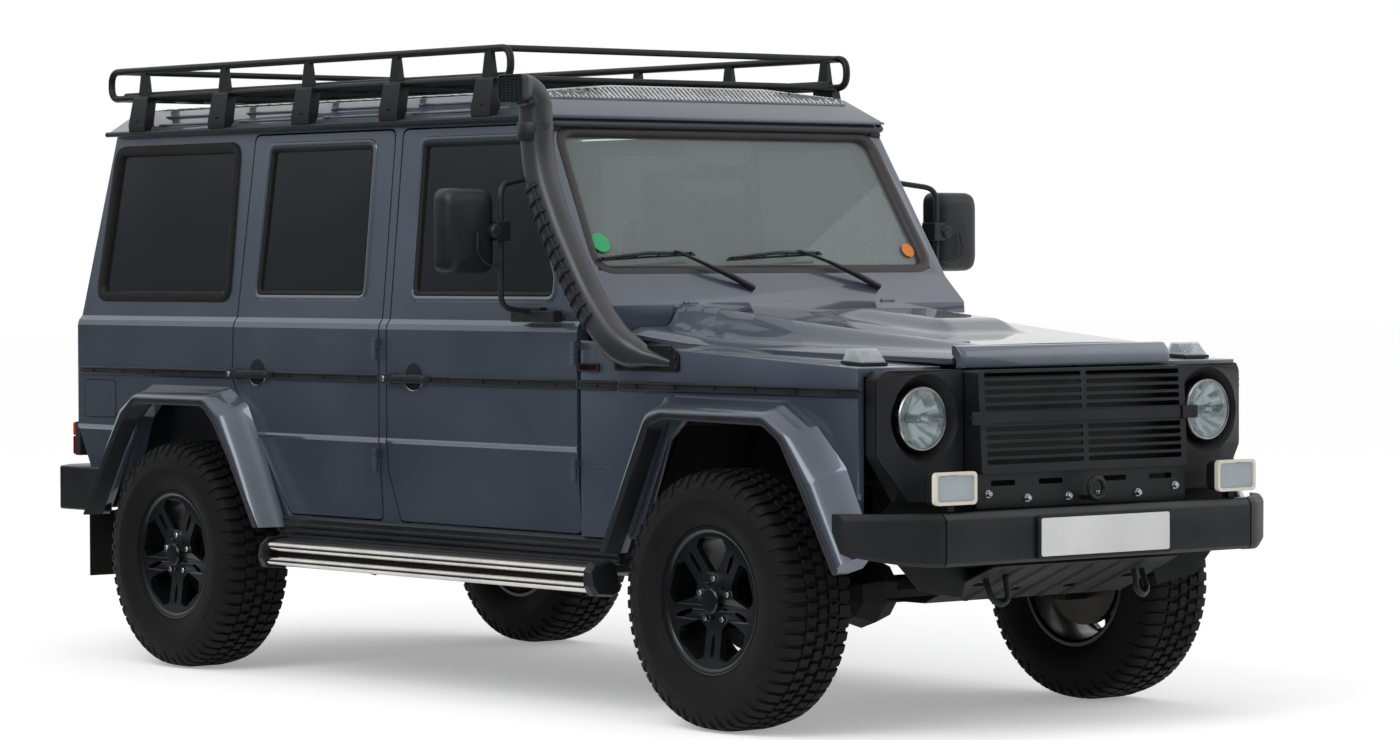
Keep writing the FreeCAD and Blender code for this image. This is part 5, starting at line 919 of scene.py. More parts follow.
def handle(front):
    """Pull handle: a base, a bowed grip and the lock's housing at its rear end."""
    rear = front - 229
    grip = []
    for x, y, half in ((front - 1, 770, 11), (front - 9, 790, 13), (front - 26, 800, 15),
                       (rear + 60, 802, 15), (rear + 50, 802, 15)):
        grip.append([(x, -(y - 6), handle_z - half), (x, -y, handle_z - half * 0.8),
                     (x, -y - 3, handle_z), (x, -y, handle_z + half * 0.8),
                     (x, -(y - 6), handle_z + half), (x, -(y - 12), handle_z)])
    return joined(lofted(grip), block((rear, rear + 58), (-804, -766), (987, 1021)),
                  block((rear, front), (-775, -766), (992, 1016)))


for end, front in (("front", -1464), ("rear", -2350)):
    centre = front - 93
    button = turned([(-7, 1), (-7, 8), (-5, 9.5), (2, 9.5), (2, 1)], (front - 211, -803, handle_z), "y", 20)
    # The bright bar round the lower rim of each scoop is a painted highlight, where the recess's edge
    # catches the light.
    edge_path = [(centre + 49 * cos(radians(t)), -770, 1006 + 40 * sin(radians(t)))
                 for t in range(195, 350, 8)]
    scoop_rim_highlight = swept(edge_path, 2.2, 8)
    for side, turn_over in flip.items():
        body = f"{end}_door_{side}"
        piece(f"{end}_handle_{side}", turn_over(handle(front)), trim_plastic, body, 40, 3)
        piece(f"{end}_lock_button_{side}", turn_over(button), zinc_plate, body, 30)
        piece(f"{end}_scoop_rim_highlight_{side}", turn_over(scoop_rim_highlight), zinc_plate, body)

sill_ring = [(744, 461), (766, 461), (770, 465), (770, 471), (765, 474), (765, 480), (770, 483), (770, 491),
             (765, 494), (765, 500), (770, 503), (770, 511), (765, 514), (765, 522), (768, 530), (760, 536),
             (744, 536)]
sill = lofted([[(x, -y, z) for y, z in sill_ring] for x in (-512, -2322)])
piece("sill_mouldings", both(sill), trim_plastic, smooth=20, edge=1)

# Repeaters: an amber block in a black frame.
amber = glass("amber_lamp_plastic", ("#c4550c", "#e07a1c"), 0.15)
repeater_lines = [oblong((-699, -603), (1042, 1068), 6), oblong((-693, -609), (1047, 1063), 4)]
repeater_frame = placed(plate(repeater_lines, 10), lambda u, v, w: (u, -side_y - 4 - w, v))
piece("repeater_frames", both(repeater_frame), trim_plastic, edge=1.5)
piece("repeater_lenses", both(block((-693, -609), (-774, -766), (1047, 1063))), amber, edge=2)
# Chromed zinc: a bare oval plate, bright as a mirror, with its edge eased.
chrome = surface("chromed_zinc", ("#b9bcbe", "#dfe1e2"), (0.08, 0.16), 6, 0.02, Metallic=1.0)
oval = placed(plate([[(-605 + 53 * c, 742 + 12 * s) for c, s in circle(0, 0, 1)]], 4),
              lambda u, v, w: (u, -(side_depth(v) + 1.5 + w), v))
piece("wing_ovals", both(oval), chrome, edge=1.2)

# The fuel flap is on the right: a painted lid in a black seam.
lid_line = oblong((-3520, -3323), (840, 966), 16)
seam_line = oblong((-3524, -3319), (836, 970), 19)
piece("fuel_lid", side_panel([lid_line], 3, 1.2), paint, edge=1)
piece("fuel_lid_seam", side_panel([seam_line, lid_line], 1.5, 0.3), seal_rubber)

# Painted beads turned in round the door windows; the light runs along them.
bead = [(19, 0.2), (16, 4), (9, 5), (2, 2.5), (-4, -4), (-7, -12), (2, -14), (14, -6)]
for end, _, _, pane, bend, _ in doors:
    for side, turn_over in flip.items():
        piece(f"{end}_window_bead_{side}", turn_over(gasket(pane, bend, bead, on_side)),
                      paint, f"{end}_door_{side}")


# Roof fittings
# A black drip rail runs round the roof's edge. Under the rack lies rolled aluminium tread plate with
# close ribs down its front slope, and long ribs are pressed into the roof's sloping sides.
rail = softened([(-3430, -727, 1826), (-1020, -727, 1826), (-966, -712, 1806), (-956, -660, 1800),
                 (-956, 660, 1800), (-966, 712, 1806), (-1020, 727, 1826), (-3430, 727, 1826)], 40, 5)
piece("drip_rail", swept(rail, 9, 10), trim_plastic, smooth=50)
tail_rail = [(tail_x(1826) - 4, y, 1826) for y in (-700, 700)]
piece("tail_drip_rail", swept(tail_rail, 7, 10), trim_plastic, smooth=50)


roof_top, roof_flat, roof_fall, fall_width = 1927, 320, 23, 320
header_z, header_x, header_slope = 1833, -975, 0.7267


def roof_height(along, across):
    """Top of the roof, which falls to the sides and slopes down at the front."""
    level = roof_top - max(abs(across) - roof_flat, 0) * roof_fall / fall_width
    return min(level, header_z + header_slope * (header_x - along))


sheet_lines = (-620, -560, -320, 320, 560, 620)
tread_sheet = lofted([[(x, y, roof_height(x, y) + 0.5) for y in sheet_lines]
                      + [(x, y, roof_height(x, y) + 3.5) for y in sheet_lines[::-1]]
                      for x in (-1046, -1074, -1090, -1104, -1128, -3310)])
row_pitch, column_pitch = 34.5, 35
bar_faces = [(0, 1, 4), (1, 5, 4), (1, 2, 5), (2, 3, 5), (3, 4, 5), (3, 0, 4), (3, 2, 1, 0)]
lozenges = []
for row in range(65):
    for column in range(35):
        x, y = -1064 - row * row_pitch, -595 + column * column_pitch
        turn = radians(45 if (row + column) % 2 else -45)
        c, s = cos(turn), sin(turn)
        level = roof_height(x, y) + 3
        slope = (roof_height(x + 1, y) - roof_height(x - 1, y)) / 2
        ring = [(x + c * a - s * b, y + s * a + c * b, level + slope * (c * a - s * b))
                for a, b in ((-15, 0), (0, -4.5), (15, 0), (0, 4.5))]
        top = [(x + c * a, y + s * a, level + 2.4 + slope * c * a) for a in (-9, 9)]
        lozenges.append((ring + top, bar_faces))
slope_ribs = []
for number in range(71):
    y = -612 + number * 17.5
    slope_ribs.append(lofted([[(x, y - 4, roof_height(x, y) + 3), (x, y + 4, roof_height(x, y) + 3),
                               (x, y, roof_height(x, y) + 8)] for x in (-1050, -1106, -1150)]))
# Rolled tread plate: aluminium, darker and duller on the flat and brighter on the raised bars.
darker_tread_sheet = surface("darker_aluminium_sheet", ("#55585b", "#7a7d80"), (0.4, 0.55), 6, 0.1,
                          Metallic=1.0)
tread_plate = surface("brighter_aluminium_bars", ("#a9abad", "#d3d5d6"), (0.2, 0.32), 6, 0.1, Metallic=1.0)
piece("roof_tread_sheet", tread_sheet, darker_tread_sheet, smooth=20)
piece("roof_tread_plate", joined(*lozenges, *slope_ribs), tread_plate, smooth=20)
roof_ribs = []
for station in range(4):
    middle = -1238 - 496 * (station + 0.5)
    for level in (1852, 1880):
        y = 716 - 76 * (level - 1833) / 71
        roof_ribs.append(swept([(middle - 170, -y + 3, level), (middle - 150, -y - 1, level),
                                (middle + 150, -y - 1, level), (middle + 170, -y + 3, level)], 5, 8))
piece("roof_side_ribs", both(joined(*roof_ribs)), paint, smooth=60)


# Roof rack
# Welded steel tube of 24 mm in satin black powder. Each side is a closed loop, joined by cross
# tubes and slats, on tapered posts and box feet that clamp the drip rail.
rack_front, rack_rear, rack_low, rack_high, rack_y = -1130, -3440, 1950, 2045, 700
feet = [-1238 - 496.25 * number for number in range(5)]
inset_front, inset_rear = rack_front - 47, rack_rear + 47
rack_forms = []
for side in (-1, 1):
    y, rail_y = side * rack_y, side * (rack_y - 30)
    loop = softened([(rack_front, y, rack_low), (rack_front, y, rack_high), (rack_rear, y, rack_high),
                     (rack_rear, y, rack_low)], 44, 8, True)
    rack_forms.append(swept(loop, 12, 14, True))
    rack_forms.append(swept([(rack_front - 46, rail_y, 1962), (rack_rear + 46, rail_y, 1962)], 10, 10))
crossings = [(x, rack_low) for x in feet] + [(inset_front, rack_high), (inset_rear, rack_high),
                                             (inset_rear, rack_low), (inset_front, rack_low)]
for x, z in crossings:
    rack_forms.append(swept([(x, -rack_y, z), (x, rack_y, z)], 11, 12))
for number in range(1, 12):
    y = -rack_y + 2 * rack_y * number / 12
    rack_forms.append(swept([(inset_rear, y, rack_low), (inset_front, y, rack_low)],
                            8 if number % 2 else 9, 10))
powder_black = surface("satin_black_powder_coat", ("#0c0d0e", "#141517"), (0.4, 0.52), 3, 0.06,
                       Specular_IOR_Level=0.3)
rack = piece("rack_tubes", joined(*rack_forms), powder_black, smooth=50)
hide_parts("roof_rack")
post_stations = ((1940, 30, 688, 712), (2040, 15, 691, 709))
foot_stations = ((1832, 50, 714, 738), (1856, 51, 700, 739), (1948, 46, 684, 722), (1956, 42, 688, 714))
posts = []
for x in feet:
    for side in (-1, 1):
        for stations in (post_stations, foot_stations):
            posts.append(lofted([[(x + a, side * b, z) for a, b in ((-h, n), (h, n), (h, f), (-h, f))]
                                 for z, h, n, f in stations]))
        posts.append(placed(turned([(737, 1), (737, 4), (741, 4), (741, 1)], (x, 0, 1868), "y", 10),
                            lambda a, b, c: (a, side * b, c)))
piece("rack_feet", joined(*posts), powder_black, smooth=30, edge=3)


# Mirrors
# Each mirror is a moulded plastic shell on a bent tube that stands out from the door, clamped in
# its middle, with a heater cable in a loose loop. The glass faces the rear.
mirror_y, mirror_z = 1009, 1470
arm = softened([(-985, -715, 1640), (-915, -905, 1612), (-915, -905, 1236), (-915, -800, 1222),
                (-915, -776, 1222)], [0, 50, 44, 20, 0], 8)
shell_rings = []
for x, grow in ((-985, -6), (-993, 0), (-990, 1), (-950, 0), (-935, -4), (-922, -14), (-915, -34)):
    line = oblong((-92 - grow, 92 + grow), (-130 - grow, 130 + grow), 40, 6)
    shell_rings.append([(x, -mirror_y + u, mirror_z + v) for u, v in line])
clamp = joined(block((-960, -896), (-932, -880), (1440, 1500)),
               turned([(-965, 20), (-895, 24), (-888, 18), (-888, 1)], (0, -935, mirror_z), "x", 20))
foot_block = joined(block((-1005, -789), (-802, -766), (1190, 1226)),
                    block((-975, -860), (-798, -768), (1226, 1236)))
cable = softened([(-905, -1000, 1466), (-897, -1010, 1400), (-897, -960, 1362), (-903, -914, 1372)], 40, 5)
mirror_glass = lofted([[(x, -mirror_y + u, mirror_z + v) for u, v in oblong((-86, 86), (-122, 122), 34, 6)]
                       for x in (-993.5, -990)])
# Moulded shell: unpainted black plastic, worn to a soft sheen.
shell_plastic = surface("moulded_mirror_plastic", ("#141518", "#1e1f23"), (0.38, 0.5), 3, 0.06,
                        Specular_IOR_Level=0.35)
for side, turn_over in flip.items():
    body = "front_door_" + side
    shell = piece("mirror_shell_" + side, turn_over(lofted(shell_rings)), shell_plastic, body, 50)
    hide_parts("mirror_" + side)
    piece("mirror_arm_" + side, turn_over(joined(swept(arm, 9, 14), swept(cable, 2.5, 6))),
                  trim_plastic, body, 60)
    piece("mirror_clamp_" + side, turn_over(joined(clamp, foot_block)), trim_plastic, body, 35, 3)
    piece("mirror_glass_" + side, turn_over(mirror_glass), chrome, body)


# Snorkel
# Rotomoulded black plastic duct from the right wing up the screen post. Two slim ribs with cross
# fins stiffen its outer face, and a collar clamps a ram head that bends outboard to a barred mouth.
snorkel_y = 802
route = softened([(-262, 36 - snorkel_y, 1072), (-452, -snorkel_y, 1104), (-612, -snorkel_y, 1250),
                  (-765, -snorkel_y, 1472), (-858, -snorkel_y, 1650), (-873, -snorkel_y, 1860)],
                 [0, 900, 900, 900, 900, 0], 12)


def rounded(angle, corner):
    """Across and up at an angle round a circle that is squared by a corner of less than 1."""
    return [copysign(abs(value) ** corner, value) for value in (cos(angle), sin(angle))]


def duct(path, sizes, sides=28, corner=0.72):
    """A duct of rounded section: half width along the car, half width across, at each point."""
    rings = []
    for number, point in enumerate(path):
        ahead = (path[min(number + 1, len(path) - 1)] - path[max(number - 1, 0)]).normalized()
        across = Vector((ahead.z, 0, -ahead.x))
        wide, deep = sizes(number / (len(path) - 1))
        ring = []
        for step in range(sides):
            c, s = rounded(2 * pi * step / sides, corner)
            ring.append(point + across * wide * c + Vector((0, deep * s, 0)))
        rings.append(ring)
    return lofted(rings)


def duct_size(share):
    """Half widths of the duct, which closes to a blunt end on the wing."""
    if share < 0.16:
        start = sqrt(1 - (1 - max(share, 0.001) / 0.16) ** 2)
        return 6 + 45 * start, 6 + 38 * start
    return 51, 44


head_x, head_z, head_bend = -873, 1843, 62
head_rings = []
for number in range(21):
    turn = radians(90 * min(max(number - 3, 0), 15) / 15)
    ahead = Vector((0, -sin(turn), cos(turn)))
    lift = Vector((0, cos(turn), sin(turn)))
    straight = (min(number, 3) - 3) * 15 if number < 4 else max(number - 18, 0) * 9
    centre = Vector((head_x, -snorkel_y - head_bend * (1 - cos(turn)),
                     head_z + head_bend * sin(turn))) + ahead * straight
    wide, deep = 50 + max(number - 16, 0) * 3, 44 - max(number - 16, 0) * 0.5
    corner = 0.72 - max(number - 14, 0) * 0.06
    ring = []
    for step in range(32):
        c, s = rounded(2 * pi * step / 32, corner)
        ring.append(centre + Vector((wide * c, 0, 0)) + lift * deep * s)
    head_rings.append(ring)
head = lofted(head_rings)
mouth_ring = oblong((-62, 62), (-42, 42), 16, 4)


def on_mouth(u, v, out):
    """Along the mouth, which faces outboard, up it, and out of it."""
    return head_x + u, -882 - out, head_z + head_bend + v


mouth = lofted([[on_mouth(u * grow, v * grow, out) for u, v in mouth_ring]
                for out, grow in ((-14, 0.9), (-6, 1.0), (16, 1.03), (18, 0.97), (8, 0.92))])
bars = [placed(block((-58, 58), (z, z + 3), (9, 14)), on_mouth) for z in range(-35, 38, 8)]
bars += [placed(block((x, x + 3), (-40, 40), (10, 15)), on_mouth) for x in (-44, -23, -2, 19, 40)]
collar = turned([(1746, 50), (1746, 55), (1750, 57), (1800, 57), (1804, 55), (1804, 50)],
                (head_x, -snorkel_y, 0), "z", 40)
base_line = outline([(-527, 1048), (-221, 1048), (-221, 1098), (-250, 1124), (-527, 1124)], 12)
base = placed(plate([base_line], 6), lambda u, v, w: (u, -(side_y + 3 + w), v))
base_screws = [turned([(-9, 1), (-9, 4), (-7, 6), (-3, 6), (-3, 1)], (x, -side_y - 2, z), "y", 12)
               for x, z in ((-234, 1058), (-238, 1090), (-262, 1112), (-512, 1060), (-512, 1110))]
fin_forms = []
lengths = [0]
for here, there in zip(route, route[1:]):
    lengths.append(lengths[-1] + (there - here).length)


def along_route(distance):
    """Point, direction ahead and direction across at a distance along the duct."""
    number = 0
    while distance > lengths[number + 1]:
        number += 1
    share = (distance - lengths[number]) / (lengths[number + 1] - lengths[number])
    ahead = (route[number + 1] - route[number]).normalized()
    return route[number].lerp(route[number + 1], share), ahead, Vector((ahead.z, 0, -ahead.x))


for shift, height in ((-38, 35), (6, 46)):
    path = []
    for step in range(30):
        point, ahead, across = along_route(330 + step * 17.5)
        path.append(point + across * shift + Vector((0, -height, 0)))
    fin_forms.append(swept(path, 5, 8))
for number in range(12):
    point, ahead, across = along_route(338 + number * 44)
    fin_forms.append(lofted([[point + across * x + ahead * z - Vector((0, y, 0)) for z in (-3, 3)] +
                             [point + across * x + ahead * z - Vector((0, y - 14, 0)) for z in (3, -3)]
                             for x, y in ((-52, 22), (-44, 40), (-24, 52), (8, 55), (24, 48))]))
stay = joined(swept([(-742, -744, 1402), (-915, -712, 1700), (-925, -728, 1712)], 5, 8),
              turned([(-760, 1), (-760, 11), (-724, 11), (-724, 1)], (-932, 0, 1712), "y", 16))
# Rotomoulded polyethylene: charcoal, with a soft, slightly waxy sheen.
duct_plastic = surface("rotomoulded_polyethylene", ("#232427", "#303135"), (0.3, 0.4), 4, 0.06)
snorkel = piece("snorkel_duct", joined(duct(route, duct_size), head), duct_plastic, smooth=60)
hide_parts("snorkel")
piece("snorkel_mouth", joined(mouth, *bars, collar), trim_plastic, smooth=40, edge=1)
piece("snorkel_fins", joined(stay, *fin_forms), trim_plastic, smooth=40)
piece("snorkel_base", joined(base, *base_screws), satin_steel, smooth=30, edge=1.5)


# Side steps
# Each step is a black board with two polished stainless tubes along its outer edge, and slanted
# eight-sided caps of black plastic at its ends, on three brackets from the frame.
tube_line, step_front, step_rear = 856, -540, -2245
step_tubes = joined(*[swept([(step_front, -tube_line, z), (step_rear, -tube_line, z)], 16.5, 28)
                      for z in (442, 396)])
board_ring = [(772, 384), (846, 384), (846, 456), (838, 464), (772, 464)]
board = lofted([[(x, -y, z) for y, z in board_ring] for x in (-536, -2249)])
grips = [block((-2240, -548), (-y - 5, -y), (463, 467)) for y in range(780, 832, 11)]


cap_ring = ((770, 380), (800, 366), (868, 372), (886, 402), (886, 448), (862, 472), (790, 476), (770, 462))
cap_y, cap_z = 828, 420


def step_cap(x, way):
    """A cap that narrows at its end, with the end slanted by 22 mm in 100."""
    rings = []
    for shift, grow in ((0, 1.0), (30, 1.0), (46, 0.86)):
        ring = []
        for y, z in cap_ring:
            slant = 22 * (z - 372) / 100 if shift else 0
            ring.append((x + way * (shift - slant), -(cap_y + (y - cap_y) * grow),
                         cap_z + (z - cap_z) * grow))
        rings.append(ring)
    return lofted(rings)


bracket_width = 60
brackets = [block((x, x + bracket_width), y, z) for x in (-2125, -1358, -750)
            for y, z in (((-772, -340), (422, 462)), ((-380, -340), (460, 491)))]
# Polished stainless steel: a mirror drawn along the tube.
polished_steel = surface("polished_stainless_tube", ("#c4c1ba", "#dcd9d2"), (0.08, 0.14), 20, 0.003,
                         Metallic=1.0)
steps = piece("side_step_tubes", both(step_tubes), polished_steel)
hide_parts("side_steps")
piece("side_step_boards", both(joined(board, *grips, *brackets)), powder_black, edge=2)
step_caps = both(joined(step_cap(step_front, 1), step_cap(step_rear, -1)))
piece("side_step_caps", step_caps, trim_plastic, smooth=25, edge=3)


# Flares
# Angular wheel-arch flares of moulded plastic, painted with the body: a flat outer band with a
# turned-in black lip, and a hollow slope that runs out on to the panel.
def flare_form(stations, bend, ring, unit=False):
    """Loft round an arch. Each station is a lip and a root in X and Z; each point of the ring is a way
    from lip to root, as a share or with unit in millimetres, and a depth."""
    lips = softened([(x, 0, z) for (x, z), _ in stations], bend, 6)
    roots = softened([(x, 0, z) for _, (x, z) in stations], bend, 6)
    rings = []
    for near, far in zip(lips, roots):
        across = (far - near).normalized() if unit else far - near
        points = [(near + across * way, depth) for way, depth in ring]
        rings.append([(point.x, -depth, point.z) for point, depth in points])
    return lofted(rings)


front_stations = [((-470, 500), (-528, 500)), ((-352, 720), (-420, 757)), ((-262, 893), (-300, 972)),
                  ((-190, 912), (-240, 979)), ((260, 906), (262, 974)), ((334, 862), (395, 905)),
                  ((430, 718), (520, 790)), ((566, 492), (640, 560))]
rear_stations = [((-3364, 500), (-3415, 500)), ((-3224, 715), (-3288, 752)), ((-3130, 840), (-3200, 905)),
                 ((-3060, 897), (-3085, 958)), ((-2640, 897), (-2615, 958)), ((-2570, 840), (-2500, 905)),
                 ((-2476, 715), (-2412, 752)), ((-2336, 500), (-2285, 500))]
arches = ((front_stations, [0, 0, 60, 60, 60, 70, 60, 0]), (rear_stations, [0, 0, 60, 60, 60, 60, 0, 0]))
flare_ring = ((0.02, 800), (0.0, 848), (0.04, 860), (0.12, 862), (0.34, 862), (0.44, 856), (0.56, 838),
              (0.68, 812), (0.82, 788), (1.0, 770), (0.98, 762), (0.2, 762))
lip_ring = ((-3, 800), (-4, 850), (-2, 863), (4, 867), (18, 867), (22, 863), (22, 856), (4, 850), (2, 800))
flare_forms = joined(*[flare_form(stations, bend, flare_ring) for stations, bend in arches])
flares = piece("arch_flares_painted", both(flare_forms), paint, smooth=45)
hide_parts("arch_flares")
# The lip's rubber strip follows the inner edge of each flare.
lips = joined(*[flare_form(stations, bend, lip_ring, True) for stations, bend in arches])
piece("arch_flare_lips", both(lips), trim_plastic, smooth=45)
# Moulded rubber flap: black, with the marks of road dirt.
flap_rubber = surface("moulded_flap_rubber", ("#0b0b0b", "#161514"), (0.6, 0.8), 5, 0.3,
                      Specular_IOR_Level=0.2)
flap = lofted([[(-3458, -794, z), (-3450, -794, z), (-3450, -574, z), (-3458, -574, z)]
               for z in (280, 284, 500, 507)])
flaps = piece("mud_flap_sheets", both(flap), flap_rubber, edge=2)
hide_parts("mud_flaps")


# Nose
# The lamp surrounds are moulded black plastic with a fine grain, set into the wings. Each has a
# wide cone round its headlamp, and its lower outer corner is cut off.
lamp_y, lamp_z = 581, 925


def surround_x(u):
    """Station of the surround's face, which falls back at its outer edge."""
    return 636 - 0.5 * max(-u - 690, 0)


def surround():
    """Right-hand lamp surround: a flat face with a round opening, and its returning edges."""
    face = outline([(-738, 820), (-738, 1040), (-712, 1063), (-428, 1063), (-428, 690), (-640, 690)],
                   [20, 18, 18, 4, 4, 20])
    hole = circle(8 - lamp_y, lamp_z, 128, 48)
    sheet = placed(plate([face, hole], 6), lambda u, v, w: (surround_x(u) + w, u, v))
    cone = [[(x, u, v) for u, v in circle(shift - lamp_y, lamp_z, grow, 48)]
            for x, grow, shift in ((637, 128, 8), (634, 126, 8), (612, 106, 4), (592, 94, 0), (588, 94, 0))]
    skirt = [[(surround_x(u), u, v) for u, v in face], [(568, u, v) for u, v in face]]
    return joined(sheet, lofted(cone, capped=False), lofted(skirt, capped=False))


# Grained polypropylene: charcoal black, matt, with a 1 mm hide grain drawn at 3 mm.
grained_plastic = surface("grained_black_polypropylene", ("#121315", "#1a1b1d"), (0.5, 0.62), 3, 0.12,
                          Specular_IOR_Level=0.3)
surrounds = piece("lamp_surrounds", both(surround()), grained_plastic, smooth=35)
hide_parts("nose_panel")


# Headlamps
# A stamped reflector, bright with vaporised aluminium and faceted into wedges, behind a clear
# domed lens in a thin bright ring.
def facets(y):
    """A bowl whose rings step in and out by 6 percent, open at both ends."""
    rings = []
    for x, radius in ((628, 87), (612, 80), (594, 60), (580, 30), (572, 14)):
        ring = []
        for step in range(40):
            turn = 2 * pi * step / 40
            wave = 1 + 0.06 * (1 if step // 2 % 2 else -1) * (radius / 88) * (x < 628)
            ring.append((x, y + radius * wave * cos(turn), lamp_z + radius * wave * sin(turn)))
        rings.append(ring)
    return lofted(rings, capped=False)


# Vaporised aluminium: a mirror, a little uneven.
mirror_bright = surface("vaporised_aluminium_reflector", ("#dfe1e3", "#f0f1f2"), (0.12, 0.2), 12, 0.05,
                        Metallic=0.75)
# Clear moulded lens: nearly without colour, with a slight haze.
clear_lens = glass("moulded_clear_lens", ("#eef2f2", "#f6f8f8"), 0.02, 0.03)
lamp_middle = (0, -lamp_y, lamp_z)
bowls = joined(facets(lamp_y), facets(-lamp_y))
rims = both(turned([(622, 90), (634, 92), (637, 90), (637, 87), (630, 86)], lamp_middle, "x", 48, True))
domes = both(turned([(634, 88), (641, 76), (647, 52), (650, 26), (651, 1), (648, 1), (647, 26), (644, 52),
                     (638, 75), (631, 87)], lamp_middle, "x", 48, False))
bulbs = both(turned([(574, 12), (612, 12), (618, 9), (620, 1)], lamp_middle, "x", 20))
head = piece("headlamp_reflectors", bowls, mirror_bright, smooth=12)
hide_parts("headlamps")
piece("headlamp_rings", joined(rims, bulbs), zinc_plate, smooth=30)
piece("headlamp_lenses", domes, clear_lens)


# Grille
# A pressed steel frame in satin black with five slots above and five below a proud band, each
# split by an upright, and a deep return round its edge. Clips at the band's ends hold it.
def grille_x(z):
    """Station of the grille's face, which leans back to its top."""
    return 706 - 16 * (z - 765) / 296


def on_grille(outlines, thick, out=0):
    """A sheet that follows the grille's lean, at a distance in front of its face."""
    return placed(plate(outlines, thick), lambda u, v, w: (grille_x(v) + out + w, u, v))


slot_pitch, slot_height = 23.5, 14.5
slot_lows = [base + slot_pitch * number for base in (790, 944) for number in range(5)]
slots = [oblong(ends, (low, low + slot_height), 7, 4)
         for low in slot_lows for ends in ((10, 396), (-396, -10))]
grille_face = outline([(-418, 765), (418, 765), (419, 1061), (-419, 1061)], 10)
face = on_grille([grille_face] + slots, 5)
back = [(grille_x(v) - 1, u, v) for u, v in grille_face]
deep = [(622, u * 1.008, v) for u, v in grille_face]
band = on_grille([oblong((-430, 430), (909, 939), 4)], 9, 5)
clip = on_grille([oblong((-458, -396), (905, 943), 5)], 5, 12)
screws = both(turned([(690, 1), (690, 7), (712, 7), (714, 5), (714, 1)], (0, -446, 924), "x", 12))
grille_form = joined(face, lofted([back, deep], capped=False), band, both(clip), screws)
grille = piece("grille_pressing", grille_form, satin_steel, edge=1.2)
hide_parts("grille")


# Bumper
# A pressed steel beam in satin black with a chamfered top edge, bolted to the frame, between swept
# ends that are separate caps of grained plastic.
def bumper_ring(x, y, slim=0.0):
    """Cross-section at a station of the bumper's line, from its inner foot round the face."""
    depth = 46
    low, high = 510 + slim, 662
    return [(x - depth, y, low + 6), (x - 8, y, low), (x, y, low + 10), (x + 1, y, 640), (x - 3, y, 650),
            (x - 16, y, high), (x - depth, y, high)]


beam = [bumper_ring(775, y) for y in (-618, -300, 0, 300, 618)]
cap_line = [(775, -622, 0), (768, -650, 0), (722, -722, 6), (690, -765, 14), (640, -818, 26),
            (596, -852, 40)]
cap = [bumper_ring(x, y, slim) for x, y, slim in cap_line]
# Beam and caps: satin black paint and grained plastic, close in tone.
bumper = piece("bumper_beam", lofted(beam), satin_steel, edge=2)
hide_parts("front_bumper")
piece("bumper_caps", both(lofted(cap)), grained_plastic, smooth=25, edge=2)


# Guard
# The folded steel guard slopes from the bumper to below the axle, with six pressed ribs and oval
# holes, and a forged shackle at each side.
def guard_point(u, v, w):
    """Across, along the slope from its top, and out of the plate."""
    run = v if v < 290 else 290
    x = 715 - run * 0.937 - max(v - 290, 0)
    z = 500 - run * 0.407
    return x + w * 0.4, u, z - w * 0.9


holes = [oblong((u - 30, u + 30), (v - 14, v + 14), 13)
         for u, v in ((-300, 150), (300, 150), (-120, 210), (120, 210))]
guard = placed(plate([outline([(-372, 0), (372, 0), (400, 240), (400, 460), (-400, 460), (-400, 240)], 12)]
                     + holes, 5, levels=(290,)), guard_point)
ribs = []
for u in (-250, -150, -50, 50, 150, 250):
    ribs.append(placed(lofted([[(u - 16, 10, 2), (u + 16, 10, 2), (u + 6, 26, 9), (u - 6, 26, 9)],
                               [(u - 16, 284, 2), (u + 16, 284, 2), (u + 6, 276, 9), (u - 6, 276, 9)]]),
                       guard_point))
guard_piece = piece("guard_pressing", joined(guard, *ribs), waxed_steel, edge=1.5)
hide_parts("skid_plate")
shackle = []
for side in (-1, 1):
    path = softened([(612, side * 318, 462), (640, side * 318, 400), (652, side * 290, 380),
                     (652, side * 262, 396), (640, side * 262, 462)], 24, 5)
    shackle.append(swept(path, 9, 12))
piece("shackles", joined(*shackle), satin_steel, smooth=50)


# Front fittings
# Below the grille a black pressed valance carries slots, bright bolts and the towing eye, before a
# black apron. The indicators stand on the wings, and two work lamps with cream frames on the bumper.
def front_plate(outlines, thick, x):
    """A sheet square to the car's length, with its middle at a station."""
    return placed(plate(outlines, thick), lambda u, v, w: (x + w, u, v))


valance_slots = [oblong((y - 48, y + 48), (728, 744), 8) for y in (-320, -130, 130, 320)]
valance = front_plate([oblong((-424, 424), (664, 764), 4)] + valance_slots, 4, 690)
piece("valance", valance, satin_steel, edge=1)
apron_half = [(700, 560), (700, 664), (625, 720), (600, 800), (420, 800), (380, 660)]
apron_low = [(-560, 430), (-400, 405), (-380, 462), (380, 462), (400, 405), (560, 430)]
apron_line = apron_half + [(-y, z) for y, z in apron_half[::-1]] + apron_low
apron = front_plate([apron_line], 4, 600)
piece("front_apron", apron, waxed_steel, edge=1)
bolts = [turned([(690, 1), (690, 13), (694, 13), (694, 9), (703, 9), (705, 7), (705, 1)], (0, y, z), "x", 6)
         for y, z in ((-380, 706), (-225, 690), (-60, 690), (60, 690), (225, 690), (380, 706))]
eye = swept([(742, y, z) for y, z in circle(7, 712, 30)], 8, 12, True)
eye_foot = block((690, 742), (-1, 15), (676, 690))
piece("valance_bolts", joined(*bolts), zinc_plate, smooth=30)
piece("towing_eye", joined(eye, eye_foot), satin_steel, smooth=50, edge=1)
holder = front_plate([oblong((-268, 268), (517, 645), 8)], 10, 782)
blank = front_plate([oblong((-260, 260), (526, 636), 8)], 2, 788.5)
piece("plate_holder", holder, grained_plastic, edge=2)
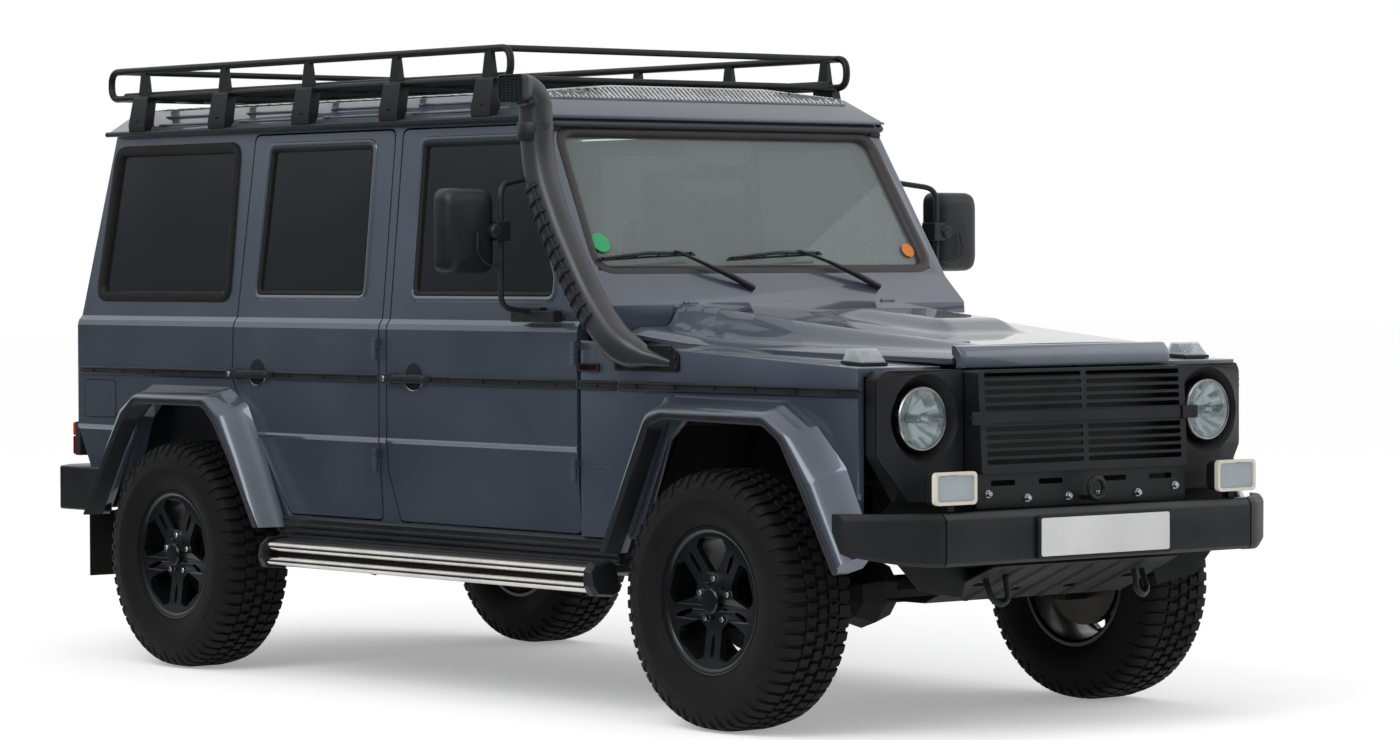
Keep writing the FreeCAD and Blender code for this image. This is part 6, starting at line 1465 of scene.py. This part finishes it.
# Blank plate: white lacquer on aluminium.
white_lacquer = surface("white_lacquered_aluminium", ("#c9cac9", "#d6d7d6"), (0.3, 0.4), 5, 0.03)
piece("blank_plate", blank, white_lacquer, edge=0.8)

# Indicators: a clear ribbed cover on a black base, with an amber bulb before a bright plate.
base_ring = [(428, 1080.8), (428, 1090), (519, 1085), (519, 1075.4)]
cover_ring = [(432, 1090), (449, 1121), (455, 1124), (474, 1124), (480, 1121), (515, 1085)]
covers = lofted([[(x, -y, z) for x, z in cover_ring] for y in (611, 705)])
flutes = []
for number in range(13):
    y = 618 + number * 6.6
    flutes.append(swept([(482, -y, 1120), (514, -y, 1087)], 2, 6))
bases = lofted([[(x, -y, z) for x, z in base_ring] for y in (607, 709)])
amber_bulbs = turned([(-15, 1), (-13, 9), (-4, 14), (6, 14), (12, 9), (14, 1)], (476, -658, 1102), "x", 20)
back_ring = ((436, 1091), (452, 1119), (456, 1119), (440, 1091))
back_plate = lofted([[(x, -y, z) for x, z in back_ring] for y in (615, 701)])
piece("indicator_bases", both(bases), trim_plastic, edge=2)
# Fluted clear acrylic: the flutes scatter the light, so it looks milky.
fluted_acrylic = glass("fluted_clear_acrylic", ("#f0f2f2", "#f8f9f9"), 0.1, 0.35)
piece("indicator_covers", both(joined(covers, *flutes)), fluted_acrylic, smooth=30, edge=1.5)
piece("indicator_bulbs", both(amber_bulbs), amber)
piece("indicator_reflectors", both(back_plate), white_lacquer)

# Work lamps: a deep black shell, a cream frame and fluted glass over a bright dish.
work_y, work_z = -571, 731
lamp_line = oblong((-81, 81), (-47, 47), 16)


def lamp_form(stations):
    """A form whose section is the lamp's outline, made smaller at each station."""
    return lofted([[(x, work_y + u * size, work_z + v * size) for u, v in lamp_line]
                   for x, size in stations])


lamp_shell = lamp_form(((692, 0.55), (700, 0.78), (722, 0.96), (750, 1.0)))
lamp_dish = lamp_form(((752, 0.88), (738, 0.8), (724, 0.5), (718, 0.12)))
lamp_frame = placed(plate([lamp_line, oblong((-71, 71), (-37, 37), 10, 4)], 15),
                    lambda u, v, w: (758 + w, work_y + u, work_z + v))
glass_rings = []
for number in range(57):
    x, y = 760 + (1.6 if number % 2 else 0), work_y - 70 + number * 2.5
    glass_rings.append([(x, y, 695), (x, y, 767), (x - 3, y, 767), (x - 3, y, 695)])
bracket = joined(block((716, 742), (-584, -558), (663, 690)),
                 turned([(690, 12), (700, 16), (700, 1)], (728, work_y, 0), "z", 16))
shells = piece("work_lamp_shells", both(joined(lamp_shell, bracket)), grained_plastic, smooth=40, edge=1.5)
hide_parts("marker_lamps")
# Frame enamel: cream-white, glossy.
cream_enamel = surface("cream_lamp_enamel", ("#cfcabb", "#dbd7ca"), (0.2, 0.3), 5, 0.03)
piece("work_lamp_frames", both(lamp_frame), cream_enamel, edge=2.5)
piece("work_lamp_dishes", both(lamp_dish), mirror_bright)
piece("work_lamp_glass", both(lofted(glass_rings)), fluted_acrylic, smooth=20)


# Wheel-house liners
# Black moulded sheets close the engine bay above the front wheels and against the inner wings, and a
# dark sheet stands before the radiator behind the grille.
liner_path = [(-455, 520), (-330, 730), (-245, 886), (-180, 900), (245, 900), (322, 850), (400, 740)]
liner = lofted([[(x, -y, z) for x, z in liner_path] + [(x, -y, z + 5) for x, z in reversed(liner_path)]
                for y in (735, 432)])
inner_ring = ((-245, 716), (400, 716), (400, 745), (322, 850), (245, 898), (-180, 898), (-245, 884),
              (-300, 780))
inner = lofted([[(x, -y, z) for x, z in inner_ring] for y in (430, 434)])
piece("wheel_house_liners", both(joined(liner, inner)), flap_rubber, smooth=40)
shroud = front_plate([oblong((-424, 424), (694, 1040), 10)], 4, 612)
piece("radiator_shroud", shroud, finned_core)


# Wipers and screen fittings
# Two black wipers rest along the foot of the windscreen, their arms bent from the scuttle. Behind the
# screen are a dark band and a mirror at the middle of its top, and two blank discs low at its corners.
def on_path(points, radius, sides=8):
    """A round bar along points given on the screen."""
    return swept([on_screen(*point) for point in points], radius, sides)


def screen_plate(points, thick, across, up, out):
    """A sheet that lies along the screen, with its middle moved across, up and out of it."""
    return placed(plate([points], thick), lambda u, v, w: on_screen(across + u, up + v, out + w))


pivot_v, hold_v = -76, 52
wiper_forms = []
for pivot, near, far, hold in ((-126, -681, -295, -382), (402, -163, 230, 124)):
    wiper_forms.append(on_path([(pivot, pivot_v, 4), (pivot, pivot_v, 26)], 13, 14))
    wiper_forms.append(on_path([(pivot + 12, pivot_v - 6, 25), (pivot - 60, pivot_v + 32, 30),
                                (pivot - 160, pivot_v + 82, 31), (hold + 8, hold_v - 4, 32),
                                (hold, hold_v, 24)], [11, 10, 6, 4.5, 4], 8))
    middle = (near + far) / 2
    rise = [(near, 32, 16), (near + 90, 37, 22), (middle, 43, 30), (far - 90, 48, 22), (far, 52, 16)]
    wiper_forms.append(on_path(rise, [2, 5, 6, 5, 2]))
    wiper_forms.append(on_path([(near - 4, 27, 13), (middle, 38, 14), (far + 4, 47, 13)], 3.5))
    for share in (0.04, 0.2, 0.38, 0.62, 0.8, 0.96):
        across = near + (far - near) * share
        wiper_forms.append(on_path([(across, 27 + 20 * share, 13), (across, 33 + 20 * share, 22)], 4, 6))
piece("wipers", joined(*wiper_forms), trim_plastic, smooth=45)
piece("cowl_seam", on_path([(-716, -58, 1.5), (716, -58, 1.5)], 2.2, 6), seal_rubber)
jets = [joined(on_path([(y - 16, -94, 2), (y + 22, -92, 7)], 6, 8),
               on_path([(y - 16, -94, 0), (y - 16, -94, 12)], 4, 8)) for y in (-400, 515)]
piece("washer_jets", joined(*jets), trim_plastic)
band_line = outline([(-104, 398), (107, 398), (168, 492), (-158, 492)], 20)
sun_band = screen_plate(band_line, 2, 0, 0, -22)
piece("screen_sun_band", sun_band, trim_plastic)
for name, y, v, radius, colours in (("green", -630, 102, 34, ("#1c9a5c", "#24a868")),
                                    ("orange", 632, 72, 25, ("#d07012", "#dd7f1f"))):
    disc_form = screen_plate(circle(0, 0, radius, 32), 1, y, v, -5)
    printed_paper = surface(name + "_printed_paper", colours, (0.5, 0.6), 3, 0.05)
    piece("screen_disc_" + name, disc_form, printed_paper)
room_mirror = screen_plate(oblong((-120, 120), (-28, 28), 20), 22, -20, 350, -80)
stem = on_path([(-20, 350, -75), (-20, 395, -45), (-20, 410, -24)], 6, 8)
piece("room_mirror", joined(room_mirror, stem), trim_plastic, smooth=40, edge=5)
caps = [joined(on_path([(y, 512, 4), (y * 1.06, 505, 0)], 13, 8)) for y in (-655, 655)]
piece("header_corner_caps", joined(*caps), trim_plastic, smooth=50)


# Tail
# The rear bumper is a pressed box in satin black. The lamps stand at the corners, and the side-hung
# rear door has a pull handle and the spare wheel on a pressed carrier.
tail_plan = [(-3722, -710), (-3642, -800), (-3345, -800), (-3345, -770), (-3569, -717), (-3569, 717),
             (-3345, 770), (-3345, 800), (-3642, 800), (-3722, 710)]
tail_bumper = lofted([[(x, y, z) for x, y in tail_plan] for z in (508, 661.7)])
rear_beam = piece("rear_bumper_beam", tail_bumper, satin_steel, smooth=28, edge=7, steps=3)
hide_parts("rear_bumper")
lamp_body = block((-3600, -3567), (-762, -666), (698, 817))
red_lens = block((-3620, -3600), (-759, -669), (701, 766))
amber_lens = block((-3620, -3600), (-759, -669), (768, 814))
# Moulded acrylic: deep red, glossy.
red_acrylic = glass("moulded_red_acrylic", ("#8c0a0a", "#a51412"), 0.12)
piece("tail_lamp_bodies", both(lamp_body), trim_plastic, edge=3)
piece("tail_lamp_red", both(red_lens), red_acrylic, edge=4)
piece("tail_lamp_amber", both(amber_lens), amber, edge=4)
tail_handle = joined(block((-3596, -3582), (548, 572), (930, 1060)),
                     block((-3584, -3566), (544, 576), (926, 948)),
                     block((-3584, -3566), (544, 576), (1042, 1064)))
piece("tail_handle", tail_handle, trim_plastic, "tailgate", edge=4)
carrier = turned([(-3640, 20), (-3640, 92), (-3630, 96), (-3566, 150), (-3566, 20)],
                 (0, 0, spare_place[2]), "x", 40)
piece("spare_carrier", carrier, powder_black, "tailgate", smooth=30, edge=2)


# Cabin
# Foam seats in dark woven cloth with sewn panels, a moulded dashboard with a hood over the dials,
# and a padded steering wheel.
def cushion(centre, half, lean=0.0, seams=(), across=36, around=28):
    """A stuffed block with crowned faces and rounded edges, drawn in along its seams."""
    rings = []
    for number in range(across + 1):
        theta = -pi / 2 + pi * number / across
        width = max(abs(cos(theta)), 1e-3) ** 0.28
        y = rounded(theta, 0.28)[1]
        draw = 1 - sum(0.07 * exp(-((y - seam) / 0.035) ** 2) for seam in seams)
        ring = []
        for step in range(around * 2):
            c, s = rounded(2 * pi * step / (around * 2), 0.34)
            x, z = width * c * half[0], width * s * draw * (1 - 0.05 * y * y) * half[2]
            ring.append((centre[0] + x * cos(lean) - z * sin(lean), centre[1] + y * half[1],
                         centre[2] + x * sin(lean) + z * cos(lean)))
        rings.append(ring)
    return lofted(rings)


# Plain-woven polyester: threads of about 0.8 mm, drawn at 3 mm, dark grey with paler flecks.
cloth, tree, place = started("woven_seat_cloth")
warp, weft = [add(tree, "ShaderNodeTexWave", {"Scale": 52, "bands_direction": way, "Distortion": 0.4},
                  {"Vector": place}) for way in "YZ"]
weave = add(tree, "ShaderNodeMath", {"operation": "MULTIPLY"},
            {0: warp.outputs["Fac"], 1: weft.outputs["Fac"]})
dye = add(tree, "ShaderNodeValToRGB", {"stops": [(0.1, "#1a1b1d"), (0.9, "#303236")]},
          {"Fac": weave.outputs[0]})
nap = add(tree, "ShaderNodeMapRange", {"To Min": 0.85, "To Max": 0.95}, {"Value": weave.outputs[0]})
bump = add(tree, "ShaderNodeBump", {"Strength": 0.6, "Distance": 0.0006}, {"Height": weave.outputs[0]})
shader = add(tree, "ShaderNodeBsdfPrincipled", {"Sheen Weight": 0.25},
             {"Base Color": dye.outputs["Color"], "Roughness": nap.outputs["Result"],
              "Normal": bump.outputs["Normal"]})
add(tree, "ShaderNodeOutputMaterial", links={"Surface": shader.outputs["BSDF"]})

seat_places = (("driver", -1080, 430, 240), ("passenger", -1080, -430, 240), ("bench", -1960, 0, 560))
for name, front, y, half in seat_places:
    seams = (-0.62, 0.62) if half < 300 else (-0.66, -0.33, 0, 0.33, 0.66)
    pads = (("squab", (front - 235, y, 886), (240, half, 72), 0.05, 0.92),
            ("back", (front - 560, y, 1235), (62, half - 6, 305), 0.13, 0.9))
    for part, centre, size, lean, fill in pads:
        pad = piece(f"{name}_{part}", cushion(centre, size, lean, seams), cloth, smooth=60)
        if name == "driver" and part == "squab":
            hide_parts("seats")
    for rest_y in ((y,) if half < 300 else (-330, 330)):
        headrest = cushion((front - 620, rest_y, 1605), (42, 130, 72), 0.08)
        rest = piece("%s_headrest_%d" % (name, rest_y), headrest, cloth, smooth=60)
    stands = joined(block((front - 440, front - 40), (y - half + 30, y + half - 30), (659, 818)),
                    block((front - 618, front - 606), (y - 60, y - 50), (1490, 1560)),
                    block((front - 618, front - 606), (y + 50, y + 60), (1490, 1560)))
    piece(name + "_seat_base", stands, powder_black, edge=6)

dash_profile = [(-525, 884), (-525, 1090), (-615, 1092), (-615, 1142), (-716, 1143), (-722, 1214),
                (-748, 1222), (-790, 1208), (-836, 1130), (-822, 1010), (-806, 934)]
dash = lofted([[(x, y, z) for x, z in dash_profile] for y in (-688, 688)])
# Dashboard skin: grained foam-backed plastic, dull black.
dash_skin = surface("grained_dash_skin", ("#191a1c", "#26272a"), (0.55, 0.7), 4, 0.2)
dash_piece = piece("dash_body", dash, dash_skin, smooth=35, edge=12, steps=3)
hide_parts("dashboard")
column_y, rim_radius = 370, 185
arc = [pi * number / 16 for number in range(17)]
hood_stations = ((-700, 0.5), (-720, 0.86), (-760, 1.0), (-850, 0.98), (-858, 0.93), (-840, 0.86))
hood_rings = [[(x, column_y + 178 * grow * cos(t), 1190 + 98 * grow * sin(t)) for t in arc]
              for x, grow in hood_stations]
piece("dial_hood", lofted(hood_rings), dash_skin, smooth=50)
wheel_hub = Vector((-975, column_y, 1120))
wheel_axis = Vector((-0.9, 0, 0.44)).normalized()
wheel_up = wheel_axis.cross(Vector((0, 1, 0)))
rim_path = [wheel_hub + Vector((0, rim_radius, 0)) * cos(t) + wheel_up * rim_radius * sin(t)
            for t in [pi * number / 32 for number in range(64)]]
arms = [swept([wheel_hub, wheel_hub + Vector((0, side * 178, 0)) + wheel_up * drop], [14, 10], 10)
        for side, drop in ((1, 10), (-1, 10), (0.001, 178 if wheel_up.z < 0 else -178))]
column = swept([wheel_hub + wheel_axis * 8, wheel_hub - wheel_axis * 190], 26, 16)
wheel_pad = swept([wheel_hub + wheel_axis * 26, wheel_hub + wheel_axis * 16, wheel_hub - wheel_axis * 22],
                  [44, 56, 50], 24)
wheel_form = joined(swept(rim_path, 14, 14, True), *arms, column, wheel_pad)
steering = piece("steering_wheel_rim", wheel_form, dash_skin, smooth=50)
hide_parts("steering_wheel")


# Stage
# A plain pale floor, two softboxes and a white surround, with glowing screens as painted reflections
# for the gloss to mirror, and the camera where the photograph was taken.
floor_mesh = bpy.data.meshes.new("studio_floor")
floor_mesh.from_pydata([(-60, -60, 0), (60, -60, 0), (60, 60, 0), (-60, 60, 0)], [], [(0, 1, 2, 3)])
linked("studio_floor", floor_mesh)


def seen_plainly(tree):
    """One where a thing is seen directly, in a gloss or through glass, and zero for other light."""
    ray = add(tree, "ShaderNodeLightPath")
    seen = add(tree, "ShaderNodeMath", {"operation": "MAXIMUM"},
               {0: ray.outputs["Is Camera Ray"], 1: ray.outputs["Is Glossy Ray"]})
    shown = add(tree, "ShaderNodeMath", {"operation": "MAXIMUM"},
                {0: seen.outputs[0], 1: ray.outputs["Is Transmission Ray"]})
    return shown.outputs[0]


# Seamless paper: matt white.
paper, tree, place = started("seamless_white_paper")
grain = add(tree, "ShaderNodeTexNoise", {"Scale": 300}, {"Vector": place})
white = add(tree, "ShaderNodeValToRGB", {"stops": [(0.3, "#fbfbfb"), (0.7, "#fefefe")]},
            {"Fac": grain.outputs["Fac"]})
matt = add(tree, "ShaderNodeBsdfDiffuse", {}, {"Color": white.outputs["Color"]})
lift = add(tree, "ShaderNodeMath", {"operation": "MULTIPLY", 1: 0.3}, {0: seen_plainly(tree)})
glow = add(tree, "ShaderNodeEmission", {}, {"Strength": lift.outputs[0]})
lit = add(tree, "ShaderNodeAddShader", links={0: matt.outputs["BSDF"], 1: glow.outputs["Emission"]})
add(tree, "ShaderNodeOutputMaterial", links={"Surface": lit.outputs["Shader"]})
floor_mesh.materials.append(paper)

# Painted reflections: screens that glow, on walls out of sight to the right and in front and on the ground
# before them. They show only in the gloss of the car, dark at the foot and brighter upwards in patches, so
# that the panels take shape.
wall_mesh = bpy.data.meshes.new("glowing_walls")
wall_line = [(-26, -9), (7, -9), (10, -6), (10, 20)]
wall_mesh.from_pydata([(x, y, z) for x, y in wall_line for z in (0.01, 5.5)], [],
                      [(2 * n, 2 * n + 2, 2 * n + 3, 2 * n + 1) for n in range(3)])
ground_mesh = bpy.data.meshes.new("glowing_ground")
ground_mesh.from_pydata([(-26, -9, 0.01), (7, -9, 0.01), (7, -1.6, 0.01), (-26, -1.6, 0.01)], [],
                        [(0, 1, 2, 3)])
glow_screen_finish, tree, place = started("painted_reflection_screens")
parts = add(tree, "ShaderNodeSeparateXYZ", links={"Vector": place})
patches = add(tree, "ShaderNodeTexNoise", {"Scale": 0.7, "Detail": 3}, {"Vector": place})
height = add(tree, "ShaderNodeMath", {"operation": "MULTIPLY_ADD", 1: 1.2},
             {0: patches.outputs["Fac"], 2: parts.outputs["Z"]})
share = add(tree, "ShaderNodeMapRange", {"From Min": 0.6, "From Max": 6.0}, {"Value": height.outputs[0]})
fade = add(tree, "ShaderNodeValToRGB",
           {"stops": [(0.0, "#2b2e33"), (0.3, "#565c66"), (0.6, "#848b96"), (1.0, "#e8eaec")]},
           {"Fac": share.outputs["Result"]})
glow = add(tree, "ShaderNodeEmission", {"Strength": 1.0}, {"Color": fade.outputs["Color"]})
add(tree, "ShaderNodeOutputMaterial", links={"Surface": glow.outputs["Emission"]})
for mesh in (wall_mesh, ground_mesh):
    mesh.materials.append(glow_screen_finish)
    screen = linked(mesh.name, mesh)
    screen.visible_camera = False
    screen.visible_diffuse = False
    screen.visible_shadow = False

world = bpy.data.worlds.new("studio")
bpy.context.scene.world = world
world.use_nodes = True
tree = world.node_tree
tree.nodes.clear()
strength = add(tree, "ShaderNodeMapRange", {"To Min": 0.7, "To Max": 1.0}, {"Value": seen_plainly(tree)})
background = add(tree, "ShaderNodeBackground", {"Color": (1, 1, 1, 1)},
                 {"Strength": strength.outputs["Result"]})
add(tree, "ShaderNodeOutputWorld", links={"Surface": background.outputs["Background"]})

car_middle = Vector((0, 0, 0.9))
softboxes = (("key_softbox", (2.5, -7.0, 6.0), 5.0, 300), ("fill_softbox", (5.0, 6.0, 4.0), 6.0, 90))
for name, place, size, power in softboxes:
    light = bpy.data.lights.new(name, "AREA")
    light.shape = "SQUARE"
    light.size = size
    light.energy = power
    lamp = linked(name, light)
    lamp.location = place
    lamp.rotation_mode = "QUATERNION"
    lamp.rotation_quaternion = (car_middle - Vector(place)).to_track_quat("-Z", "Y")

camera_data = bpy.data.cameras.new("camera")
camera_data.sensor_width = 36
camera_data.lens = 116.06
camera_data.clip_end = 200
camera = linked("camera", camera_data)
yaw, pitch, roll = radians(140.30084), radians(-1.38764), radians(-0.21920)
ahead = Vector((cos(pitch) * cos(yaw), cos(pitch) * sin(yaw), sin(pitch)))
right = Vector((sin(yaw), -cos(yaw), 0))
up = right.cross(ahead)
view_right = right * cos(roll) + up * sin(roll)
view_up = up * cos(roll) - right * sin(roll)
turn = Matrix((view_right, view_up, -ahead)).transposed().to_4x4()
camera.matrix_world = Matrix.Translation((11.652104, -9.256638, 1.377142)) @ turn
bpy.context.scene.camera = camera
bpy.context.scene.view_settings.view_transform = "Standard"
